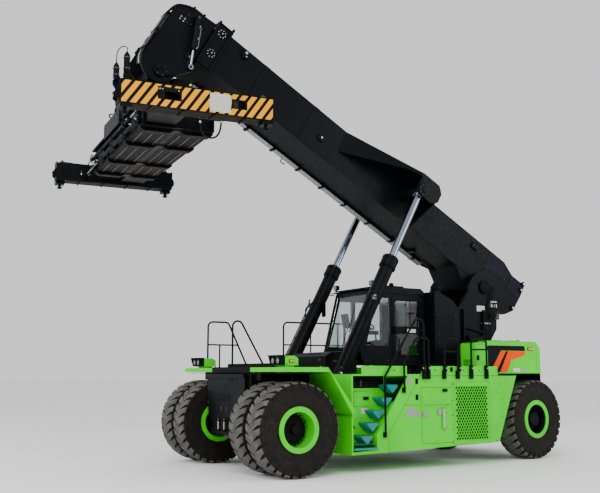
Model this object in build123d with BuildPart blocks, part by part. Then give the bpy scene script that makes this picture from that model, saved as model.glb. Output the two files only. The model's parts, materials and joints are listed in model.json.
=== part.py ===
"""Reach stacker for shipping containers.

Origin: on the ground, under the middle of the machine's overall length.
+X points to the machine's front, +Y to its left side, +Z up. Millimetres.
The boom stands raised, the rear wheels are a little steered and the spreader hangs nearly square.
"""

import os
from math import cos, hypot, radians, sin

from build123d import *

os.makedirs("parts", exist_ok=True)

# ---------------------------------------------------------------- driving sizes
# axles and wheels
wheelbase = 6000
rear_axle_x = -4200
tyre_radius = 805
tyre_width = 500
bead_radius = 330
flange_rise = 54
rim_wall = 30
dual_inner_y = 1225
dual_spacing = 620
rear_track_half = 1350
kingpin_offset = 150
steer_rest_angle = 6.7

# clearances
pin_gap = 0.3
slide_gap = 0.5
panel_gap = 6

# chassis: heights over the axles, lengths from the named axle
beam_y = 330
beam_width = 140
beam_top_over_axle = 795
beam_bottom_over_axle = 255
front_plate_ahead_of_axle = 320
front_plate_half = 780
weight_behind_axle = 890
weight_length = 260
weight_under_axle = 245
weight_over_deck = 10
clevis_over_axle = 95
tower_gap = 115
tower_plate = 80
deck_over_beam = 130
deck_thickness = 30
skirt_y = 2000
skirt_depth_y = 1000
skirt_ground_gap = 350
skirt_wall = 25
skirt_behind_front_axle = 1110
stair_depth = 300
rear_half_width = 650
hood_height = 660
fender_over_deck = 120
fender_band = 80
fender_recess = 25
fender_proud = 100

# boom
boom_angle = 29.5
pivot_from_rear_axle = 470
pivot_over_deck = 1870
pivot_pin_radius = 90
boom_half_width = 470
boom_top = 940
boom_bottom = 100
boom_wall = 30
boom_tail = -1170
collar_start = 7560
collar_length = 290
collar_lip = 90
inner_gap = 35
inner_step = 70
inner_wall = 25
inner_start = -600
head_behind_collar = 50
head_length = 830
hang_ahead_of_head = 418
hang_drop = 570
hang_pin_radius = 80

# lift cylinders
lift_beside_boom = 550
lift_base_behind_front_axle = 1300
lift_base_over_axle = 495
lift_barrel_radius = 140
lift_bore_radius = 82
lift_rod_radius = 75
lift_barrel_length = 3100
lift_eye_radius = 140
lift_eye_width = 180
lift_pin_radius = 60
shoulder_beside_eye = 45
shoulder_start = 2200
shoulder_corner = 2800
shoulder_end = 4490
eye_ahead_of_shoulder = 460
eye_under_top = 320

# damping cylinders between boom head and spreader hanger
damper_ahead_of_head = 359
damper_under_top = 212
damper_beside_boom = 90
damper_radius = 55
damper_rod_radius = 25
damper_length = 640
damper_arm = (-550, 130)

# spreader
spreader_yaw = -6.6
lock_spacing_u = 2259
lock_spacing_v = 5853
ring_under_hang = 460
lock_tip_under_ring = 1190
lock_reach = 88
housing_drop = 62
end_beam_proud = 90
end_beam_width = 330
end_beam_height = 365
tube_gap = 80
tube_width = 560
tube_height = 410
tube_half_v = 1950
tube_wall = 25
loop_hose_radius = 16
loop_hose_bend = 175
loop_hose_off = 60
hose_shelf = 16
hose_shelf_width = 80
# ahead of the turning axis, height
loop_hose_route = ((-330, 5880), (-330, 5600), (-700, 5600), (-700, 5930))
slider_gap = 12
rail_height = 45

# cab
cab_rear_from_axle = 2150
cab_half_width = 690
cab_over_deck = 180
cab_height = 1540
cab_wall = 55
cab_roof_length = 1300
cab_nose_length = 310
sill_over_floor = 320

# ------------------------------------------------------------- derived stations
front_axle_x = rear_axle_x + wheelbase
axle_z = tyre_radius
flange_radius = bead_radius + flange_rise
kingpin_y = rear_track_half - kingpin_offset
front_plate_x = front_axle_x + front_plate_ahead_of_axle
weight_front_x = rear_axle_x - weight_behind_axle
rear_x = weight_front_x - weight_length
beam_top = axle_z + beam_top_over_axle
beam_bottom = axle_z + beam_bottom_over_axle
deck_top = beam_top + deck_over_beam
fender_top = deck_top + fender_over_deck
fender_outer_y = skirt_y + fender_proud
skirt_inner_y = skirt_y - skirt_depth_y
skirt_bottom = skirt_ground_gap
skirt_front_x = front_axle_x - skirt_behind_front_axle
stair_back_y = skirt_y - stair_depth
skirt_top = deck_top - deck_thickness
weight_top = deck_top + weight_over_deck
tower_inner_y = boom_half_width + tower_gap
deck_inner_y = tower_inner_y + tower_plate + 95
pivot_x = rear_axle_x + pivot_from_rear_axle
pivot_z = deck_top + pivot_over_deck
collar_end = collar_start + collar_length
head_start = collar_end + head_behind_collar
head_front = head_start + head_length
inner_half_width = boom_half_width - boom_wall - inner_gap
inner_top = boom_top - inner_step
inner_bottom = boom_bottom + inner_step
lift_y = boom_half_width + lift_beside_boom
lift_base_z = axle_z + lift_base_over_axle
shoulder_y = lift_y + lift_eye_width / 2 + shoulder_beside_eye
lift_base_x = front_axle_x - lift_base_behind_front_axle
lift_eye = (shoulder_start + eye_ahead_of_shoulder, boom_top - eye_under_top)
hang_pivot = (head_start + hang_ahead_of_head, -hang_drop)
damper_eye = (head_start + damper_ahead_of_head, boom_top - damper_under_top)
damper_y = boom_half_width + damper_beside_boom
sides = (("left", 1), ("right", -1))
dual_outer_y = dual_inner_y + dual_spacing
ca = cos(radians(boom_angle))
sa = sin(radians(boom_angle))


def boom_xz(s, h):
    """World x and z of the point s along the boom and h above its pivot line."""
    return pivot_x + s * ca - h * sa, pivot_z + s * sa + h * ca


eye_x, eye_z = boom_xz(*lift_eye)
lift_length = hypot(eye_x - lift_base_x, eye_z - lift_base_z)
lift_dir = ((eye_x - lift_base_x) / lift_length, 0, (eye_z - lift_base_z) / lift_length)

hang_x, hang_z = boom_xz(*hang_pivot)
rotator_x = hang_x
ring_top = hang_z - ring_under_hang
lock_tip_z = ring_top - lock_tip_under_ring
end_beam_half_u = lock_spacing_u / 2 + end_beam_proud
end_beam_outer_v = lock_spacing_v / 2 + end_beam_proud + 13.5
housing_bottom = lock_tip_z + lock_reach
end_beam_bottom = housing_bottom + housing_drop
end_beam_top = end_beam_bottom + end_beam_height
tube_u = (tube_width + tube_gap) / 2
tube_bottom = end_beam_bottom + 20
tube_top = tube_bottom + tube_height
rail_top = tube_top + rail_height
cab_floor = deck_top + cab_over_deck
cab_top = cab_floor + cab_height
cab_rear_x = rear_axle_x + cab_rear_from_axle
cab_roof_x = cab_rear_x + cab_roof_length
cab_nose_x = cab_roof_x + cab_nose_length
sill = cab_floor + sill_over_floor


def boom_side(y):
    """Upright plane along the boom at y: local x along the boom, local y square to it, normal to -Y."""
    return Plane(origin=(pivot_x, y, pivot_z), x_dir=(ca, 0, sa), z_dir=(0, -1, 0))


def boom_deck(h):
    """Plane parallel to the boom's top at height h: local x along the boom, local y to the left."""
    x, z = boom_xz(0, h)
    return Plane(origin=(x, 0, z), x_dir=(ca, 0, sa), z_dir=(-sa, 0, ca))


def boom_cut(s):
    """Plane square to the boom at s: local x to the left, local y up the section."""
    x, z = boom_xz(s, 0)
    return Plane(origin=(x, 0, z), x_dir=(0, 1, 0), z_dir=(ca, 0, sa))


def side_plane(y, x=0.0):
    """Upright plane along the machine at y: local x forward, local y up, normal to -Y."""
    return Plane(origin=(x, y, 0), x_dir=(1, 0, 0), z_dir=(0, -1, 0))


def cross_plane(x):
    """Upright plane across the machine at x: local x to the left, local y up, normal forward."""
    return Plane(origin=(x, 0, 0), x_dir=(0, 1, 0), z_dir=(1, 0, 0))


def spreader_plane(z):
    """Level plane in the spreader's own directions: local x is its front, local y its left end."""
    a = radians(spreader_yaw)
    return Plane(origin=(rotator_x, 0, z), x_dir=(cos(a), sin(a), 0), z_dir=(0, 0, 1))


def spreader_cut(v):
    """Upright plane across the spreader's tubes at v: local x to its front, local y up."""
    a = radians(spreader_yaw)
    origin = (rotator_x - v * sin(a), v * cos(a), 0)
    return Plane(origin=origin, x_dir=(cos(a), sin(a), 0), z_dir=(sin(a), -cos(a), 0))


def spreader_side(u):
    """Upright plane along the spreader's tubes at u: local x to its left end, local y up."""
    a = radians(spreader_yaw)
    origin = (rotator_x + u * cos(a), u * sin(a), 0)
    return Plane(origin=origin, x_dir=(-sin(a), cos(a), 0), z_dir=(cos(a), sin(a), 0))


def save(block, label):
    """Label a finished piece and write its STEP file."""
    block.part.label = label
    export_step(block.part, f"parts/{label}.step")


# ------------------------------------------------------------------------ tyres
def tyre_outline(offset):
    """Half section of a tyre about local x = offset; local y is the radius."""
    half = tyre_width / 2
    bead = half - 48
    wall_mid = (bead_radius + tyre_radius) / 2
    shoulder = tyre_radius - 62
    Polyline(
        (offset - bead, flange_radius + 2),
        (offset - bead, bead_radius),
        (offset + bead, bead_radius),
        (offset + bead, flange_radius + 2),
    )
    ThreePointArc(
        (offset + bead, flange_radius + 2),
        (offset + half, wall_mid),
        (offset + half - 12, shoulder),
    )
    Polyline(
        (offset + half - 12, shoulder),
        (offset + half - 40, tyre_radius - 10),
        (offset + half - 130, tyre_radius),
        (offset - half + 130, tyre_radius),
        (offset - half + 40, tyre_radius - 10),
        (offset - half + 12, shoulder),
    )
    ThreePointArc(
        (offset - half + 12, shoulder),
        (offset - half, wall_mid),
        (offset - bead, flange_radius + 2),
    )


def wheel_plane(side):
    """Plane through a front axle end: local x outward along the axle, local y up."""
    return Plane(origin=(front_axle_x, 0, axle_z), x_dir=(0, side, 0), z_dir=(side, 0, 0))


hub_radius = 262
spindle_radius = 110
hub_inner_y = 1010
hub_outer_y = 1960
for side_name, side in sides:
    axle_line = Axis((front_axle_x, 0, axle_z), (0, side, 0))
    with BuildPart() as tyres:
        for centre in (dual_inner_y, dual_outer_y):
            with BuildSketch(wheel_plane(side)):
                with BuildLine():
                    tyre_outline(centre)
                make_face()
        revolve(axis=axle_line)
    save(tyres, f"front_{side_name}_tyres")

    with BuildPart() as rims:
        seat = bead_radius - pin_gap
        reach = tyre_width / 2 - 47
        with BuildSketch(wheel_plane(side)):
            with BuildLine():
                Polyline(
                    (dual_inner_y - reach - 24, seat - rim_wall),
                    (dual_inner_y - reach - 24, flange_radius),
                    (dual_inner_y - reach, flange_radius),
                    (dual_inner_y - reach, seat),
                    (dual_inner_y + reach, seat),
                    (dual_inner_y + reach, flange_radius),
                    (dual_inner_y + reach + 24, flange_radius),
                    (dual_inner_y + reach + 24, seat),
                    (dual_outer_y - reach - 24, seat),
                    (dual_outer_y - reach - 24, flange_radius),
                    (dual_outer_y - reach, flange_radius),
                    (dual_outer_y - reach, seat),
                    (dual_outer_y + reach, seat),
                    (dual_outer_y + reach, flange_radius),
                    (dual_outer_y + reach + 24, flange_radius),
                    (dual_outer_y + reach + 24, seat - rim_wall),
                    (dual_outer_y - 90, seat - rim_wall),
                    (dual_outer_y - 90, hub_radius + pin_gap),
                    (dual_inner_y - 20, hub_radius + pin_gap),
                    (dual_inner_y - 20, seat - rim_wall),
                    close=True,
                )
            make_face()
        revolve(axis=axle_line)
    save(rims, f"front_{side_name}_rims")

    with BuildPart() as hub:
        with BuildSketch(wheel_plane(side)):
            with BuildLine():
                Polyline(
                    (hub_inner_y, spindle_radius + pin_gap),
                    (hub_inner_y, 230),
                    (dual_inner_y - 60, 230),
                    (dual_inner_y - 60, hub_radius),
                    (hub_outer_y - 150, hub_radius),
                    (hub_outer_y - 60, 215),
                    (hub_outer_y - 60, 90),
                    (hub_outer_y, 80),
                    (hub_outer_y, 0),
                    (hub_outer_y - 120, 0),
                    (hub_outer_y - 120, spindle_radius + pin_gap),
                    close=True,
                )
            make_face()
        revolve(axis=axle_line)
    save(hub, f"front_{side_name}_hub")

# ------------------------------------------------------------- steered rear axle
steer_a = radians(steer_rest_angle)
knuckle_height = 330
yoke_plate = 45
yoke_radius = 88
yoke_arm_half = 66
kingpin_radius = 36
rear_spindle_radius = 60
rear_offset = rear_track_half - kingpin_y
for side_name, side in sides:
    kingpin = (rear_axle_x, side * kingpin_y, axle_z)
    out_dir = (-side * sin(steer_a), side * cos(steer_a), 0)
    fore_dir = (side * cos(steer_a), side * sin(steer_a), 0)
    spin_plane = Plane(origin=kingpin, x_dir=out_dir, z_dir=fore_dir)
    spin_line = Axis(kingpin, out_dir)
    with BuildPart() as tyre:
        with BuildSketch(spin_plane):
            with BuildLine():
                tyre_outline(rear_offset)
            make_face()
        revolve(axis=spin_line)
    save(tyre, f"rear_{side_name}_tyre")

    with BuildPart() as rim:
        seat = bead_radius - pin_gap
        reach = tyre_width / 2 - 47
        disc = rear_offset + 60
        with BuildSketch(spin_plane):
            with BuildLine():
                Polyline(
                    (rear_offset - reach - 24, seat - rim_wall),
                    (rear_offset - reach - 24, flange_radius),
                    (rear_offset - reach, flange_radius),
                    (rear_offset - reach, seat),
                    (rear_offset + reach, seat),
                    (rear_offset + reach, flange_radius),
                    (rear_offset + reach + 24, flange_radius),
                    (rear_offset + reach + 24, seat - rim_wall),
                    (disc + 25, seat - rim_wall),
                    (disc + 25, 150),
                    (disc + 90, 140),
                    (disc + 105, 90),
                    (disc + 105, 0),
                    (disc + 60, 0),
                    (disc + 60, rear_spindle_radius + pin_gap),
                    (disc - 50, rear_spindle_radius + pin_gap),
                    (disc - 50, 150),
                    (disc, 160),
                    (disc, seat - rim_wall),
                    close=True,
                )
            make_face()
        revolve(axis=spin_line)
    save(rim, f"rear_{side_name}_rim")

    with BuildPart() as knuckle:
        post = Plane(origin=(kingpin[0], kingpin[1], axle_z - knuckle_height / 2), z_dir=(0, 0, 1))
        with BuildSketch(post):
            Circle(78)
        extrude(amount=knuckle_height)
        pin_base = Plane(origin=(kingpin[0], kingpin[1], axle_z - knuckle_height / 2 - yoke_plate - 6))
        with BuildSketch(pin_base):
            Circle(kingpin_radius)
        extrude(amount=knuckle_height + 2 * yoke_plate + 12)
        with BuildSketch(Plane(origin=kingpin, x_dir=fore_dir, z_dir=out_dir)):
            Circle(rear_spindle_radius)
        extrude(amount=rear_offset + 60 + 50)
        with BuildSketch(Plane(origin=kingpin, x_dir=fore_dir, z_dir=out_dir)):
            Circle(110)
        extrude(amount=rear_offset - 20)
    save(knuckle, f"steer_knuckle_{side_name}")

with BuildPart() as steer_axle:
    # deep middle of the beam, its waisted arms and the two forks
    with BuildSketch(cross_plane(rear_axle_x - 170)):
        with BuildLine():
            Polyline(
                (-560, axle_z - 190),
                (560, axle_z - 190),
                (1000, axle_z - 130),
                (1000, axle_z + 130),
                (560, axle_z + 150),
                (-560, axle_z + 150),
                (-1000, axle_z + 130),
                (-1000, axle_z - 130),
                close=True,
            )
        make_face()
    extrude(amount=340)
    for side in (1, -1):
        with BuildSketch(Plane.XY.offset(axle_z - 400)):
            with BuildLine():
                Polyline(
                    (rear_axle_x - 170, side * 620),
                    (rear_axle_x - 100, side * 960),
                    (rear_axle_x - 100, side * 1001),
                    (rear_axle_x - 171, side * 1001),
                    close=True,
                )
            make_face()
            mirror(about=Plane(origin=(rear_axle_x, 0, 0), z_dir=(1, 0, 0)))
        extrude(amount=800, mode=Mode.SUBTRACT)
        for low in (axle_z - knuckle_height / 2 - yoke_plate - 0.5, axle_z + knuckle_height / 2 + 0.5):
            with BuildSketch(Plane.XY.offset(low)):
                with Locations((rear_axle_x, side * kingpin_y)):
                    Circle(yoke_radius)
                with Locations((rear_axle_x, side * (kingpin_y + 960) / 2)):
                    Rectangle(2 * yoke_arm_half, kingpin_y - 960)
                with Locations((rear_axle_x, side * kingpin_y)):
                    Circle(kingpin_radius + pin_gap, mode=Mode.SUBTRACT)
            extrude(amount=yoke_plate)
        with BuildSketch(cross_plane(rear_axle_x - yoke_arm_half)):
            with Locations((side * 970, axle_z)):
                Rectangle(60, knuckle_height + 2 * yoke_plate + 1)
        extrude(amount=2 * yoke_arm_half)
    # carrier that hangs the axle from the chassis beams
    with BuildSketch(Plane.XY.offset(axle_z + 140)):
        with Locations((rear_axle_x, 0)):
            Rectangle(520, 2 * beam_y + 60)
    extrude(amount=beam_bottom - axle_z - 140)
save(steer_axle, "steer_axle")

with BuildPart() as drive_axle:
    # housing with its round centre, the tubes and the two spindles
    with BuildSketch(wheel_plane(1)):
        with BuildLine():
            Polyline(
                (-dual_inner_y - 560, 0),
                (-dual_inner_y - 560, spindle_radius),
                (-hub_inner_y + 6, spindle_radius),
                (-hub_inner_y + 6, 215),
                (-830, 215),
                (-790, 165),
                (-420, 185),
                (-330, 250),
                (330, 250),
                (420, 185),
                (790, 165),
                (830, 215),
                (hub_inner_y - 6, 215),
                (hub_inner_y - 6, spindle_radius),
                (dual_inner_y + 560, spindle_radius),
                (dual_inner_y + 560, 0),
                close=True,
            )
        make_face()
    revolve(axis=Axis((front_axle_x, 0, axle_z), (0, 1, 0)))
    with BuildSketch(Plane(origin=(front_axle_x - 380, 0, axle_z), x_dir=(0, 1, 0), z_dir=(1, 0, 0))):
        Circle(beam_bottom_over_axle)
    extrude(amount=front_plate_ahead_of_axle + 360)
    for side in (1, -1):
        with BuildSketch(Plane.XY.offset(axle_z + 120)):
            with Locations((front_axle_x, side * (beam_y + beam_width / 2))):
                Rectangle(420, beam_width + 40)
        extrude(amount=beam_bottom - axle_z - 120)
save(drive_axle, "drive_axle")

# ---------------------------------------------------------------------- chassis
lift_bracket_gap = lift_eye_width / 2 + 6
lift_bracket_plate = 40
lift_room = lift_bracket_gap + lift_bracket_plate + 20
clevis_pin_radius = 27
clevis_ear_gap = 70
clevis_ear = 35
with BuildPart() as frame:
    for side in (1, -1):
        # main beam
        with BuildSketch(side_plane(side * beam_y + (beam_width if side > 0 else 0))):
            with BuildLine():
                Polyline(
                    (weight_front_x, beam_bottom),
                    (rear_axle_x + 1000, beam_bottom),
                    (rear_axle_x + 1250, beam_bottom - 330),
                    (front_axle_x - 900, beam_bottom - 330),
                    (front_axle_x - 600, beam_bottom),
                    (front_plate_x, beam_bottom),
                    (front_plate_x, beam_top),
                    (weight_front_x, beam_top),
                    close=True,
                )
            make_face()
        extrude(amount=beam_width)
    # cross members between the beams
    for x, low, high, length in (
        (rear_axle_x + 1300, beam_bottom - 260, beam_top - 100, 120),
        (rear_axle_x + 2600, beam_bottom - 260, beam_top - 100, 120),
        (front_axle_x - 1900, beam_bottom - 260, beam_top - 100, 120),
        (front_axle_x - 500, beam_bottom + 100, beam_top, 200),
    ):
        with BuildSketch(cross_plane(x)):
            with Locations((0, (low + high) / 2)):
                Rectangle(2 * beam_y + 20, high - low)
        extrude(amount=length)
    # front plate, its folded lip and the skirt below the deck
    with BuildSketch(cross_plane(front_plate_x)):
        with BuildLine():
            Polyline(
                (-front_plate_half, fender_top - fender_band - 40),
                (-front_plate_half, beam_bottom + 200),
                (-front_plate_half + 190, beam_bottom - 440),
                (front_plate_half - 190, beam_bottom - 440),
                (front_plate_half, beam_bottom + 200),
                (front_plate_half, fender_top - fender_band - 40),
                close=True,
            )
        make_face()
    extrude(amount=50)
    for side in (1, -1):
        with BuildSketch(Plane.XY.offset(beam_top - 40)):
            with Locations((front_plate_x - 240, side * (front_plate_half - 30))):
                Rectangle(500, 60)
        extrude(amount=deck_top - deck_thickness - beam_top + 40)
        with BuildSketch(cross_plane(front_plate_x - 480)):
            with Locations((side * (beam_y + front_plate_half - 20) / 2, beam_top - 20)):
                Rectangle(front_plate_half - 20 - beam_y, 160)
        extrude(amount=60)
        # tower plate with its bored head
        outer = side * tower_inner_y + (tower_plate if side > 0 else 0)
        with BuildSketch(side_plane(outer)):
            with BuildLine():
                Polyline(
                    (pivot_x - 380, pivot_z + 60),
                    (pivot_x - 330, pivot_z - 900),
                    (pivot_x - 160, pivot_z - 1150),
                    (pivot_x - 160, beam_top - 100),
                    (pivot_x + 1300, beam_top - 100),
                    (pivot_x + 1300, pivot_z - 700),
                    (pivot_x + 660, pivot_z - 420),
                    (pivot_x + 430, pivot_z - 60),
                )
                ThreePointArc(
                    (pivot_x + 430, pivot_z - 60),
                    (pivot_x + 90, pivot_z + 330),
                    (pivot_x - 380, pivot_z + 60),
                )
            make_face()
            with Locations((pivot_x, pivot_z)):
                Circle(pivot_pin_radius + pin_gap, mode=Mode.SUBTRACT)
        extrude(amount=tower_plate)
        # foot of the tower on the main beam
        with BuildSketch(Plane.XY.offset(beam_top - 140)):
            with Locations((pivot_x + 570, side * (beam_y + tower_inner_y + tower_plate) / 2)):
                Rectangle(1460, tower_inner_y + tower_plate - beam_y)
        extrude(amount=120)
        # lift cylinder bracket: outrigger box and two bored ears
        with BuildSketch(side_plane(side * lift_y + lift_bracket_gap + lift_bracket_plate)):
            with BuildLine():
                Polyline(
                    (lift_base_x - 210, lift_base_z - 400),
                    (lift_base_x + 200, lift_base_z - 400),
                    (lift_base_x + 130, lift_base_z),
                )
                ThreePointArc(
                    (lift_base_x + 130, lift_base_z),
                    (lift_base_x, lift_base_z + 130),
                    (lift_base_x - 130, lift_base_z),
                )
                Line((lift_base_x - 130, lift_base_z), (lift_base_x - 210, lift_base_z - 400))
            make_face()
            with Locations((lift_base_x, lift_base_z)):
                Circle(lift_pin_radius + pin_gap, mode=Mode.SUBTRACT)
        extrude(amount=lift_bracket_plate)
        with BuildSketch(side_plane(side * lift_y - lift_bracket_gap)):
            with BuildLine():
                Polyline(
                    (lift_base_x - 210, lift_base_z - 400),
                    (lift_base_x + 200, lift_base_z - 400),
                    (lift_base_x + 130, lift_base_z),
                )
                ThreePointArc(
                    (lift_base_x + 130, lift_base_z),
                    (lift_base_x, lift_base_z + 130),
                    (lift_base_x - 130, lift_base_z),
                )
                Line((lift_base_x - 130, lift_base_z), (lift_base_x - 210, lift_base_z - 400))
            make_face()
            with Locations((lift_base_x, lift_base_z)):
                Circle(lift_pin_radius + pin_gap, mode=Mode.SUBTRACT)
        extrude(amount=lift_bracket_plate)
        reach = lift_y + lift_bracket_gap + lift_bracket_plate
        with BuildSketch(Plane.XY.offset(lift_base_z - 520)):
            with Locations((lift_base_x - 5, side * (beam_y + 40 + reach) / 2)):
                Rectangle(410, reach - beam_y - 40)
        extrude(amount=200)
        # hangers that carry the side bodies
        for x in (rear_axle_x + 1750, rear_axle_x + 3300):
            with BuildSketch(Plane.XY.offset(beam_bottom + 40)):
                with Locations((x, side * (beam_y + 60 + skirt_inner_y) / 2)):
                    Rectangle(160, skirt_inner_y - beam_y - 60)
            extrude(amount=160)
save(frame, "frame")

# --------------------------------------------------------- rear weight and tow eye
taper_start_x = rear_axle_x - 70
hood_half_width = skirt_y - 300
weight_bottom = axle_z - weight_under_axle
clevis_z = axle_z + clevis_over_axle
with BuildPart() as counterweight:
    with BuildSketch(Plane.XY.offset(weight_bottom)):
        with BuildLine():
            Polyline(
                (weight_front_x, -840),
                (weight_front_x, 840),
                (rear_x + 20, rear_half_width - 60),
                (rear_x + 20, -rear_half_width + 60),
                close=True,
            )
        make_face()
    extrude(amount=beam_bottom - 120 - weight_bottom)
    with BuildSketch(Plane.XY.offset(beam_bottom - 120)):
        with BuildLine():
            Polyline(
                (weight_front_x, -900),
                (weight_front_x, 900),
                (rear_x + 20, rear_half_width - 20),
                (rear_x + 20, -rear_half_width + 20),
                close=True,
            )
        make_face()
    extrude(amount=weight_top - beam_bottom + 120)
    # notch open at the bottom and behind, with two bored ears for the tow pin
    with BuildSketch(cross_plane(rear_x + 19)):
        with Locations((0, (weight_bottom - 1 + clevis_z + 150) / 2)):
            Rectangle(420, clevis_z + 151 - weight_bottom)
    extrude(amount=171, mode=Mode.SUBTRACT)
    for low in (clevis_z - clevis_ear_gap / 2 - clevis_ear, clevis_z + clevis_ear_gap / 2):
        with BuildSketch(Plane.XY.offset(low)):
            with Locations((rear_x + 130, 0)):
                Rectangle(160, 180)
            with Locations((rear_x + 80, 0)):
                Circle(clevis_pin_radius, mode=Mode.SUBTRACT)
        extrude(amount=clevis_ear)
    # middle block between the main beams, up to the steered axle
    with BuildSketch(Plane.XY.offset(weight_bottom)):
        with Locations(((weight_front_x + rear_axle_x - 290) / 2 - 5, 0)):
            Rectangle(rear_axle_x - 290 - weight_front_x + 10, 2 * beam_y - 1)
    extrude(amount=weight_top - weight_bottom)
save(counterweight, "counterweight")

hood_bottom = weight_top + pin_gap
hood_top = weight_top + hood_height
hood_front_x = rear_axle_x + 1400
hood_wall = 20


def hood_outline(inset):
    """Plan of the rear hood, drawn inset from its skin."""
    Polyline(
        (hood_front_x - inset, hood_half_width - inset),
        (taper_start_x, hood_half_width - inset),
        (rear_x + inset, rear_half_width - 0.4 * inset),
        (rear_x + inset, -rear_half_width + 0.4 * inset),
        (taper_start_x, -hood_half_width + inset),
        (hood_front_x - inset, -hood_half_width + inset),
        close=True,
    )


with BuildPart() as hood:
    with BuildSketch(Plane.XY.offset(hood_bottom)):
        with BuildLine():
            hood_outline(0)
        make_face()
    extrude(amount=hood_top - hood_bottom - 130)
    with BuildSketch(Plane.XY.offset(hood_top - 130)):
        with BuildLine():
            hood_outline(0)
        make_face()
    with BuildSketch(Plane.XY.offset(hood_top)):
        with BuildLine():
            hood_outline(120)
        make_face()
    loft()
    with BuildSketch(Plane.XY.offset(hood_bottom - 1)):
        with BuildLine():
            hood_outline(hood_wall)
        make_face()
    extrude(amount=hood_top - hood_bottom - 170, mode=Mode.SUBTRACT)
    # slot in front for the tower and the boom's tail
    with BuildSketch(Plane.XY.offset(hood_bottom - 1)):
        with Locations((hood_front_x - 400, 0)):
            Rectangle(1700, 2 * (tower_inner_y + tower_plate + 20))
    extrude(amount=hood_top, mode=Mode.SUBTRACT)
    # floor strips that seat the hood on the chassis
    for side in (1, -1):
        with BuildSketch(Plane.XY.offset(hood_bottom)):
            with Locations((hood_front_x - 650, side * (hood_half_width - 140))):
                Rectangle(1260, 270)
        extrude(amount=hood_wall)
save(hood, "hood")

with BuildPart() as power_unit:
    with BuildSketch(Plane.XY.offset(beam_top + pin_gap)):
        with Locations((rear_axle_x - 35, 0)):
            Rectangle(450, 2 * (beam_y + beam_width))
    extrude(amount=hood_top - 190 - beam_top)
save(power_unit, "power_unit")

# -------------------------------------------------------------- side bodies
skirt_rear_low_x = rear_axle_x + 1430
skirt_rear_top_x = rear_axle_x + 930
tank_front_x = skirt_front_x - 590
stair_flight = skirt_top - skirt_bottom
# lowest and highest x and z of each leaf
service_door_box = (rear_axle_x + 2620, skirt_bottom + 120, rear_axle_x + 3330, skirt_top - 220)
locker_bottom = skirt_bottom + 0.593 * stair_flight
locker_top = skirt_bottom + 0.793 * stair_flight
locker_door_box = (skirt_front_x - 560, locker_bottom, skirt_front_x - 250, locker_top)
hinge_radius = 12
hinge_out = hinge_radius + pin_gap


for side_name, side in sides:
    with BuildPart() as side_body:
        top_y = side * skirt_y if side > 0 else side * skirt_inner_y
        with BuildSketch(side_plane(top_y)):
            with BuildLine():
                Polyline(
                    (skirt_rear_low_x, skirt_bottom + 80),
                    (skirt_rear_top_x, skirt_top),
                    (skirt_front_x, skirt_top),
                    (skirt_front_x, skirt_bottom - 20),
                    close=True,
                )
            make_face()
        extrude(amount=skirt_y - skirt_inner_y)
        # hollow behind the outer skin
        with BuildSketch(side_plane(top_y - skirt_wall)):
            with BuildLine():
                Polyline(
                    (skirt_rear_low_x + 60, skirt_bottom + 110),
                    (skirt_rear_top_x + 160, skirt_top - 30),
                    (tank_front_x - 340, skirt_top - 30),
                    (tank_front_x - 340, skirt_bottom + 40),
                    close=True,
                )
            make_face()
        extrude(amount=skirt_y - skirt_inner_y - 2 * skirt_wall, mode=Mode.SUBTRACT)
        # stair recess with its sloping rear side, open to the outside and above
        recess_outer = side * (skirt_y + 1) if side > 0 else side * stair_back_y
        with BuildSketch(side_plane(recess_outer)):
            with BuildLine():
                Polyline(
                    (skirt_front_x - 30, skirt_bottom + 30),
                    (skirt_front_x - 540, skirt_bottom + 60),
                    (skirt_front_x - 540, skirt_bottom + 310),
                    (skirt_front_x - 1070, skirt_top - 260),
                    (skirt_front_x - 1250, skirt_top + 1),
                    (skirt_front_x - 30, skirt_top + 1),
                    close=True,
                )
            make_face()
        extrude(amount=skirt_y + 1 - stair_back_y, mode=Mode.SUBTRACT)
        # dark through-gap under the deck ahead of the stairs
        gap_outer = side * (stair_back_y + 1) if side > 0 else side * (skirt_inner_y - 1)
        with BuildSketch(side_plane(gap_outer)):
            with Locations((skirt_front_x - 380, skirt_top - 110)):
                Rectangle(700, 222)
        extrude(amount=stair_back_y - skirt_inner_y + 2, mode=Mode.SUBTRACT)
        # room for the foot of the lift cylinder, open to the front and above
        with BuildSketch(Plane.XY.offset(lift_base_z - 540)):
            with Locations((lift_base_x, side * lift_y)):
                Rectangle(900, 2 * lift_room)
        extrude(amount=skirt_top - lift_base_z + 600, mode=Mode.SUBTRACT)
        # openings for the doors, with the running gap around each leaf
        if side > 0:
            for box, face_y, depth in (
                (service_door_box, skirt_y, skirt_wall + 2),
                (locker_door_box, stair_back_y, 120),
            ):
                with BuildSketch(side_plane(face_y + 1)):
                    with Locations(((box[0] + box[2]) / 2, (box[1] + box[3]) / 2)):
                        Rectangle(box[2] - box[0] + 2 * panel_gap, box[3] - box[1] + 2 * panel_gap)
                extrude(amount=depth, mode=Mode.SUBTRACT)
    save(side_body, f"side_body_{side_name}")

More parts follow.
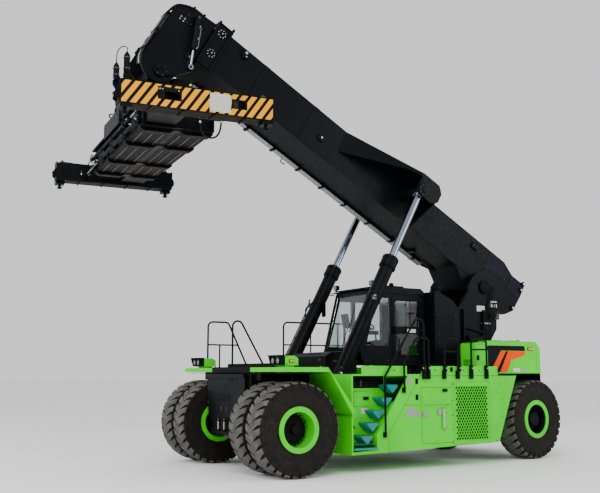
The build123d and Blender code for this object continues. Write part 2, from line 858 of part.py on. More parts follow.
for door_name, box, face_y in (
    ("service_door", service_door_box, skirt_y),
    ("locker_door", locker_door_box, stair_back_y),
):
    with BuildPart() as door:
        with BuildSketch(side_plane(face_y + 4)):
            with Locations(((box[0] + box[2]) / 2, (box[1] + box[3]) / 2)):
                RectangleRounded(box[2] - box[0], box[3] - box[1], 15)
        extrude(amount=24)
        # hinge straps and knuckles at the front edge, and a handle
        for share in (0.2, 0.8):
            z = box[1] + share * (box[3] - box[1]) - 40
            with BuildSketch(Plane(origin=(box[2] + panel_gap, face_y + hinge_out, z))):
                Circle(hinge_radius)
            extrude(amount=80)
            with BuildSketch(side_plane(face_y + 10)):
                with Locations((box[2] - 22, z + 40)):
                    Rectangle(54, 70)
            extrude(amount=8)
        with BuildSketch(side_plane(face_y + 22)):
            with Locations((box[0] + 70, box[1] + 0.68 * (box[3] - box[1]))):
                SlotOverall(110, 36)
        extrude(amount=20)
    save(door, door_name)

# stair treads and bottom platforms
tread_rows = (
    # front edge behind the skirt's front, top as a part of the flight
    (230, 0.222),
    (350, 0.385),
    (480, 0.548),
    (660, 0.711),
    (800, 0.881),
)
with BuildPart() as stair_treads:
    for side in (1, -1):
        for ahead, part_of_flight in tread_rows:
            top = skirt_bottom + part_of_flight * stair_flight
            outer = side * (skirt_y - 30) if side > 0 else side * stair_back_y
            with BuildSketch(side_plane(outer)):
                with BuildLine():
                    Polyline(
                        (skirt_front_x - ahead, top),
                        (skirt_front_x - ahead - 240, top),
                        (skirt_front_x - ahead - 230, top - 40),
                        (skirt_front_x - ahead - 120, top - 150),
                        (skirt_front_x - ahead - 10, top - 40),
                        close=True,
                    )
                make_face()
            extrude(amount=skirt_y - 30 - stair_back_y)
        with BuildSketch(Plane.XY.offset(skirt_bottom + 62)):
            with Locations((skirt_front_x - 285, side * (skirt_y + stair_back_y + 40) / 2)):
                Rectangle(500, skirt_y - stair_back_y + 40)
        extrude(amount=34)
save(stair_treads, "stair_treads")

# ------------------------------------------------------------ fenders and deck
fender_front_x = front_axle_x + 270
fender_side_rear_x = front_axle_x - 560
fender_inner_y = deck_inner_y + 40
with BuildPart() as front_fenders:
    for side in (1, -1):
        outer = side * fender_outer_y if side > 0 else side * fender_inner_y
        with BuildSketch(side_plane(outer)):
            with BuildLine():
                Polyline(
                    (fender_front_x, fender_top),
                    (fender_front_x, fender_top - fender_band),
                    (fender_side_rear_x - 40, fender_top - fender_band),
                    (skirt_front_x + 50, axle_z + 235),
                    (skirt_front_x + pin_gap, axle_z + 235),
                    (skirt_front_x + pin_gap, axle_z + 325),
                    (fender_side_rear_x, fender_top),
                    close=True,
                )
            make_face()
        extrude(amount=fender_outer_y - fender_inner_y)
        # hollow the band from above between its edges, leaving the deck skin
        outer = side * (fender_outer_y - 40) if side > 0 else side * (fender_inner_y + 40)
        with BuildSketch(side_plane(outer)):
            with Locations(((fender_front_x + fender_side_rear_x) / 2, fender_top)):
                Rectangle(fender_front_x - fender_side_rear_x - 120, 2 * fender_recess)
        extrude(amount=fender_outer_y - fender_inner_y - 80, mode=Mode.SUBTRACT)
save(front_fenders, "front_fenders")

deck_rear_x = rear_axle_x + 1420
deck_front_x = skirt_front_x
slot_ahead = 320
slot_behind = 270 - lift_dir[0] / lift_dir[2] * (deck_top - lift_base_z)
with BuildPart() as deck:
    for side in (1, -1):
        with BuildSketch(Plane.XY.offset(deck_top - deck_thickness + pin_gap)):
            with Locations(((deck_rear_x + deck_front_x) / 2, side * (skirt_y + deck_inner_y) / 2)):
                Rectangle(deck_front_x - deck_rear_x, skirt_y - deck_inner_y)
            # slot for the lift cylinder
            with Locations((lift_base_x + (slot_ahead - slot_behind) / 2, side * lift_y)):
                Rectangle(slot_ahead + slot_behind, 2 * lift_room, mode=Mode.SUBTRACT)
        extrude(amount=deck_thickness)
        # raised edge band along the outside
        with BuildSketch(Plane.XY.offset(deck_top + pin_gap - 1)):
            with Locations((skirt_front_x - 730, side * (skirt_y - 15))):
                Rectangle(1000, 30)
            with Locations((deck_rear_x + 950, side * (skirt_y - 15))):
                Rectangle(1880, 30)
        extrude(amount=150)
    # landing on the right that carries the inner rail
    with BuildSketch(Plane.XY.offset(deck_top - deck_thickness + pin_gap)):
        with Locations((deck_front_x + 60, -fender_inner_y - 100)):
            Rectangle(140, 160)
    extrude(amount=deck_thickness)
    # plates between the beams ahead of and under the cab
    with BuildSketch(Plane.XY.offset(deck_top - deck_thickness + pin_gap)):
        with Locations(((pivot_x + 1420 + front_plate_x - 60) / 2, 0)):
            Rectangle(front_plate_x - 60 - pivot_x - 1420, 2 * deck_inner_y + 1)
    extrude(amount=deck_thickness)
    # valve box ahead of the cab
    with BuildSketch(side_plane(640)):
        with BuildLine():
            Polyline(
                (cab_nose_x + 80, deck_top - 1),
                (cab_nose_x + 800, deck_top - 1),
                (cab_nose_x + 800, deck_top + 330),
                (cab_nose_x + 680, deck_top + 400),
                (cab_nose_x + 80, deck_top + 440),
                close=True,
            )
        make_face()
    extrude(amount=1280)
save(deck, "deck")

# tall cabinet between the cab and the tower
cabinet_front_x = rear_axle_x + cab_rear_from_axle - 40
cabinet_rear_x = rear_axle_x + 1470
with BuildPart() as cabinet:
    with BuildSketch(side_plane(960)):
        with BuildLine():
            Polyline(
                (cabinet_front_x, deck_top + 1),
                (cabinet_front_x, deck_top + 1670),
                (cabinet_front_x - 90, deck_top + 1690),
                (cabinet_rear_x + 150, deck_top + 1510),
                (cabinet_rear_x, deck_top + 1330),
                (cabinet_rear_x, deck_top + 1),
                close=True,
            )
        make_face()
    extrude(amount=1920)
    # clear of the tower plates
    for side in (1, -1):
        with BuildSketch(Plane.XY.offset(deck_top)):
            with Locations((cabinet_rear_x + 150, side * (tower_inner_y + tower_plate / 2))):
                Rectangle(380, tower_plate + 20)
        extrude(amount=2000, mode=Mode.SUBTRACT)
save(cabinet, "cabinet")

# -------------------------------------------------------------------- handrails
rail_radius = 19
socket_radius = 34
rail_y = skirt_y + 40
ra = rear_axle_x
fa = front_axle_x
sf = skirt_front_x
dt = deck_top
rail_foot = fender_top - fender_recess
rail_start = dt - 30
far_y = -rail_y
outer_loop_y = 130 - fender_outer_y
inner_loop_y = -fender_inner_y - 100
# each rail: place across the machine, bend radius, then its x and z points
stair_rail = (
    (sf - 700, skirt_bottom + 290),
    (sf - 700, dt - 40),
    (sf - 1600, dt + 1280),
    (sf - 1610, rail_start),
)
door_rail = (
    (sf - 1140, dt - 330),
    (sf - 1135, dt + 200),
    (sf - 1430, dt + 670),
    (sf - 1710, dt + 670),
    (sf - 1710, rail_start),
)
outer_loop = ((fa - 180, rail_foot), (fa - 180, dt + 1090), (fa - 650, dt + 1090), (fa - 1170, dt + 30))
inner_loop = ((fa - 220, rail_foot), (fa - 220, dt + 1050), (fa - 400, dt + 1060), (fa - 1015, dt + 30))
far_rail = ((sf - 940, rail_start), (sf - 940, dt + 1140), (ra + 1760, dt + 1140), (ra + 1760, rail_start))


def grab_rail(front, rear):
    """Points of an upright loop on the deck's edge between two stations."""
    return ((front, rail_start), (front, dt + 660), (rear, dt + 660), (rear, rail_start))


rails = (
    (rail_y, 120, stair_rail),
    (rail_y, 90, door_rail),
    (rail_y, 70, grab_rail(sf - 2090, sf - 2420)),
    (rail_y, 70, grab_rail(ra + 2130, ra + 1740)),
    (outer_loop_y, 110, outer_loop),
    (inner_loop_y, 110, inner_loop),
    (far_y, 110, far_rail),
)
# straight bars: place across the machine, then start and end x and z
bars = (
    (rail_y, (sf - 2090, dt + 420), (sf - 2420, dt + 420)),
    (rail_y, (ra + 2130, dt + 470), (ra + 1740, dt + 470)),
    (outer_loop_y, (fa - 180, dt + 610), (fa - 890, dt + 610)),
    (outer_loop_y, (fa - 455, rail_foot), (fa - 455, dt + 610)),
    (far_y, (sf - 940, dt + 640), (ra + 1760, dt + 640)),
    (far_y, (ra + 3240, rail_start), (ra + 3240, dt + 1140)),
    (far_y, (ra + 2500, rail_start), (ra + 2500, dt + 1140)),
)
# sockets on the deck's edge: side, x
sockets = (
    (1, sf - 1610), (1, sf - 1710), (1, sf - 2090), (1, sf - 2420), (1, ra + 2130), (1, ra + 1740),
    (-1, sf - 940), (-1, ra + 3240), (-1, ra + 2500), (-1, ra + 1760),
)
with BuildPart() as handrails:
    for y, bend, points in rails:
        with BuildLine(mode=Mode.PRIVATE) as path:
            FilletPolyline(*[Vector(x, y, z) for x, z in points], radius=bend)
        with BuildSketch(Plane(origin=path.line @ 0, z_dir=path.line % 0)):
            Circle(rail_radius)
        sweep(path=path.line)
    for y, start, end in bars:
        run = Vector(end[0] - start[0], 0, end[1] - start[1])
        with BuildSketch(Plane(origin=(start[0], y, start[1]), z_dir=run)):
            Circle(rail_radius - 3)
        extrude(amount=run.length)
    for side, x in sockets:
        with BuildSketch(Plane(origin=(x, side * rail_y, deck_top - 90))):
            Circle(socket_radius)
        extrude(amount=160)
        with BuildSketch(side_plane(side * rail_y + (0 if side > 0 else rail_y - skirt_y - 0.5))):
            with Locations((x, deck_top - 10)):
                Rectangle(2 * socket_radius, 150)
        extrude(amount=rail_y - skirt_y - 0.5)
    # feet of the stair rails and of the loops on the right fender
    for y, x, z in ((skirt_y + 0.5, sf - 700, skirt_bottom + 310), (skirt_y + 0.5, sf - 1139, dt - 290)):
        with BuildSketch(side_plane(y + rail_y - skirt_y)):
            with Locations((x, z)):
                Rectangle(60, 90)
        extrude(amount=rail_y - skirt_y - 0.5)
    for x, y, z in (
        (fa - 180, outer_loop_y, rail_foot),
        (fa - 455, outer_loop_y, rail_foot),
        (fa - 1165, outer_loop_y + 20, dt + pin_gap),
        (fa - 220, inner_loop_y, rail_foot),
        (fa - 1010, inner_loop_y, dt + pin_gap),
    ):
        with BuildSketch(Plane(origin=(x, y, z))):
            Circle(socket_radius)
        extrude(amount=50)
save(handrails, "handrails")

# -------------------------------------------------------------------- headlights
lamp_radius = 62
lamp_y = fender_outer_y - 460
with BuildPart() as headlights:
    for side in (1, -1):
        with BuildSketch(Plane.XY.offset(fender_top - fender_recess)):
            with Locations((front_axle_x + 30, side * lamp_y)):
                Rectangle(170, 300)
        extrude(amount=60)
        with BuildSketch(side_plane(side * lamp_y + 190)):
            with BuildLine():
                Polyline(
                    (front_axle_x - 120, fender_top + 30),
                    (front_axle_x - 120, fender_top + 150),
                    (front_axle_x - 40, fender_top + 195),
                    (front_axle_x + 180, fender_top + 195),
                    (front_axle_x + 150, fender_top + 30),
                    close=True,
                )
            make_face()
        extrude(amount=380)
        for offset in (-85, 85):
            with BuildSketch(cross_plane(front_axle_x + 155)):
                with Locations((side * lamp_y + offset, fender_top + 112)):
                    Circle(lamp_radius)
            extrude(amount=60)
save(headlights, "headlights")

# --------------------------------------------------------------------------- cab
glass = 8
door_rear_x = cab_rear_x + 90
door_front_x = cab_rear_x + 850
door_low = cab_floor + 60
door_high = cab_top - 190
door_panel = 45


def cab_outline(inset):
    """Side view of the cab body, drawn inset from its skin."""
    Polyline(
        (cab_rear_x + inset, cab_floor + inset),
        (cab_nose_x - inset - 60, cab_floor + inset),
        (cab_nose_x - inset, sill - 180),
        (cab_nose_x - inset, sill - 60),
        (cab_roof_x - inset - 10, cab_top - inset - 60),
        (cab_roof_x - inset - 90, cab_top - inset),
        (cab_rear_x + inset + 60, cab_top - inset),
        (cab_rear_x + inset, cab_top - inset - 60),
        close=True,
    )


side_windows = (
    # rear x, front x at the sill, front x at the top, sill, top
    (door_front_x + 60, cab_nose_x - 120, cab_roof_x - 90, sill + 60, cab_top - 200),
)
with BuildPart() as cab_frame:
    with BuildSketch(side_plane(cab_half_width)):
        with BuildLine():
            cab_outline(0)
        make_face()
    extrude(amount=2 * cab_half_width)
    with BuildSketch(side_plane(cab_half_width - cab_wall)):
        with BuildLine():
            cab_outline(cab_wall)
        make_face()
    extrude(amount=2 * (cab_half_width - cab_wall), mode=Mode.SUBTRACT)
    # windscreen opening, through the sloping front and up to the roof edge
    with BuildSketch(cross_plane(cab_roof_x - 140)):
        with Locations((0, (sill + cab_top - 120) / 2)):
            Rectangle(2 * cab_half_width - 150, cab_top - 120 - sill)
    extrude(amount=800, mode=Mode.SUBTRACT)
    # rear window
    with BuildSketch(cross_plane(cab_rear_x - 1)):
        with Locations((0, sill + 750)):
            RectangleRounded(980, 560, 50)
    extrude(amount=cab_wall + 2, mode=Mode.SUBTRACT)
    # roof window
    with BuildSketch(Plane.XY.offset(cab_top - cab_wall - 1)):
        with Locations(((cab_rear_x + cab_roof_x) / 2 + 140, 0)):
            RectangleRounded(620, 900, 40)
    extrude(amount=cab_wall + 2, mode=Mode.SUBTRACT)
    # windows ahead of the door, both sides
    for rear, low_front, high_front, low, high in side_windows:
        with BuildSketch(side_plane(cab_half_width + 1)):
            with BuildLine():
                Polyline((rear, low), (low_front, low), (high_front, high), (rear, high), close=True)
            make_face()
        extrude(amount=2 * cab_half_width + 2, mode=Mode.SUBTRACT)
    # door opening on the left, window in its place on the right
    with BuildSketch(side_plane(cab_half_width + 1)):
        with Locations(((door_rear_x + door_front_x) / 2, (door_low + door_high) / 2)):
            Rectangle(door_front_x - door_rear_x + 2 * panel_gap, door_high - door_low + 2 * panel_gap)
    extrude(amount=cab_wall + 2, mode=Mode.SUBTRACT)
    with BuildSketch(side_plane(-cab_half_width + cab_wall + 1)):
        with Locations(((door_rear_x + door_front_x) / 2, (sill + 60 + cab_top - 200) / 2)):
            RectangleRounded(door_front_x - door_rear_x - 60, cab_top - 260 - sill, 40)
    extrude(amount=cab_wall + 2, mode=Mode.SUBTRACT)
    # roof cap, beacon post and the legs that stand on the deck
    with BuildSketch(Plane.XY.offset(cab_top - 1)):
        with Locations(((cab_rear_x + cab_roof_x) / 2, 0)):
            RectangleRounded(cab_roof_x - cab_rear_x - 60, 2 * cab_half_width - 60, 60)
        with Locations(((cab_rear_x + cab_roof_x) / 2 + 140, 0)):
            RectangleRounded(620, 900, 40, mode=Mode.SUBTRACT)
    extrude(amount=30)
    for x in (cab_rear_x + 120, cab_nose_x - 200):
        for y in (-cab_half_width + 90, cab_half_width - 90):
            with BuildSketch(Plane(origin=(x, y, deck_top + 2 * pin_gap))):
                Circle(55)
            extrude(amount=cab_floor - deck_top)
save(cab_frame, "cab_frame")

with BuildPart() as cab_glass:
    # windscreen, parallel to the sloping front
    with BuildSketch(side_plane(cab_half_width - 76)):
        with BuildLine():
            Polyline(
                (cab_nose_x - 36, sill + 0.5),
                (cab_nose_x - 56, sill + 0.5),
                (cab_roof_x - 24, cab_top - 120.5),
                (cab_roof_x - 4, cab_top - 120.5),
                close=True,
            )
        make_face()
    extrude(amount=2 * (cab_half_width - 76))
    with BuildSketch(cross_plane(cab_rear_x + 20)):
        with Locations((0, sill + 750)):
            RectangleRounded(980 - 1, 560 - 1, 50)
    extrude(amount=glass)
    with BuildSketch(Plane.XY.offset(cab_top - 25)):
        with Locations(((cab_rear_x + cab_roof_x) / 2 + 140, 0)):
            RectangleRounded(620 - 1, 900 - 1, 40)
    extrude(amount=glass)
    for rear, low_front, high_front, low, high in side_windows:
        for y in (cab_half_width - 20, -cab_half_width + 20 + glass):
            with BuildSketch(side_plane(y)):
                with BuildLine():
                    Polyline(
                        (rear + 0.5, low + 0.5),
                        (low_front - 0.7, low + 0.5),
                        (high_front - 0.7, high - 0.5),
                        (rear + 0.5, high - 0.5),
                        close=True,
                    )
                make_face()
            extrude(amount=glass)
    with BuildSketch(side_plane(-cab_half_width + 20 + glass)):
        with Locations(((door_rear_x + door_front_x) / 2, (sill + 60 + cab_top - 200) / 2)):
            RectangleRounded(door_front_x - door_rear_x - 61, cab_top - 261 - sill, 40)
    extrude(amount=glass)
save(cab_glass, "cab_glass")

door_windows = (
    # middle x, middle z, width, height
    ((door_rear_x + door_front_x) / 2, sill + 715, door_front_x - door_rear_x - 140, 520),
    ((door_rear_x + door_front_x) / 2, sill + 100, door_front_x - door_rear_x - 190, 420),
)
with BuildPart() as cab_door:
    with BuildSketch(side_plane(cab_half_width)):
        with Locations(((door_rear_x + door_front_x) / 2, (door_low + door_high) / 2)):
            RectangleRounded(door_front_x - door_rear_x, door_high - door_low, 30)
        for x, z, width, height in door_windows:
            with Locations((x, z)):
                RectangleRounded(width, height, 30, mode=Mode.SUBTRACT)
    extrude(amount=door_panel)
    # hinge knuckles on the rear edge and the outside handle
    for z in (door_low + 180, door_high - 260):
        with BuildSketch(Plane(origin=(door_rear_x - 2, cab_half_width + 14 + pin_gap, z))):
            Circle(14)
        extrude(amount=90)
        with BuildSketch(side_plane(cab_half_width + 20)):
            with Locations((door_rear_x + 30, z + 45)):
                Rectangle(70, 60)
        extrude(amount=30)
    with BuildSketch(side_plane(cab_half_width + 40)):
        with Locations((door_front_x - 50, sill + 380)):
            SlotOverall(150, 32, rotation=90)
    extrude(amount=42)
save(cab_door, "cab_door")

with BuildPart() as cab_door_glass:
    for x, z, width, height in door_windows:
        with BuildSketch(side_plane(cab_half_width - 18)):
            with Locations((x, z)):
                RectangleRounded(width - 1, height - 1, 30)
        extrude(amount=glass)
save(cab_door_glass, "cab_door_glass")

seat_x = cab_rear_x + 620
floor_z = cab_floor + cab_wall
with BuildPart() as operator_seat:
    with BuildSketch(Plane.XY.offset(floor_z + pin_gap)):
        with Locations((seat_x, 0)):
            RectangleRounded(360, 340, 40)
    extrude(amount=330)
    with BuildSketch(Plane.XY.offset(floor_z + 320)):
        with Locations((seat_x + 20, 0)):
            RectangleRounded(500, 500, 80)
    extrude(amount=130)
    with BuildSketch(side_plane(230)):
        with BuildLine():
            Polyline(
                (seat_x - 230, floor_z + 430),
                (seat_x - 110, floor_z + 430),
                (seat_x - 200, floor_z + 1120),
                (seat_x - 300, floor_z + 1120),
                close=True,
            )
        make_face()
    extrude(amount=460)
    for side in (1, -1):
        with BuildSketch(side_plane(side * 300 + 45)):
            with Locations((seat_x + 30, floor_z + 640)):
                SlotOverall(420, 90)
        extrude(amount=90)
        with BuildSketch(Plane(origin=(seat_x - 60, side * 270, floor_z + 400))):
            Rectangle(80, 60)
        extrude(amount=220)
save(operator_seat, "operator_seat")

with BuildPart() as control_console:
    with BuildSketch(side_plane(160)):
        with BuildLine():
            Polyline(
                (cab_nose_x - 480, floor_z + pin_gap),
                (cab_nose_x - 260, floor_z + pin_gap),
                (cab_nose_x - 290, floor_z + 560),
                (cab_nose_x - 470, floor_z + 620),
                (cab_nose_x - 540, floor_z + 560),
                close=True,
            )
        make_face()
    extrude(amount=320)
    wheel_centre = (cab_nose_x - 590, 0, floor_z + 760)
    with BuildSketch(Plane(origin=wheel_centre, z_dir=(-0.45, 0, 0.9))):
        Circle(200)
        Circle(175, mode=Mode.SUBTRACT)
        Rectangle(370, 34)
        Circle(48)
    extrude(amount=22)
    with BuildSketch(Plane(origin=wheel_centre, z_dir=(0.45, 0, -0.9))):
        Circle(32)
    extrude(amount=210)
    # display on its post, right of the wheel
    with BuildSketch(Plane(origin=(cab_nose_x - 300, -330, floor_z + pin_gap))):
        Circle(25)
    extrude(amount=860)
    with BuildSketch(Plane(origin=(cab_nose_x - 315, -330, floor_z + 850), z_dir=(-0.9, 0, 0.2))):
        RectangleRounded(300, 220, 15)
    extrude(amount=40)
    # pedals
    for y in (-230, 190, 260):
        with BuildSketch(side_plane(y + 35)):
            with BuildLine():
                Polyline(
                    (cab_nose_x - 330, floor_z + pin_gap),
                    (cab_nose_x - 160, floor_z + pin_gap),
                    (cab_nose_x - 130, floor_z + 150),
                    (cab_nose_x - 150, floor_z + 155),
                    close=True,
                )
            make_face()
        extrude(amount=60)
save(control_console, "control_console")

# ------------------------------------------------------------------- outer boom
with BuildPart() as outer_boom:
    with BuildSketch(boom_side(boom_half_width)):
        with BuildLine():
            Polyline(
                (collar_end, boom_bottom),
                (collar_end, boom_top),
                (-400, boom_top),
                (-740, boom_top - 140),
                (boom_tail, boom_top - 140),
                (boom_tail, boom_top - 410),
                (boom_tail + 50, boom_bottom),
                (-950, boom_bottom - 195),
                (-300, boom_bottom - 300),
                (300, boom_bottom - 300),
                (760, boom_bottom),
                close=True,
            )
        make_face()
    extrude(amount=2 * boom_half_width)
    # room for the inner boom
    with BuildSketch(boom_cut(inner_start - 200)):
        with Locations((0, (boom_top + boom_bottom) / 2)):
            Rectangle(2 * (boom_half_width - boom_wall), boom_top - boom_bottom - 2 * boom_wall)
    extrude(amount=collar_end - inner_start + 201, mode=Mode.SUBTRACT)
    # collar with its wear pads around the mouth
    with BuildSketch(boom_cut(collar_start)):
        with Locations((0, (boom_top + boom_bottom) / 2)):
            Rectangle(2 * (boom_half_width + 30), boom_top - boom_bottom + 2 * collar_lip)
            Rectangle(2 * boom_half_width - 2, boom_top - boom_bottom - 2, mode=Mode.SUBTRACT)
    extrude(amount=collar_end - collar_start)
    pad_inner_y = inner_half_width + slide_gap
    pad_outer_y = boom_half_width - boom_wall + 5
    with BuildSketch(boom_cut(collar_start + 20)):
        for side in (1, -1):
            for h in (inner_bottom + 130, inner_top - 130):
                with Locations((side * (pad_inner_y + pad_outer_y) / 2, h)):
                    Rectangle(pad_outer_y - pad_inner_y, 130)
            for low, high in (
                (boom_bottom + boom_wall - 5, inner_bottom - slide_gap),
                (inner_top + slide_gap, boom_top - boom_wall + 5),
            ):
                with Locations((side * 250, (low + high) / 2)):
                    Rectangle(160, high - low)
    extrude(amount=collar_end - collar_start - 40)
    # pivot tube and pin
    with BuildSketch(side_plane(tower_inner_y - 6)):
        with Locations((pivot_x, pivot_z)):
            Circle(210)
    extrude(amount=2 * (tower_inner_y - 6))
    with BuildSketch(side_plane(tower_inner_y + tower_plate + 25)):
        with Locations((pivot_x, pivot_z)):
            Circle(pivot_pin_radius)
    extrude(amount=2 * (tower_inner_y + tower_plate + 25))
    # clear the inner boom's path again where the pivot tube crosses the box
    with BuildSketch(boom_cut(-340)):
        with Locations((0, (inner_top + inner_bottom) / 2)):
            Rectangle(2 * (boom_half_width - boom_wall), inner_top - inner_bottom + 60)
    extrude(amount=680, mode=Mode.SUBTRACT)
save(outer_boom, "outer_boom")

# shoulders beside the boom that take the lift cylinders
rod_opening = shoulder_corner + 25
with BuildPart() as boom_shoulders:
    for side in (1, -1):
        with BuildSketch(boom_deck(boom_top)):
            with BuildLine():
                Polyline(
                    (shoulder_end, side * boom_half_width),
                    (shoulder_corner, side * shoulder_y),
                    (shoulder_start + 170, side * shoulder_y),
                    (shoulder_start, side * (shoulder_y - 130)),
                    (shoulder_start, side * boom_half_width),
                    close=True,
                )
            make_face()
        extrude(amount=-30)
        # outer cheek
        outer = side * shoulder_y if side > 0 else side * (shoulder_y - 30)
        with BuildSketch(boom_side(outer)):
            with BuildLine():
                Polyline(
                    (shoulder_corner + 60, boom_top - 10),
                    (shoulder_start + 170, boom_top - 10),
                    (shoulder_start + 40, boom_top - 130),
                    (shoulder_start + 40, boom_top - 340),
                    (shoulder_start + 180, boom_top - 460),
                    (shoulder_corner - 60, boom_top - 460),
                    (shoulder_corner + 60, boom_top - 180),
                    close=True,
                )
            make_face()
        extrude(amount=30)
        outer = side * (shoulder_y + 18) if side > 0 else side * shoulder_y
        with BuildSketch(boom_side(outer)):
            with Locations(lift_eye):
                Circle(115)
        extrude(amount=18)
        # gusset behind the cylinder
        with BuildSketch(boom_cut(shoulder_start)):
            with BuildLine():
                Polyline(
                    (side * boom_half_width, boom_top - 10),
                    (side * (shoulder_y - 135), boom_top - 10),
                    (side * (shoulder_y - 135), boom_top - 300),
                    (side * boom_half_width, boom_bottom + 30),
                    close=True,
                )
            make_face()
        extrude(amount=30)
        # flared panel ahead of the cylinder, deep at the boom and shallow at the shoulder
        with BuildSketch(boom_deck(boom_top - 5)):
            with BuildLine():
                Polyline(
                    (shoulder_end, side * boom_half_width),
                    (shoulder_corner, side * shoulder_y),
                    (shoulder_corner, side * (shoulder_y - 28)),
                    (shoulder_end - 96, side * boom_half_width),
                    close=True,
                )
            make_face()
        extrude(amount=boom_bottom + 255 - boom_top)
        outer = side * (shoulder_y + 5) if side > 0 else side * (boom_half_width + 0.5)
        with BuildSketch(boom_side(outer)):
            with BuildLine():
                Polyline(
                    (rod_opening, boom_top - 80),
                    (rod_opening, boom_bottom + 200),
                    (shoulder_end + 100, boom_bottom + 200),
                    (shoulder_end + 100, boom_bottom + 320),
                    (shoulder_corner + 300, boom_top - 80),
                    close=True,
                )
            make_face()
            with Locations((shoulder_corner, boom_bottom + 295)):
                Rectangle(100, 168)
        extrude(amount=shoulder_y + 5 - boom_half_width - 0.5, mode=Mode.SUBTRACT)
        # bearing stub from the boom's side towards the rod eye
        stub = lift_y - lift_eye_width / 2 - 12
        outer = side * stub if side > 0 else side * boom_half_width
        with BuildSketch(boom_side(outer)):
            with Locations(lift_eye):
                Circle(120)
        extrude(amount=stub - boom_half_width)
save(boom_shoulders, "boom_shoulders")

# ------------------------------------------------------------------- inner boom
head_plate = 60
damper_pin_radius = 32
damper_boss = damper_y - damper_radius - 8
with BuildPart() as inner_boom:
    with BuildSketch(boom_cut(inner_start)):
        with Locations((0, (inner_top + inner_bottom) / 2)):
            Rectangle(2 * inner_half_width, inner_top - inner_bottom)
            Rectangle(
                2 * (inner_half_width - inner_wall),
                inner_top - inner_bottom - 2 * inner_wall,
                mode=Mode.SUBTRACT,
            )
    extrude(amount=head_start + 160 - inner_start)
    # rear wear pads
    with BuildSketch(boom_cut(inner_start + 30)):
        for side in (1, -1):
            for low, high in (
                (boom_bottom + boom_wall + slide_gap, inner_bottom + 5),
                (inner_top - 5, boom_top - boom_wall - slide_gap),
            ):
                with Locations((side * 250, (low + high) / 2)):
                    Rectangle(160, high - low)
    extrude(amount=220)
    # head: two cheeks, top, front and an inner bulkhead
    for side in (1, -1):
        outer = side * boom_half_width if side > 0 else side * (boom_half_width - head_plate)
        with BuildSketch(boom_side(outer)):
            with BuildLine():
                Polyline(
                    (head_start, boom_bottom - 20),
                    (head_start, boom_top),
                    (head_start + 460, boom_top - 40),
                    (head_start + 770, boom_top - 195),
                    (head_start + 820, boom_top - 340),
                    (head_front, hang_pivot[1] - 30),
                )
                ThreePointArc(
                    (head_front, hang_pivot[1] - 30),
                    (hang_pivot[0] + 60, hang_pivot[1] - 250),
                    (hang_pivot[0] - 250, hang_pivot[1] - 60),
                )
                Line((hang_pivot[0] - 250, hang_pivot[1] - 60), (head_start, boom_bottom - 20))
            make_face()
            with Locations(hang_pivot):
                Circle(hang_pin_radius + pin_gap, mode=Mode.SUBTRACT)
        extrude(amount=head_plate)
    with BuildSketch(boom_side(boom_half_width - 10)):
        with BuildLine():
            Polyline(
                (head_start, boom_top - 5),
                (head_start + 462, boom_top - 45),
                (head_start + 768, boom_top - 200),
                (head_start + 815, boom_top - 340),
                (head_start + 824, boom_bottom - 40),
                (head_start + 790, boom_bottom - 40),
                (head_start + 782, boom_top - 350),
                (head_start + 740, boom_top - 225),
                (head_start + 452, boom_top - 78),
                (head_start, boom_top - 40),
                close=True,
            )
        make_face()
    extrude(amount=2 * boom_half_width - 20)
    with BuildSketch(boom_cut(head_start + 130)):
        with Locations((0, (boom_top - 20 + boom_bottom) / 2)):
            Rectangle(2 * boom_half_width - 20, boom_top - boom_bottom - 40)
            Rectangle(2 * (inner_half_width - inner_wall) - 200, 380, mode=Mode.SUBTRACT)
    extrude(amount=30)
    # bored bosses that hold the damping cylinders' pins
    for side in (1, -1):
        outer = side * damper_boss if side > 0 else side * (boom_half_width - 10)
        with BuildSketch(boom_side(outer)):
            with Locations(damper_eye):
                Circle(90)
        extrude(amount=damper_boss - boom_half_width + 10)
        outer = side * (damper_boss + 1) if side > 0 else side * (boom_half_width - head_plate - 1)
        with BuildSketch(boom_side(outer)):
            with Locations(damper_eye):
                Circle(damper_pin_radius + pin_gap)
        extrude(amount=damper_boss - boom_half_width + head_plate + 2, mode=Mode.SUBTRACT)
save(inner_boom, "inner_boom")

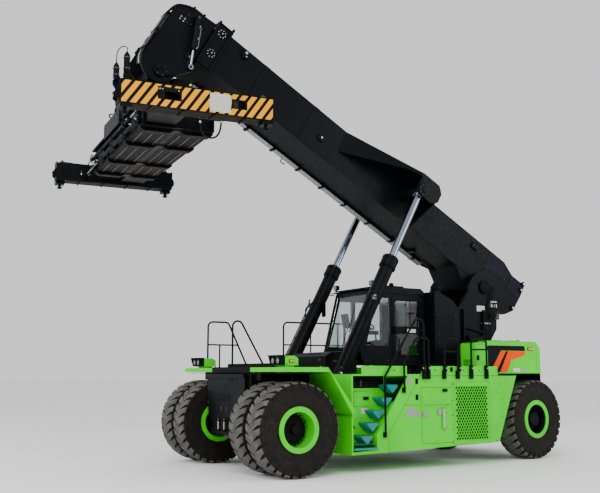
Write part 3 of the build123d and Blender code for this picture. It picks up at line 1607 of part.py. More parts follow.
# --------------------------------------------------------------- lift cylinders
for side_name, side in sides:
    base = Vector(lift_base_x, side * lift_y, lift_base_z)
    along = Vector(*lift_dir)
    with BuildPart() as barrel:
        with BuildSketch(Plane(origin=base + along * 180, z_dir=along)):
            Circle(lift_barrel_radius)
        extrude(amount=lift_barrel_length - 180)
        with BuildSketch(Plane(origin=base, x_dir=(0, 1, 0), z_dir=along)):
            Rectangle(lift_eye_width, 200)
        extrude(amount=190)
        with BuildSketch(Plane(origin=base + along * (lift_barrel_length - 260), z_dir=along)):
            Circle(lift_barrel_radius + 26)
        extrude(amount=230)
        with BuildSketch(Plane(origin=base + along * 260, z_dir=along)):
            Circle(lift_bore_radius)
        extrude(amount=lift_barrel_length, mode=Mode.SUBTRACT)
        with BuildSketch(side_plane(side * lift_y + lift_eye_width / 2)):
            with Locations((base.X, base.Z)):
                Circle(125)
        extrude(amount=lift_eye_width)
        with BuildSketch(side_plane(side * lift_y + lift_bracket_gap + lift_bracket_plate + 10)):
            with Locations((base.X, base.Z)):
                Circle(lift_pin_radius)
        extrude(amount=2 * (lift_bracket_gap + lift_bracket_plate + 10))
        # gland ring that guides the rod
        with BuildSketch(Plane(origin=base + along * (lift_barrel_length - 120), z_dir=along)):
            Circle(lift_barrel_radius)
            Circle(lift_rod_radius + pin_gap, mode=Mode.SUBTRACT)
        extrude(amount=120)
    save(barrel, f"lift_barrel_{side_name}")

    with BuildPart() as rod:
        with BuildSketch(Plane(origin=base + along * (lift_length - 2900), z_dir=along)):
            Circle(lift_rod_radius)
        extrude(amount=2900 - 60)
        with BuildSketch(side_plane(side * lift_y + lift_eye_width / 2)):
            with Locations((eye_x, eye_z)):
                Circle(lift_eye_radius)
                Circle(lift_pin_radius, mode=Mode.SUBTRACT)
        extrude(amount=lift_eye_width)
    save(rod, f"lift_rod_{side_name}")

# --------------------------------------------------- hanger, dampers and rotator
damper_x, damper_z = boom_xz(*damper_eye)
arm_x = hang_x + damper_arm[0]
arm_z = hang_z + damper_arm[1]
ring_radius = 520
hanger_half = boom_half_width - head_plate - 12
with BuildPart() as spreader_hanger:
    with BuildSketch(side_plane(hanger_half)):
        with BuildLine():
            Line((hang_x - 150, hang_z), (hang_x - 330, ring_top + 40))
            Line((hang_x - 330, ring_top + 40), (hang_x + 330, ring_top + 40))
            Line((hang_x + 330, ring_top + 40), (hang_x + 150, hang_z))
            ThreePointArc((hang_x + 150, hang_z), (hang_x, hang_z + 150), (hang_x - 150, hang_z))
        make_face()
    extrude(amount=2 * hanger_half)
    with BuildSketch(Plane.XY.offset(ring_top + 50)):
        with Locations((hang_x, 0)):
            Rectangle(800, 2 * hanger_half - 120)
    extrude(amount=260, mode=Mode.SUBTRACT)
    with BuildSketch(side_plane(hanger_half)):
        with Locations((hang_x, hang_z)):
            Circle(130)
    extrude(amount=2 * hanger_half)
    pin_end = damper_y - 40
    with BuildSketch(side_plane(pin_end)):
        with Locations((hang_x, hang_z)):
            Circle(hang_pin_radius)
    extrude(amount=2 * pin_end)
    with BuildSketch(Plane(origin=(rotator_x, 0, ring_top))):
        Circle(ring_radius)
    extrude(amount=50)
    for side in (1, -1):
        outer = side * pin_end if side > 0 else side * (pin_end - 38)
        with BuildSketch(side_plane(outer)):
            with BuildLine():
                Polyline(
                    (hang_x + 40, hang_z - 110),
                    (hang_x - 300, hang_z - 60),
                    (arm_x - 60, arm_z - 60),
                    (arm_x - 60, arm_z + 60),
                    (hang_x - 260, hang_z + 190),
                    (hang_x + 40, hang_z + 110),
                    close=True,
                )
            make_face()
        extrude(amount=38)
save(spreader_hanger, "spreader_hanger")

damper_run = Vector(arm_x - damper_x, 0, arm_z - damper_z)
damper_dir = damper_run.normalized()
damper_eye_half = 30
with BuildPart() as damper_barrels:
    for side in (1, -1):
        top = Vector(damper_x, side * damper_y, damper_z)
        with BuildSketch(Plane(origin=top + damper_dir * 40, z_dir=damper_dir)):
            Circle(damper_radius)
        extrude(amount=damper_length - 40)
        with BuildSketch(side_plane(side * damper_y + damper_eye_half)):
            with Locations((damper_x, damper_z)):
                Circle(66)
        extrude(amount=2 * damper_eye_half)
        with BuildSketch(Plane(origin=top + damper_dir * 85, z_dir=damper_dir)):
            Circle(damper_rod_radius + 4)
        extrude(amount=damper_length, mode=Mode.SUBTRACT)
        with BuildSketch(Plane(origin=top + damper_dir * (damper_length - 40), z_dir=damper_dir)):
            Circle(damper_radius)
            Circle(damper_rod_radius + pin_gap, mode=Mode.SUBTRACT)
        extrude(amount=40)
        # pin into the boss on the boom's head
        outer = side * (damper_y + 42) if side > 0 else side * (boom_half_width - head_plate)
        with BuildSketch(side_plane(outer)):
            with Locations((damper_x, damper_z)):
                Circle(damper_pin_radius)
        extrude(amount=damper_y + 42 - boom_half_width + head_plate)
save(damper_barrels, "damper_barrels")

with BuildPart() as damper_rods:
    for side in (1, -1):
        foot = Vector(arm_x, side * damper_y, arm_z)
        with BuildSketch(Plane(origin=foot - damper_dir * 40, z_dir=-damper_dir)):
            Circle(damper_rod_radius)
        extrude(amount=damper_run.length - 378)
        with BuildSketch(side_plane(side * damper_y + damper_eye_half)):
            with Locations((arm_x, arm_z)):
                Circle(52)
                Circle(24, mode=Mode.SUBTRACT)
        extrude(amount=2 * damper_eye_half)
save(damper_rods, "damper_rods")

saddle_half_u = tube_u + tube_width / 2 + 40
saddle_half_v = 620
saddle_bottom = rail_top + 5
saddle_top = saddle_bottom + 170
claw_gap = 6
with BuildPart() as rotator:
    # slewing ring and its housing
    with BuildSketch(spreader_plane(saddle_top - 1)):
        Circle(ring_radius - 60)
    extrude(amount=ring_top - saddle_top + 1 - slide_gap)
    with BuildSketch(spreader_plane(ring_top - slide_gap - 90)):
        Circle(ring_radius)
    extrude(amount=90)
    # saddle plate on the rails of the main frame
    with BuildSketch(spreader_plane(saddle_bottom)):
        Rectangle(2 * saddle_half_u + 140, 2 * saddle_half_v)
    extrude(amount=saddle_top - saddle_bottom)
    # claws that reach under the rails
    for front in (1, -1):
        with BuildSketch(spreader_plane(rail_top - 100)):
            with Locations((front * (saddle_half_u + 55), 0)):
                Rectangle(30, 2 * saddle_half_v)
        extrude(amount=saddle_bottom - rail_top + 105)
        with BuildSketch(spreader_plane(rail_top - 100)):
            with Locations((front * (saddle_half_u + 30), 0)):
                Rectangle(80, 2 * saddle_half_v)
        extrude(amount=100 - 30 - slide_gap)
    # two slewing motors
    for v in (-300, 300):
        with BuildSketch(spreader_plane(saddle_top - 1)):
            with Locations((500, v)):
                Circle(95)
        extrude(amount=230)
save(rotator, "rotator")

# --------------------------------------------------------------------- spreader
with BuildPart() as spreader_frame:
    for front in (1, -1):
        with BuildSketch(spreader_cut(-tube_half_v)):
            with Locations((front * tube_u, (tube_bottom + tube_top) / 2)):
                Rectangle(tube_width, tube_top - tube_bottom)
        extrude(amount=-2 * tube_half_v)
    # bands that join the tubes
    for v in (-1750, -700, 700, 1750):
        with BuildSketch(spreader_cut(v - 90)):
            with Locations((0, (tube_bottom + tube_top) / 2)):
                Rectangle(2 * (tube_u + tube_width / 2) + 36, tube_top - tube_bottom + 36)
        extrude(amount=-180)
    with BuildSketch(spreader_plane(tube_bottom)):
        Rectangle(100, 2 * tube_half_v)
    extrude(amount=tube_top - tube_bottom)
    # rails on top for the side shift
    for front in (1, -1):
        with BuildSketch(spreader_plane(tube_top - 5)):
            with Locations((front * (saddle_half_u - 100), 0)):
                Rectangle(100, 2 * tube_half_v - 100)
        extrude(amount=rail_top - tube_top + 5)
        with BuildSketch(spreader_plane(rail_top - 30)):
            with Locations((front * (saddle_half_u - 55), 0)):
                Rectangle(180, 2 * tube_half_v - 100)
        extrude(amount=30)
    # bores of the two tubes
    for front in (1, -1):
        with BuildSketch(spreader_cut(-tube_half_v - 1)):
            with Locations((front * tube_u, (tube_bottom + tube_top) / 2)):
                Rectangle(tube_width - 2 * tube_wall, tube_top - tube_bottom - 2 * tube_wall)
        extrude(amount=-2 * tube_half_v - 2, mode=Mode.SUBTRACT)
    # shelf on the rear tube's left mouth and ledge on its side, which hold the hose's ends
    hose_v = tube_half_v + loop_hose_off
    shelf_u, shelf_z = loop_hose_route[0]
    ledge_u, ledge_z = loop_hose_route[-1]
    with BuildSketch(spreader_cut(tube_half_v - 1)):
        with Locations((shelf_u, (tube_bottom + shelf_z + hose_shelf) / 2)):
            Rectangle(hose_shelf_width, shelf_z + hose_shelf - tube_bottom)
    extrude(amount=-hose_shelf)
    with BuildSketch(spreader_plane(shelf_z)):
        with Locations((shelf_u, (tube_half_v + 2 + hose_v + hose_shelf_width / 2) / 2)):
            Rectangle(hose_shelf_width, hose_v + hose_shelf_width / 2 - tube_half_v - 2)
    extrude(amount=hose_shelf)
    ledge_inner_u = -(tube_u + tube_width / 2) + 2
    ledge_outer_u = ledge_u - hose_shelf_width / 2
    with BuildSketch(spreader_plane(ledge_z)):
        with Locations(((ledge_inner_u + ledge_outer_u) / 2, hose_v - hose_shelf_width / 2)):
            Rectangle(ledge_inner_u - ledge_outer_u, 2 * hose_shelf_width)
    extrude(amount=hose_shelf)
save(spreader_frame, "spreader_frame")

# free hose that hangs in a loop under the left mouth of the rear tube
with BuildPart() as loop_hose:
    with BuildLine(spreader_cut(hose_v)) as hose_line:
        FilletPolyline(*loop_hose_route, radius=loop_hose_bend)
    with BuildSketch(Plane(origin=hose_line.line @ 0, z_dir=hose_line.line % 0)):
        Circle(loop_hose_radius)
    sweep(path=hose_line.line)
save(loop_hose, "loop_hose")

lock_u = lock_spacing_u / 2
lock_v = lock_spacing_v / 2
for side_name, side in sides:
    with BuildPart() as beam:
        slider_w = tube_width - 2 * tube_wall - 2 * slider_gap
        slider_low = tube_bottom + tube_wall + slider_gap
        slider_high = tube_top - tube_wall - slider_gap
        inner_v = end_beam_outer_v - end_beam_width
        with BuildSketch(spreader_side(side * tube_u - slider_w / 2)):
            with BuildLine():
                Polyline(
                    (-side * (tube_half_v - 150), slider_low),
                    (side * (inner_v + 10), slider_low),
                    (side * (inner_v + 10), slider_high),
                    (-side * (tube_half_v - 150), slider_high),
                    close=True,
                )
            make_face()
        extrude(amount=slider_w)
        # wear strips that bear in the tube near its mouth
        with BuildSketch(spreader_side(side * tube_u - slider_w / 2 + 60)):
            with Locations((side * (tube_half_v - 250), (slider_low + slider_high) / 2)):
                Rectangle(300, slider_high - slider_low + 2 * (slider_gap - slide_gap))
        extrude(amount=slider_w - 120)
        # end beam with raised middle and lowered corners
        v_low = side * inner_v
        v_high = side * end_beam_outer_v
        with BuildSketch(spreader_plane(end_beam_bottom)):
            with Locations((0, (v_low + v_high) / 2)):
                Rectangle(2 * end_beam_half_u, end_beam_width)
        extrude(amount=end_beam_top - end_beam_bottom)
        for front in (1, -1):
            with BuildSketch(spreader_plane(housing_bottom)):
                with Locations((front * lock_u, side * lock_v)):
                    Rectangle(2 * (end_beam_half_u - lock_u), 2 * (end_beam_outer_v - lock_v))
            extrude(amount=end_beam_bottom - housing_bottom + 1)
            # bore for the twistlock and a side pocket in the outer face
            with BuildSketch(spreader_plane(housing_bottom - 1)):
                with Locations((front * lock_u, side * lock_v)):
                    Circle(28 + pin_gap)
            extrude(amount=240, mode=Mode.SUBTRACT)
        for u, length in ((430, 230), (-640, 200)):
            with BuildSketch(spreader_cut(side * (end_beam_outer_v + 1))):
                with Locations((side * u, (end_beam_bottom + end_beam_top) / 2 + 10)):
                    RectangleRounded(length, 110, 20)
            extrude(amount=side * (end_beam_width + 2), mode=Mode.SUBTRACT)
    save(beam, f"spreader_beam_{side_name}")

    with BuildPart() as locks:
        for front in (1, -1):
            here = (front * lock_u, side * lock_v)
            with BuildSketch(spreader_plane(housing_bottom - 60)):
                with Locations(here):
                    Circle(28)
            extrude(amount=220)
            # head that turns inside the container's corner, and its nose
            with BuildSketch(spreader_plane(housing_bottom - 62)):
                with Locations(here):
                    RectangleRounded(104, 56, 18)
            extrude(amount=18)
            with BuildSketch(spreader_plane(lock_tip_z)):
                with Locations(here):
                    RectangleRounded(74, 40, 14)
            extrude(amount=housing_bottom - 62 - lock_tip_z)
    save(locks, f"twistlocks_{side_name}")
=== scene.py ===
"""Looks of the container reach stacker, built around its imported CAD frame."""

import json
import math

import bmesh
import bpy
from mathutils import Matrix, Vector


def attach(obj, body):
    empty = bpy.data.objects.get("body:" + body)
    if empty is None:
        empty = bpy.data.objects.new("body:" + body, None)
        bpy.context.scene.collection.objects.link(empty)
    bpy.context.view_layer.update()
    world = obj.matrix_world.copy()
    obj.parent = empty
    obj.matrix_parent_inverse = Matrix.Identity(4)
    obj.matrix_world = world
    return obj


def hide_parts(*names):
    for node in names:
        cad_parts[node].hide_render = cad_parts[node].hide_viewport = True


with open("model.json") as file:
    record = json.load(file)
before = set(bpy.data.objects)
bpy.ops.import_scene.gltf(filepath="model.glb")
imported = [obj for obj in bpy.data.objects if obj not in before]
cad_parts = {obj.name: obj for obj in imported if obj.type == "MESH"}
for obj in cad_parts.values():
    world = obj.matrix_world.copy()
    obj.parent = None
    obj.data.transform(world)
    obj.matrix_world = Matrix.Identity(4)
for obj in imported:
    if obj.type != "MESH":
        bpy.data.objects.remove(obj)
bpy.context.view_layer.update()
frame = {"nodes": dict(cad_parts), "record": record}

# ------------------------------------------------------------------ places, in metres
REAR_AXLE = -4.2
FRONT_AXLE = 1.8
AXLE_Z = 0.805
PIVOT = (REAR_AXLE + 0.47, 3.6)
BOOM_ANGLE = math.radians(29.5)
STEER = math.radians(6.7)
YAW = math.radians(-6.6)
HANG = (8.318, -0.570)
X = Vector((1, 0, 0))
Y = Vector((0, 1, 0))
Z = Vector((0, 0, 1))
SIDES = (("left", 1), ("right", -1))

# ------------------------------------------------------------------------ camera
camera = bpy.data.objects.new("camera", bpy.data.cameras.new("camera"))
camera.data.lens = 52.5
camera.data.sensor_width = 36
camera.data.clip_end = 200
camera.location = (9.48, 14.88, 1.75)
camera.rotation_euler = (math.radians(98.23), 0, math.radians(149.02))
bpy.context.scene.collection.objects.link(camera)
bpy.context.scene.camera = camera

# the boom's own directions from its pivot: x along it, y to the left, z square to it
BOOM = Matrix.Translation((PIVOT[0], 0, PIVOT[1])) @ Matrix.Rotation(-BOOM_ANGLE, 4, "Y")
HANG_AT = BOOM @ Vector((HANG[0], 0, HANG[1]))
SPREADER = Matrix.Translation((HANG_AT.x, 0, 0)) @ Matrix.Rotation(YAW, 4, "Z")


# --------------------------------------------------------------------- materials
def shader(name, color, rough=0.5, metal=0.0, coat=0.0, **more):
    """A Principled material; returns it with its tree and shader node."""
    mat = bpy.data.materials.new(name)
    mat.use_nodes = True
    tree = mat.node_tree
    bsdf = tree.nodes["Principled BSDF"]
    bsdf.inputs["Base Color"].default_value = (*color, 1)
    bsdf.inputs["Roughness"].default_value = rough
    bsdf.inputs["Metallic"].default_value = metal
    bsdf.inputs["Coat Weight"].default_value = coat
    for key, value in more.items():
        bsdf.inputs[key.replace("_", " ")].default_value = value
    return mat, tree, bsdf


def add(tree, kind, values=None, links=None, **props):
    """A node with its properties, socket values and incoming links."""
    node = tree.nodes.new(kind)
    for key, value in props.items():
        setattr(node, key, value)
    for key, value in (values or {}).items():
        node.inputs[key].default_value = value
    for key, source in (links or {}).items():
        tree.links.new(source, node.inputs[key])
    return node


def own_coords(tree):
    """The object's own coordinates."""
    return add(tree, "ShaderNodeTexCoord").outputs["Object"]


def noise(tree, scale, detail, rough, coords):
    """Noise factor over some coordinates."""
    values = {"Scale": scale, "Detail": detail, "Roughness": rough}
    return add(tree, "ShaderNodeTexNoise", values, {"Vector": coords}).outputs["Fac"]


def ramp(tree, source, stops):
    """A colour ramp through the given (place, colour) stops."""
    node = add(tree, "ShaderNodeValToRGB", links={"Fac": source})
    points = node.color_ramp.elements
    while len(points) < len(stops):
        points.new(0.5)
    for point, (place, color) in zip(points, stops):
        point.position = place
        point.color = color if len(color) == 4 else (*color, 1)
    return node.outputs["Color"]


def grey(v):
    """A colour without hue."""
    return (v, v, v)


def faded(color, factor):
    """A colour made darker or lighter, up to full."""
    return tuple(min(1, c * factor) for c in color)


def mix(tree, fac, a, b):
    """Colour mix by a factor; a and b are colours or outputs."""
    node = add(tree, "ShaderNodeMix", data_type="RGBA")
    for key, value in (("Factor", fac), ("A", a), ("B", b)):
        socket = next(s for s in node.inputs if s.name == key and s.enabled)
        if hasattr(value, "is_output"):
            tree.links.new(value, socket)
        elif key == "Factor":
            socket.default_value = value
        else:
            socket.default_value = (*value, 1)
    return next(s for s in node.outputs if s.enabled)


def bump(tree, bsdf, height, strength, distance):
    """Bump from a height output."""
    node = add(tree, "ShaderNodeBump", {"Strength": strength, "Distance": distance}, {"Height": height})
    tree.links.new(node.outputs["Normal"], bsdf.inputs["Normal"])


def paint(name, color, rough, coat, dust=(0.32, 0.29, 0.24), dirt=0.12, shine=0.5):
    """Sprayed machine paint: uneven gloss, fine orange peel, dust and faint streaks."""
    mat, tree, bsdf = shader(name, color, rough, coat=coat, Coat_Roughness=0.12, Specular_IOR_Level=shine)
    coords = own_coords(tree)
    broad = noise(tree, 1.3, 4, 0.6, coords)
    fine = noise(tree, 14, 5, 0.62, coords)
    shade = ramp(tree, broad, ((0.3, faded(color, 0.86)), (0.7, faded(color, 1.1))))
    stretch = add(tree, "ShaderNodeMapping", {"Scale": (9, 9, 0.7)}, {"Vector": coords}).outputs["Vector"]
    streak = noise(tree, 1.0, 4, 0.6, stretch)
    film = ramp(tree, streak, ((0.52, grey(0)), (0.78, grey(dirt))))
    low = add(tree, "ShaderNodeSeparateXYZ", links={"Vector": coords}).outputs["Z"]
    fading = {"From Min": 0.3, "From Max": 1.5, "To Min": dirt * 1.6, "To Max": 0.0}
    height = add(tree, "ShaderNodeMapRange", fading, {"Value": low})
    patch = add(tree, "ShaderNodeMath", links={0: height.outputs["Result"], 1: fine}, operation="MULTIPLY")
    total = add(
        tree, "ShaderNodeMath", links={0: patch.outputs[0], 1: film}, operation="ADD", use_clamp=True,
    )
    tree.links.new(mix(tree, total.outputs[0], shade, dust), bsdf.inputs["Base Color"])
    uneven = ramp(tree, fine, ((0.3, grey(max(0.05, rough - 0.09))), (0.75, grey(rough + 0.13))))
    tree.links.new(uneven, bsdf.inputs["Roughness"])
    peel = noise(tree, 420, 2, 0.5, coords)
    bump(tree, bsdf, peel, 0.06, 0.0006)
    return mat


def metal(name, color, rough=0.3, metallic=1.0, scale=60.0, spread=0.12, relief=0.12, spots=None):
    """Bare or cast metal with uneven roughness and grain."""
    mat, tree, bsdf = shader(name, color, rough, metallic)
    coords = own_coords(tree)
    grain = noise(tree, scale, 5, 0.6, coords)
    broad = noise(tree, scale / 25, 4, 0.6, coords)
    shade = ramp(tree, broad, ((0.35, faded(color, 0.75)), (0.68, color)))
    if spots:
        rusty = noise(tree, scale / 8, 6, 0.7, coords)
        where = ramp(tree, rusty, ((0.55, grey(0)), (0.72, grey(0.7))))
        shade = mix(tree, where, shade, spots)
    tree.links.new(shade, bsdf.inputs["Base Color"])
    uneven = ramp(tree, grain, ((0.3, grey(max(0.04, rough - spread))), (0.7, grey(rough + spread))))
    tree.links.new(uneven, bsdf.inputs["Roughness"])
    bump(tree, bsdf, grain, relief, 0.001)
    return mat


def rubber(name, color, dusty=None, rough=0.78, scale=9.0):
    """Rubber with fine grain, mottling and dust."""
    mat, tree, bsdf = shader(name, color, rough, Specular_IOR_Level=0.14)
    coords = own_coords(tree)
    mottle = noise(tree, scale, 6, 0.65, coords)
    shade = ramp(tree, mottle, ((0.32, faded(color, 0.7)), (0.68, dusty or faded(color, 1.35))))
    tree.links.new(shade, bsdf.inputs["Base Color"])
    uneven = ramp(tree, mottle, ((0.3, grey(rough - 0.12)), (0.7, grey(min(1, rough + 0.12)))))
    tree.links.new(uneven, bsdf.inputs["Roughness"])
    bump(tree, bsdf, noise(tree, 180, 4, 0.6, coords), 0.25, 0.001)
    return mat


def lamp(name, color, glow=0.0):
    """Moulded lens with fine ribs."""
    mat, tree, bsdf = shader(name, color, 0.12, coat=0.8, Transmission_Weight=0.15)
    coords = own_coords(tree)
    wave = add(tree, "ShaderNodeTexWave", {"Scale": 40.0, "Distortion": 0.3}, {"Vector": coords})
    bump(tree, bsdf, wave.outputs["Fac"], 0.35, 0.002)
    cloud = ramp(tree, noise(tree, 30, 3, 0.5, coords), ((0.3, faded(color, 0.8)), (0.7, color)))
    tree.links.new(cloud, bsdf.inputs["Base Color"])
    if glow:
        bsdf.inputs["Emission Color"].default_value = (*color, 1)
        bsdf.inputs["Emission Strength"].default_value = glow
    return mat


def glass(name, color, rough):
    """Tinted safety glass with a faint film."""
    mat, tree, bsdf = shader(name, color, rough, Transmission_Weight=1.0, IOR=1.45)
    coords = own_coords(tree)
    haze = noise(tree, 3.5, 5, 0.6, coords)
    film = ramp(tree, haze, ((0.35, grey(rough)), (0.75, grey(rough + 0.07))))
    tree.links.new(film, bsdf.inputs["Roughness"])
    tint = ramp(tree, noise(tree, 0.8, 2, 0.5, coords), ((0.3, color), (0.7, faded(color, 0.92))))
    tree.links.new(tint, bsdf.inputs["Base Color"])
    return mat


GREEN = paint(
    "green_paint", (0.045, 0.62, 0.008), 0.42, 0.0, dust=(0.07, 0.42, 0.03), dirt=0.08, shine=0.12,
)
BLACK = paint(
    "black_paint", (0.0025, 0.003, 0.0048), 0.42, 0.0, dust=(0.012, 0.0115, 0.011), dirt=0.08, shine=0.07,
)
IRON = metal("grey_iron", (0.03, 0.03, 0.033), 0.55, 0.35, 45, 0.12, 0.3)
SATIN = paint(
    "satin_black", (0.002, 0.0021, 0.0024), 0.5, 0.0, dust=(0.014, 0.013, 0.012), dirt=0.1, shine=0.07,
)
CHROME = metal("chrome", (0.29, 0.33, 0.42), 0.14, 1.0, 25, 0.05, 0.03)
STEEL = metal("zinc_steel", (0.5, 0.51, 0.53), 0.38, 1.0, 70)
TEAL = paint("teal_paint", (0.003, 0.2, 0.185), 0.4, 0.0, shine=0.1)
TYRE = rubber("tyre_rubber", (0.0062, 0.0055, 0.0052), (0.017, 0.014, 0.0115))
HOSE = rubber("hose_rubber", (0.0045, 0.0045, 0.005), rough=0.5)
PLASTIC = rubber("moulded_plastic", (0.022, 0.022, 0.025), rough=0.55, scale=30)
SEAT = rubber("seat_cloth", (0.03, 0.03, 0.036), rough=0.9, scale=60)
GLASS = glass("cab_glass", (0.75, 0.83, 0.84), 0.02)
AMBER = paint("amber_stripe", (0.78, 0.33, 0.0), 0.5, 0.0, dirt=0.05, shine=0.03)
ORANGE = paint("orange_stripe", (0.8, 0.052, 0.0), 0.5, 0.0, dirt=0.05, shine=0.03)
BROWN = paint(
    "underside", (0.009, 0.007, 0.0055), 0.55, 0.0, dust=(0.03, 0.022, 0.017), dirt=0.3, shine=0.05,
)
BLUE = paint(
    "blue_black", (0.0024, 0.0038, 0.0105), 0.4, 0.0, dust=(0.012, 0.014, 0.022), dirt=0.08, shine=0.07,
)
TREAD = rubber("tread_rubber", (0.07, 0.066, 0.06), (0.125, 0.12, 0.112), 0.85, 5.0)
LABEL = paint("blank_plate", (0.5, 0.49, 0.47), 0.4, 0.2, dirt=0.08)
ASH = paint("grey_plate", (0.24, 0.23, 0.245), 0.45, 0.1, dirt=0.08)
LENS = lamp("clear_lens", (0.11, 0.12, 0.13))
AMBER_LENS = lamp("amber_lens", (0.75, 0.29, 0.003), 0.03)
RED_LENS = lamp("red_lens", (0.45, 0.012, 0.01), 0.03)
PIPE = metal("painted_pipe", (0.4, 0.4, 0.42), 0.4, 0.4, 30, 0.1, 0.05)
RUST = metal("bare_iron", (0.08, 0.066, 0.056), 0.5, 0.6, 40, 0.15, 0.3, spots=(0.1, 0.045, 0.02))
# Flat black that stands for shade: painted shade in recesses, holes, vent slots and behind grilles; also
# dark joints and a few small black parts.
SHADOW = paint("shade_and_seam_black", (0.0035, 0.0035, 0.0035), 0.8, 0.0, dust=(0.02, 0.018, 0.016), shine=0.1)
SEAM = paint("seam_green", (0.02, 0.085, 0.012), 0.6, 0.0, dust=(0.03, 0.04, 0.02), shine=0.2)

SLOT_LOOKS = {
    "green_paint": GREEN, "black_paint": BLACK, "grey_iron": IRON, "tyre": TYRE, "glass": GLASS,
    "chrome": CHROME, "teal_paint": TEAL, "seat": SEAT, "console": PLASTIC,
    "hose": HOSE,
}
slots = {row["node"]: row["material_slot"] for row in frame["record"]["subparts"]}
for name, node in frame["nodes"].items():
    node.data.materials.clear()
    node.data.materials.append(SATIN if "hub" in name else SLOT_LOOKS[slots[name]])


# ------------------------------------------------------------------ mesh building
SHARP = 0.62
TINY = 1e-6
CHAMFER = 0.16
BEND_SHARE = 0.48


def around(count, start=0.0):
    """Cosine and sine of evenly spread angles around a circle."""
    angles = [start + 2 * math.pi * i / count for i in range(count)]
    return [(math.cos(a), math.sin(a)) for a in angles]


def skin(bm, rings, turns):
    """Faces between following rings of vertices, a ring of one vertex being a point."""
    for a, b in zip(rings, rings[1:]):
        for i in range(turns):
            j = (i + 1) % turns
            if len(a) == 1 and len(b) == 1:
                continue
            if len(a) == 1:
                bm.faces.new((a[0], b[j], b[i]))
            elif len(b) == 1:
                bm.faces.new((a[i], a[j], b[0]))
            else:
                bm.faces.new((a[i], a[j], b[j], b[i]))


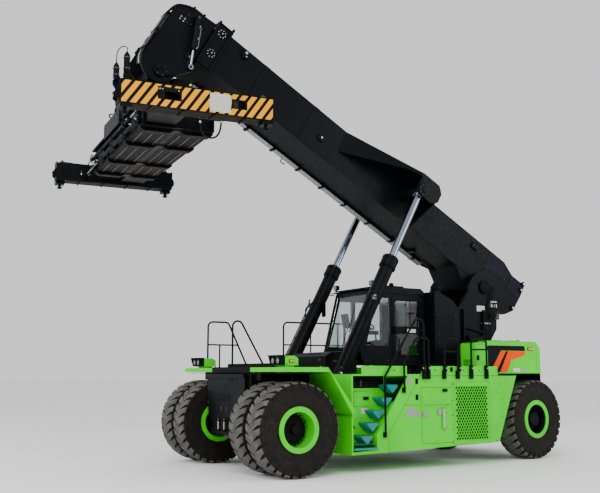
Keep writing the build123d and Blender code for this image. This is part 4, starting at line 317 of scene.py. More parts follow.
class Kit:
    """Gathers shapes in one mesh that rides on a body."""

    def __init__(self, name, body, matrix=None, bevel=0.004):
        self.name = name
        self.body = body
        self.matrix = matrix or Matrix.Identity(4)
        self.bevel = bevel
        self.bm = bmesh.new()
        self.mats = []
        self.current = 0

    def use(self, mat):
        """Following shapes take this material."""
        if mat not in self.mats:
            self.mats.append(mat)
        self.current = self.mats.index(mat)

    def merge(self, bm, matrix=None):
        """Adds a finished shape, moved by a matrix, with its sharp edges marked."""
        for face in bm.faces:
            face.material_index = self.current
            face.smooth = True
        for edge in bm.edges:
            edge.smooth = edge.calc_face_angle(0) < SHARP
        whole = self.matrix @ (matrix or Matrix.Identity(4))
        bmesh.ops.transform(bm, matrix=whole, verts=bm.verts)
        if whole.determinant() < 0:
            bmesh.ops.reverse_faces(bm, faces=bm.faces)
        mesh = bpy.data.meshes.new("part")
        bm.to_mesh(mesh)
        bm.free()
        self.bm.from_mesh(mesh)
        bpy.data.meshes.remove(mesh)

    def prism(self, points, low, high, axis="y", bevel=None, matrix=None):
        """Polygon pushed from low to high along an axis; its points are in the other two axes."""
        bevel = self.bevel if bevel is None else bevel
        bm = bmesh.new()

        def spot(a, b, c):
            return {"x": (c, a, b), "y": (a, c, b), "z": (a, b, c)}[axis]

        near = [bm.verts.new(spot(a, b, low)) for a, b in points]
        far = [bm.verts.new(spot(a, b, high)) for a, b in points]
        bm.faces.new(near)
        bm.faces.new(list(reversed(far)))
        for i in range(len(points)):
            j = (i + 1) % len(points)
            bm.faces.new((near[i], far[i], far[j], near[j]))
        bmesh.ops.recalc_face_normals(bm, faces=bm.faces)
        if bevel:
            look = {"offset": bevel, "segments": 2, "affect": "EDGES", "clamp_overlap": True}
            bmesh.ops.bevel(bm, geom=bm.edges, **look)
        self.merge(bm, matrix)

    def box(self, low, high, bevel=None, matrix=None):
        """Bevelled box between two corners."""
        x, y, z = zip(map(min, low, high), map(max, low, high))
        outline = [(x[0], y[0]), (x[1], y[0]), (x[1], y[1]), (x[0], y[1])]
        self.prism(outline, *z, "z", bevel, matrix)

    def lathe(self, profile, start, way, turns=32, matrix=None):
        """Profile of (distance from start, radius) points turned about a line that runs that way.

        A profile that neither starts nor ends on the line is closed to a ring.
        """
        bm = bmesh.new()
        spin = Vector(way).normalized().to_track_quat("Z", "Y").to_matrix().to_4x4()
        circle = around(turns)
        rings = []
        for z, r in profile:
            corners = circle if r > TINY else [(0, 0)]
            rings.append([bm.verts.new((r * c, r * s, z)) for c, s in corners])
        if len(rings[0]) > 1 and len(rings[-1]) > 1:
            rings.append(rings[0])
        skin(bm, rings, turns)
        bmesh.ops.recalc_face_normals(bm, faces=bm.faces)
        place = Matrix.Translation(start) @ spin
        self.merge(bm, matrix @ place if matrix else place)

    def turn(self, profile, start, way, turns=32):
        """Lathe whose profile is closed by flat faces at both ends."""
        (first, _), (last, _) = profile[0], profile[-1]
        self.lathe([(first, 0), *profile, (last, 0)], start, way, turns)

    def disc(self, start, way, radius, height, turns=32):
        """Plain cylinder."""
        self.turn([(0, radius), (height, radius)], start, way, turns)

    def band(self, start, way, inner, outer, height, turns=32):
        """Flat ring with a bore."""
        self.lathe([(0, inner), (0, outer), (height, outer), (height, inner)], start, way, turns)

    def rod(self, start, end, radius, turns=20, matrix=None):
        """Round bar with small chamfers."""
        way = Vector(end) - Vector(start)
        length = way.length
        c = min(radius, length) * CHAMFER
        half = [(0, 0), (0, radius - c), (c, radius)]
        self.lathe(half + [(length - z, r) for z, r in reversed(half)], start, way, turns, matrix)

    def pipe(self, points, radius, matrix=None, turns=10, bend=0.0):
        """Round tube along points, its corners rounded by bend."""
        path = [Vector(p) for p in points]
        if bend:
            smooth = [path[0]]
            for a, b, c in zip(path, path[1:], path[2:]):
                reach = min(bend, (a - b).length * BEND_SHARE, (c - b).length * BEND_SHARE)
                p, q = b + (a - b).normalized() * reach, b + (c - b).normalized() * reach
                for t in (0, 0.2, 0.4, 0.6, 0.8, 1):
                    smooth.append(p * (1 - t) ** 2 + b * 2 * t * (1 - t) + q * t * t)
            path = smooth + [path[-1]]
        bm = bmesh.new()
        circle = around(turns)
        rings = []
        side = None
        for i, p in enumerate(path):
            ahead = (path[min(i + 1, len(path) - 1)] - path[max(i - 1, 0)]).normalized()
            side = side or ahead.orthogonal().normalized()
            side = (side - ahead * side.dot(ahead)).normalized()
            other = ahead.cross(side)
            rings.append([bm.verts.new(p + (side * c + other * s) * radius) for c, s in circle])
        skin(bm, rings, turns)
        bm.faces.new(list(reversed(rings[0])))
        bm.faces.new(rings[-1])
        bmesh.ops.recalc_face_normals(bm, faces=bm.faces)
        self.merge(bm, matrix)

    def bolt(self, place, normal, radius=0.012, head=0.009, washer=True):
        """Hexagon head on a washer."""
        place, normal = Vector(place), Vector(normal).normalized()
        if washer:
            self.disc(place, normal, radius * 1.45, head * 0.3, 12)
        top = [(head * 0.85, radius), (head, radius * 0.82), (head, 0)]
        self.lathe([(0, 0), (0, radius)] + top, place + normal * head * 0.2, normal, 6)

    def ring(self, centre, normal, radius, count, size=0.012, head=0.009, start=0.0):
        """Bolts around a circle."""
        normal = Vector(normal).normalized()
        side = normal.orthogonal().normalized()
        other = normal.cross(side)
        for c, s in around(count, start):
            self.bolt(Vector(centre) + (side * c + other * s) * radius, normal, size, head)

    def done(self):
        """Makes the object with its materials and rides it on its body; returns it."""
        mesh = bpy.data.meshes.new(self.name)
        self.bm.to_mesh(mesh)
        self.bm.free()
        for mat in self.mats:
            mesh.materials.append(mat)
        obj = bpy.data.objects.new(self.name, mesh)
        bpy.context.scene.collection.objects.link(obj)
        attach(obj, self.body)
        return obj


# -------------------------------------------------------------------------- tyres
PITCHES = 30
TREAD_MIDDLE = 0.055
GROOVE_EDGE = 0.0055
TREAD_FLOOR = 0.76
TYRE_SHARP = 0.5
TREAD_ROWS = (
    # across and radius of the lug's top, then of the groove's floor, from the middle out
    (0.055, 0.8045, 0.055, 0.8043),
    (0.078, 0.804, 0.078, 0.789),
    (0.12, 0.803, 0.12, 0.777),
    (0.165, 0.801, 0.165, 0.773),
    (0.205, 0.796, 0.203, 0.767),
    (0.228, 0.785, 0.221, 0.755),
    (0.241, 0.765, 0.230, 0.738),
    (0.2465, 0.735, 0.2335, 0.714),
    (0.2485, 0.703, 0.2350, 0.700),
    (0.2465, 0.691, 0.2355, 0.690),
)
SIDEWALL = (
    # across and radius, with the moulded ridges
    (0.2362, 0.683), (0.2375, 0.672), (0.2415, 0.669), (0.2415, 0.665), (0.2385, 0.661), (0.2405, 0.64),
    (0.2410, 0.61), (0.2440, 0.607), (0.2440, 0.602), (0.2405, 0.598), (0.2380, 0.56), (0.2320, 0.52),
    (0.2355, 0.517), (0.2350, 0.511), (0.2300, 0.508), (0.2260, 0.48), (0.2215, 0.45), (0.2240, 0.447),
    (0.2225, 0.442), (0.2180, 0.438), (0.2130, 0.412), (0.2080, 0.394), (0.2000, 0.380), (0.1900, 0.350),
)


def tyre_rows():
    """Rows of (across, radius, groove's across and radius, half lug, lug shift) over the section."""
    pitch = 2 * math.pi / PITCHES
    half = []
    for w, top, gw, floor in TREAD_ROWS:
        out = min(1.0, (w - TREAD_MIDDLE) / 0.15)
        half.append((w, top, gw, floor, 0.0985 - 0.031 * out, 0.11 * (w - TREAD_MIDDLE) / 0.19))
    last = half[-1]
    half += [(w, r, w, r, last[4], last[5]) for w, r in SIDEWALL]
    near = [(-w, top, -gw, floor, lug, shift) for w, top, gw, floor, lug, shift in reversed(half)]
    far = [(w, top, gw, floor, lug, shift + pitch / 2) for w, top, gw, floor, lug, shift in half]
    middle = [(0.0, 0.805, 0.0, 0.805, 0.0985, pitch / 4)]
    return near + middle + far


def tyre_mesh(bm, centre, spin):
    """One lugged tyre, its chevrons pointing up in front."""
    pitch = 2 * math.pi / PITCHES
    centre, spin = Vector(centre), Vector(spin).normalized()
    ahead = Z.cross(spin).normalized()
    ahead = ahead if ahead.x > 0 else -ahead
    rings = []
    rows = tyre_rows()
    for w, top, gw, floor, lug, shift in rows:
        ring = []
        for i in range(PITCHES):
            for part in (-lug, -lug / 3, lug / 3, lug, lug + GROOVE_EDGE, pitch - lug - GROOVE_EDGE):
                angle = i * pitch + shift + part
                across, radius = (gw, floor) if part > lug else (w, top)
                turned = ahead * math.cos(angle) + Z * math.sin(angle)
                ring.append(bm.verts.new(centre + spin * across + turned * radius))
        rings.append(ring)
    count = len(rings[0])
    for a, b, row, after in zip(rings, rings[1:], rows, rows[1:]):
        on_tread = min(row[1], after[1]) > TREAD_FLOOR
        for k in range(count):
            j = (k + 1) % count
            face = bm.faces.new((a[k], b[k], b[j], a[j]))
            face.material_index = 1 if on_tread and k % 6 < 3 else 0


def tyres(name, nodes, body, centres, spin):
    """Tyres of one wheel in place of their CAD nodes."""
    mesh = bpy.data.meshes.new(name)
    bm = bmesh.new()
    for centre in centres:
        tyre_mesh(bm, centre, spin)
    bmesh.ops.recalc_face_normals(bm, faces=bm.faces)
    for face in bm.faces:
        face.smooth = True
    for edge in bm.edges:
        edge.smooth = edge.calc_face_angle(0) < TYRE_SHARP
    bm.to_mesh(mesh)
    bm.free()
    mesh.materials.append(TYRE)
    mesh.materials.append(TREAD)
    obj = bpy.data.objects.new(name, mesh)
    bpy.context.scene.collection.objects.link(obj)
    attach(obj, body)
    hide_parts(nodes)


def kingpin(side):
    """Middle of a steered wheel's kingpin and the direction of its axle, outward."""
    out = Vector((-side * math.sin(STEER), side * math.cos(STEER), 0))
    return Vector((REAR_AXLE, side * 1.2, AXLE_Z)), out


for name, side in SIDES:
    centres = [(FRONT_AXLE, side * y, AXLE_Z) for y in (1.225, 1.845)]
    tyres(f"front_tyres_{name}", f"front_{name}_tyres", f"front_wheels_{name}", centres, side * Y)
    base, out = kingpin(side)
    tyres(f"rear_tyre_{name}", f"rear_{name}_tyre", f"rear_wheel_{name}", [base + out * 0.15], out)


# ------------------------------------------------------------------- rims and hubs
def front_hub(side_name, side):
    """Nuts, lock ring, drain plugs and valve of a front hub."""
    kit = Kit(f"front_hub_fittings_{side_name}", f"front_wheels_{side_name}", bevel=0.002)
    out = side * Y

    def at(y, r=0.0, angle=0.0):
        return (FRONT_AXLE + r * math.cos(angle), side * y, AXLE_Z + r * math.sin(angle))

    kit.use(SATIN)
    kit.ring(at(1.812), out, 0.238, 16, 0.011, 0.012)
    kit.ring(at(1.902), out, 0.19, 12, 0.010, 0.010)
    kit.lathe([(0, 0.216), (0, 0.236), (0.014, 0.232), (0.014, 0.216)], at(1.81), out, 48)
    kit.lathe([(0, 0.094), (0, 0.112), (0.008, 0.108), (0.010, 0.094)], at(1.90), out, 40)
    kit.ring(at(1.958), out, 0.07, 6, 0.008, 0.007)
    for angle in (0.6, 2.7, 4.8):
        kit.bolt(at(1.905, 0.145, angle), out, 0.014, 0.012)
    kit.ring(at(1.757), out, 0.285, 24, 0.013, 0.018, 0.07)
    kit.use(GREEN)
    kit.lathe([(0, 0.352), (0, 0.384), (0.007, 0.390), (0.014, 0.386), (0.014, 0.352)], at(2.060), out, 72)
    kit.lathe([(0, 0.330), (0, 0.343), (0.010, 0.340), (0.012, 0.330)], at(2.03), out, 72)
    kit.use(ORANGE)
    kit.rod(at(1.77, 0.31, -1.15), at(1.83, 0.305, -1.15), 0.011, 12)
    kit.use(STEEL)
    kit.rod(at(1.83, 0.305, -1.15), at(1.845, 0.304, -1.15), 0.007, 12)
    kit.done()


def rear_hub(side_name, side):
    """Dark wheel disc with its nuts, cap and valve."""
    base, out = kingpin(side)
    ahead = Z.cross(out).normalized()
    kit = Kit(f"rear_hub_fittings_{side_name}", f"rear_wheel_{side_name}", bevel=0.002)

    def at(far, r=0.0, angle=0.0):
        return base + out * far + (ahead * math.cos(angle) + Z * math.sin(angle)) * r

    kit.use(SATIN)
    kit.lathe([
        (0.0, 0.15), (0.0, 0.298), (0.006, 0.302), (0.010, 0.296), (0.008, 0.25), (0.018, 0.235),
        (0.018, 0.15),
    ], at(0.222), out, 64)
    kit.lathe([
        (0.0, 0.235), (0.112, 0.2985), (0.122, 0.2985), (0.122, 0.288), (0.012, 0.235),
    ], at(0.238), out, 64)
    kit.ring(at(0.240), out, 0.205, 20, 0.014, 0.02)
    kit.lathe([(0, 0.12), (0, 0.150), (0.02, 0.142), (0.05, 0.135), (0.05, 0.12)], at(0.238), out, 48)
    kit.lathe([(0, 0.152), (0, 0.158), (0.085, 0.152), (0.097, 0.14), (0.097, 0)], at(0.223), out, 48)
    kit.ring(at(0.319), out, 0.118, 8, 0.009, 0.008)
    kit.use(GREEN)
    kit.lathe([(0, 0.352), (0, 0.384), (0.006, 0.389), (0.012, 0.384), (0.012, 0.352)], at(0.366), out, 72)
    kit.use(STEEL)
    kit.rod(at(0.235, 0.32, 5.1), at(0.285, 0.315, 5.1), 0.008, 10)
    kit.done()


for side_name, side in SIDES:
    front_hub(side_name, side)
    rear_hub(side_name, side)


# --------------------------------------------------------- front plate and fenders
PLATE_X = 2.171
LAMP_Z = 1.962


def front_end():
    """Front plate lip, tow eyes, axle studs, cross frame and wheel arch liners."""
    kit = Kit("front_plate_fittings", "chassis")
    kit.use(BLUE)
    kit.box((2.085, -0.782, 1.728), (2.2, 0.782, 1.748))
    kit.box((2.182, -0.782, 1.672), (2.2, 0.782, 1.748))
    kit.use(SATIN)
    kit.box((PLATE_X, -0.3, 0.66), (2.182, 0.14, 0.935))
    kit.box((1.28, -0.925, 1.46), (2.11, 0.925, 1.72))
    kit.box((1.62, -0.985, 1.724), (2.064, 0.985, 1.862))
    kit.box((1.62, -0.985, 1.85), (1.64, 0.985, 1.93))
    kit.box((1.3, -0.62, 1.06), (1.36, 0.62, 1.46))
    for side in (1, -1):
        kit.box((1.95, side * 0.8, 1.62), (2.05, side * 1.16, 1.79))
    for y in (-0.6, 0.6):
        kit.prism([(2.17, 0.7), (2.25, 0.72), (2.28, 0.78), (2.25, 0.84), (2.17, 0.87)], y - 0.02, y + 0.02)
        kit.rod((2.235, y - 0.035, 0.78), (2.235, y + 0.035, 0.78), 0.022)
    studs = (-0.205, 0.04)
    kit.use(STEEL)
    for y in studs:
        kit.rod((2.205, y, 0.685), (2.205, y, 0.905), 0.014)
    kit.use(SATIN)
    for y in studs:
        for z in (0.7, 0.88):
            kit.disc((2.205, y, z - 0.015), Z, 0.036, 0.03, 6)
    kit.use(IRON)
    for y in (-0.13, 0.09):
        kit.lathe([
            (0, 0.0), (0, 0.038), (0.016, 0.034), (0.016, 0.018), (0.004, 0.018), (0.004, 0),
        ], (PLATE_X, y, 1.09), X, 24)
    for y in (-0.72, 0.72):
        for z in (0.72, 0.96, 1.2, 1.44, 1.64):
            kit.bolt((PLATE_X, y, z), X, 0.013, 0.011)
    kit.use(SHADOW)
    kit.disc((PLATE_X, 0.27, 1.63), X, 0.03, 0.003, 20)
    kit.box((2.1705, -0.32, 1.36), (2.173, -0.1, 1.362), 0)
    kit.use(SATIN)
    kit.box((PLATE_X, -0.33, 1.24), (2.176, 0.2, 1.36), 0.003)
    kit.done()

    liner = Kit("wheel_arch_liners", "chassis", bevel=0.003)
    for side in (1, -1):
        liner.use(SATIN)
        liner.box((1.26, side * 1.03, 1.742), (2.05, side * 2.05, 1.748))
        liner.box((1.29, side * 1.02, 1.36), (1.31, side * 1.56, 1.744))
        for x in (1.5, 1.8):
            liner.prism([(1.03, 1.742), (1.9, 1.742), (1.03, 1.66)], x - 0.008, x + 0.008, "x")
        liner.use(IRON)
        for x in (1.34, 1.62, 1.95):
            liner.bolt((x, side * 1.98, 1.742), -Z, 0.011, 0.009)
    liner.done()


def headlights():
    """Round lamps, bezels and side markers in the lamp boxes on the fenders."""
    frame["nodes"]["headlights"].data.materials[0] = GREEN
    kit = Kit("headlight_lamps", "chassis", bevel=0.003)
    for side in (1, -1):
        middle = side * 1.64
        kit.use(SHADOW)
        kit.box((1.955, middle - 0.183, 1.888), (2.018, middle + 0.183, 2.036))
        kit.use(SATIN)
        kit.box((1.93, middle - 0.2, 2.047), (2.075, middle + 0.2, 2.057))
        for y in (middle - 0.19, middle + 0.186):
            kit.prism([(1.94, 1.885), (2.02, 1.885), (2.07, 2.05), (1.94, 2.05)], y, y + 0.005, "y", 0.001)
        for offset in (-0.088, 0.088):
            y = middle + offset
            kit.use(SATIN)
            kit.lathe([
                (0, 0.05), (0, 0.072), (0.028, 0.07), (0.032, 0.066), (0.028, 0.06), (0.01, 0.05),
            ], (2.005, y, LAMP_Z), X, 36)
            kit.use(IRON)
            kit.lathe([
                (0, 0.0), (-0.012, 0.02), (0.006, 0.05), (0.018, 0.061), (0.014, 0.062), (-0.016, 0.02),
                (-0.018, 0),
            ], (2.016, y, LAMP_Z), X, 36)
            kit.use(LENS)
            kit.lathe([
                (0.014, 0), (0.02, 0.022), (0.014, 0.044), (0.010, 0.044), (0.010, 0),
            ], (2.016, y, LAMP_Z), X, 36)
        kit.use(SATIN)
        kit.box((1.76, side * 1.83, 1.925), (1.865, side * 1.838, 1.985))
        kit.use(AMBER_LENS)
        kit.box((1.768, side * 1.836, 1.932), (1.857, side * 1.848, 1.978), 0.005)
        kit.use(IRON)
        for x in (1.72, 1.9):
            for z in (1.9, 2.03):
                kit.bolt((x, side * 1.83, z), side * Y, 0.007, 0.005)
        for y in (middle - 0.15, middle + 0.15):
            kit.bolt((1.74, y, 2.046), Z, 0.009, 0.008)
        kit.use(HOSE)
        kit.pipe([
            (1.69, middle, 1.94), (1.64, middle, 1.95), (1.60, middle, 1.9), (1.59, middle, 1.86),
        ], 0.011, bend=0.04)
    kit.done()


def fender_trim():
    """Hinges, seams and anti-slip strips on the fenders."""
    kit = Kit("fender_trim", "chassis", bevel=0.003)
    for side in (1, -1):
        kit.use(SATIN)
        for x in (1.35, 1.55, 1.75, 1.95):
            kit.box((x - 0.035, side * 1.1, 1.838), (x + 0.035, side * 1.4, 1.842))
        kit.use(SEAM)
        kit.box((2.068, side * 1.56, 1.752), (2.0725, side * 1.564, 1.845), 0)
        kit.box((1.24, side * 2.0985, 1.8), (1.244, side * 2.1015, 1.848), 0)
        kit.use(GREEN)
        for x in (1.32, 2.0):
            kit.lathe([(0, 0), (0, 0.022), (0.012, 0.018), (0.014, 0)], (x, side * 1.99, 1.849), Z, 16)
        kit.use(RUST)
        kit.rod((0.92, side * 2.02, 1.846), (0.92, side * 2.02, 1.86), 0.012, 12)
    kit.done()


front_end()
headlights()
fender_trim()


# ----------------------------------------------------------------- side bodies
def clip(poly, axis, value, above):
    """The part of a convex outline on one side of a line."""
    out = []
    for a, b in zip(poly, poly[1:] + poly[:1]):
        a_in = (a[axis] >= value) == above
        b_in = (b[axis] >= value) == above
        if a_in:
            out.append(a)
        if a_in != b_in:
            t = (value - a[axis]) / (b[axis] - a[axis])
            out.append((a[0] + (b[0] - a[0]) * t, a[1] + (b[1] - a[1]) * t))
    return out


def seam(kit, points, face_y, width=0.006, rise=0.0012):
    """Dark joint between panels along points in x and z."""
    for (x0, z0), (x1, z1) in zip(points, points[1:]):
        length = math.hypot(x1 - x0, z1 - z0)
        nx, nz = -(z1 - z0) / length * width / 2, (x1 - x0) / length * width / 2
        outline = [(x0 + nx, z0 + nz), (x1 + nx, z1 + nz), (x1 - nx, z1 - nz), (x0 - nx, z0 - nz)]
        kit.prism(outline, face_y, face_y + math.copysign(rise, face_y), "y", 0)


def window(kit, hole, rim, low, high, bevel):
    """Four flat bars between low and high around an opening, given as x0, x1, z0, z1."""
    x0, x1, z0, z1 = hole
    a0, a1, b0, b1 = rim
    kit.box((a0, low, b0), (x0, high, b1), bevel)
    kit.box((x1, low, b0), (a1, high, b1), bevel)
    kit.box((x0, low, b0), (x1, high, z0), bevel)
    kit.box((x0, low, z1), (x1, high, b1), bevel)


HOLE = around(12)
HOLE_PITCH = 0.061
HOLE_SHARE = 0.455
ROW_PITCH = 0.866


def grille(kit, low, high, face_y):
    """Perforated sheet with staggered round holes over a dark backing."""
    side = math.copysign(1, face_y)
    kit.use(SHADOW)
    kit.box((low[0], face_y, low[1]), (high[0], face_y + side * 0.0015, high[1]), 0)
    kit.use(GREEN)
    rows = round((high[1] - low[1]) / (HOLE_PITCH * ROW_PITCH))
    step = (high[1] - low[1]) / rows
    cols = round((high[0] - low[0]) / HOLE_PITCH)
    wide = (high[0] - low[0]) / cols
    bm = bmesh.new()
    radius = min(wide, step) * HOLE_SHARE
    front, back = face_y + side * 0.007, face_y + side * 0.0015
    for r in range(rows):
        for c in range(cols - (r % 2)):
            cx = low[0] + wide * (c + 0.5 + 0.5 * (r % 2))
            cz = low[1] + step * (r + 0.5)
            outer = []
            for dx, dz in HOLE:
                scale = min(wide / 2 / max(abs(dx), TINY), step / 2 / max(abs(dz), TINY))
                outer.append(bm.verts.new((cx + dx * scale, front, cz + dz * scale)))
            inner = [bm.verts.new((cx + radius * dx, front, cz + radius * dz)) for dx, dz in HOLE]
            deep = [bm.verts.new((v.co.x, back, v.co.z)) for v in inner]
            for k in range(len(HOLE)):
                j = (k + 1) % len(HOLE)
                bm.faces.new((outer[k], outer[j], inner[j], inner[k]))
                bm.faces.new((inner[k], inner[j], deep[j], deep[k]))
        if r % 2:
            for x0, x1 in ((low[0], low[0] + wide / 2), (high[0] - wide / 2, high[0])):
                z0, z1 = low[1] + step * r, low[1] + step * (r + 1)
                spots = ((x0, z0), (x1, z0), (x1, z1), (x0, z1))
                bm.faces.new([bm.verts.new((x, front, z)) for x, z in spots])
    bmesh.ops.recalc_face_normals(bm, faces=bm.faces)
    for face in bm.faces:
        if abs(face.normal.y) > 0.9 and face.normal.y * side < 0:
            face.normal_flip()
    kit.merge(bm)
    edged = (low[0] - 0.018, high[0] + 0.018, low[1] - 0.018, high[1] + 0.018)
    window(kit, (low[0], high[0], low[1], high[1]), edged, face_y, face_y + side * 0.0075, 0.002)


def latch(kit, x, z, face_y, tall=True):
    """Recessed black turn latch."""
    side = math.copysign(1, face_y)
    w, h = (0.033, 0.05) if tall else (0.06, 0.028)
    kit.use(SATIN)
    kit.box((x - w, face_y, z - h), (x + w, face_y + side * 0.006, z + h), 0.004)
    kit.use(SHADOW)
    a, b = w * 0.7, h * 0.7
    kit.box((x - a, face_y + side * 0.005, z - b), (x + a, face_y + side * 0.0075, z + b), 0.002)
    kit.use(SATIN)
    a, b = (w * 0.35, h * 0.6) if tall else (w * 0.6, h * 0.35)
    kit.box((x - a, face_y + side * 0.006, z - b), (x + a, face_y + side * 0.016, z + b), 0.004)


def plate(kit, low, high, face_y, mat):
    """Thin blank plate with small rivets, given by x and z corners."""
    side = math.copysign(1, face_y)
    kit.use(mat)
    kit.box((low[0], face_y, low[1]), (high[0], face_y + side * 0.0025, high[1]), 0.0012)
    kit.use(STEEL)
    for x in (low[0] + 0.012, high[0] - 0.012):
        for z in (low[1] + 0.012, high[1] - 0.012):
            place = (x, face_y + side * 0.0025, z)
            kit.lathe([(0, 0), (0, 0.004), (0.0015, 0.003), (0.002, 0)], place, side * Y, 8)


SKIRT_Y = 2.0
STAIR_Y = 1.7
STAIR_FRONT = 0.69


def side_body(side_name, side):
    """Seams, grille, latches and blank plates of a side body."""
    face = side * SKIRT_Y
    kit = Kit(f"side_body_trim_{side_name}", "chassis", bevel=0.003)
    grille(kit, (-2.49, 0.5), (-1.68, 1.5), face)
    kit.use(SEAM)
    seam(kit, [(-0.84, 1.7), (-0.48, 1.172), (-0.11, 0.67), (-0.106, 0.36)], face)
    seam(kit, [(-0.48, 1.172), (-0.84, 1.166)], face)
    seam(
        kit, [(-1.62, 1.165), (-1.62, 0.42), (-2.55, 0.42), (-2.55, 1.58), (-1.62, 1.58), (-1.62, 1.165)],
        face, 0.004,
    )
    seam(kit, [(-0.84, 1.7), (-3.22, 1.7)], face, 0.008, 0.002)
    for z in (1.6, 1.31):
        latch(kit, -0.76, z, face)
    plate(kit, (-0.65, 1.55), (-0.54, 1.66), face, ASH)
    plate(kit, (-0.71, 0.96), (-0.525, 1.118), face, ASH)
    plate(kit, (-0.845, 0.96), (-0.712, 1.045), face, ASH)
    kit.use(IRON)
    for x, z in (
        (-1.6, 1.545), (-1.655, 1.545), (-1.6, 1.23), (-1.6, 0.96), (-1.6, 0.71), (-1.6, 0.47),
        (-2.83, 1.54), (-2.84, 1.23), (-2.86, 0.9), (-2.7, 0.46),
    ):
        kit.bolt((x, face, z), side * Y, 0.009, 0.007)
    back = side * STAIR_Y
    kit.use(SHADOW)
    kit.box((-0.22, back - side * 0.06, 1.48), (0.68, back + side * 0.004, 1.695), 0)
    kit.use(HOSE)
    for z in (1.54, 1.585):
        kit.pipe([
            (0.02, back + side * 0.03, z), (0.35, back + side * 0.035, z - 0.012),
            (0.68, back + side * 0.03, z),
        ], 0.015)
    kit.use(IRON)
    kit.box((0.3, back + side * 0.003, 1.51), (0.34, back + side * 0.055, 1.62))
    for z in (1.395, 1.215):
        latch(kit, 0.52, z, back)
    plate(kit, (0.13, 1.02), (0.285, 1.12), back, LABEL)
    latch(kit, 0.49, 0.79, back, False)
    kit.use(STEEL)
    kit.turn([(0, 0.024), (0.01, 0.022), (0.012, 0.012)], (0.3, back, 0.93), side * Y, 20)
    kit.use(TEAL)
    kit.box((0.17, side * 1.72, 0.508), (0.66, side * 2.0, 0.512), 0.001)
    for i in range(9):
        x = 0.19 + 0.055 * i
        kit.box((x, side * 1.73, 0.512), (x + 0.012, side * 1.99, 0.518), 0.002)
    kit.done()

    steps = Kit(f"tread_grips_{side_name}", "chassis", bevel=0.0015)
    steps.use(TEAL)
    for ahead, top in ((0.23, 0.65), (0.35, 0.87), (0.48, 1.09), (0.66, 1.31), (0.80, 1.54)):
        for i in range(4):
            x = STAIR_FRONT - ahead - 0.03 - 0.055 * i
            steps.box((x - 0.012, side * 1.715, top - 0.001), (x, side * 1.955, top + 0.005))
        x = STAIR_FRONT - ahead
        steps.box((x - 0.003, side * 1.705, top - 0.03), (x + 0.004, side * 1.965, top + 0.005))
    steps.done()


PULL_X = -1.368


def doors():
    """Latches, seams and the long pull bar on the service and locker doors."""
    kit = Kit("service_door_fittings", "service_door", bevel=0.003)
    face = 2.0245
    latch(kit, -1.41, 1.43, face, False)
    plate(kit, (-1.32, 0.98), (-1.23, 1.09), face, ASH)
    plate(kit, (-0.99, 0.96), (-0.875, 1.045), face, ASH)
    outline = []
    for start, z in ((0, 1.09), (math.pi, 0.73)):
        for c, s in around(16, start)[:9]:
            outline.append((PULL_X + 0.034 * c, z + 0.034 * s))
    kit.use(GREEN)
    kit.prism(outline, face, face + 0.014, "y", 0.004)
    kit.use(PIPE)
    inlay = [(PULL_X + (x - PULL_X) * 0.62, 0.91 + (z - 0.91) * 0.94) for x, z in outline]
    kit.prism(inlay, face + 0.012, face + 0.018, "y", 0.002)
    kit.use(IRON)
    for z in (0.72, 1.1):
        kit.bolt((PULL_X, face + 0.017, z), Y, 0.009, 0.006)
    for z in (0.75, 1.02):
        kit.bolt((-1.43, face, z), Y, 0.008, 0.006)
    kit.use(SEAM)
    seam(kit, [(-1.575, 1.165), (-0.875, 1.165)], face, 0.005)
    kit.done()

    locker = Kit("locker_door_fittings", "locker_door", bevel=0.003)
    latch(locker, 0.19, 1.3, 1.7245, False)
    locker.done()


for side_name, side in SIDES:
    side_body(side_name, side)
doors()


# -------------------------------------------------------------- deck and rear hood
CUPBOARD_Y = 1.7355
DECK_EDGE = 2.001
SOCKET_Y = 2.066


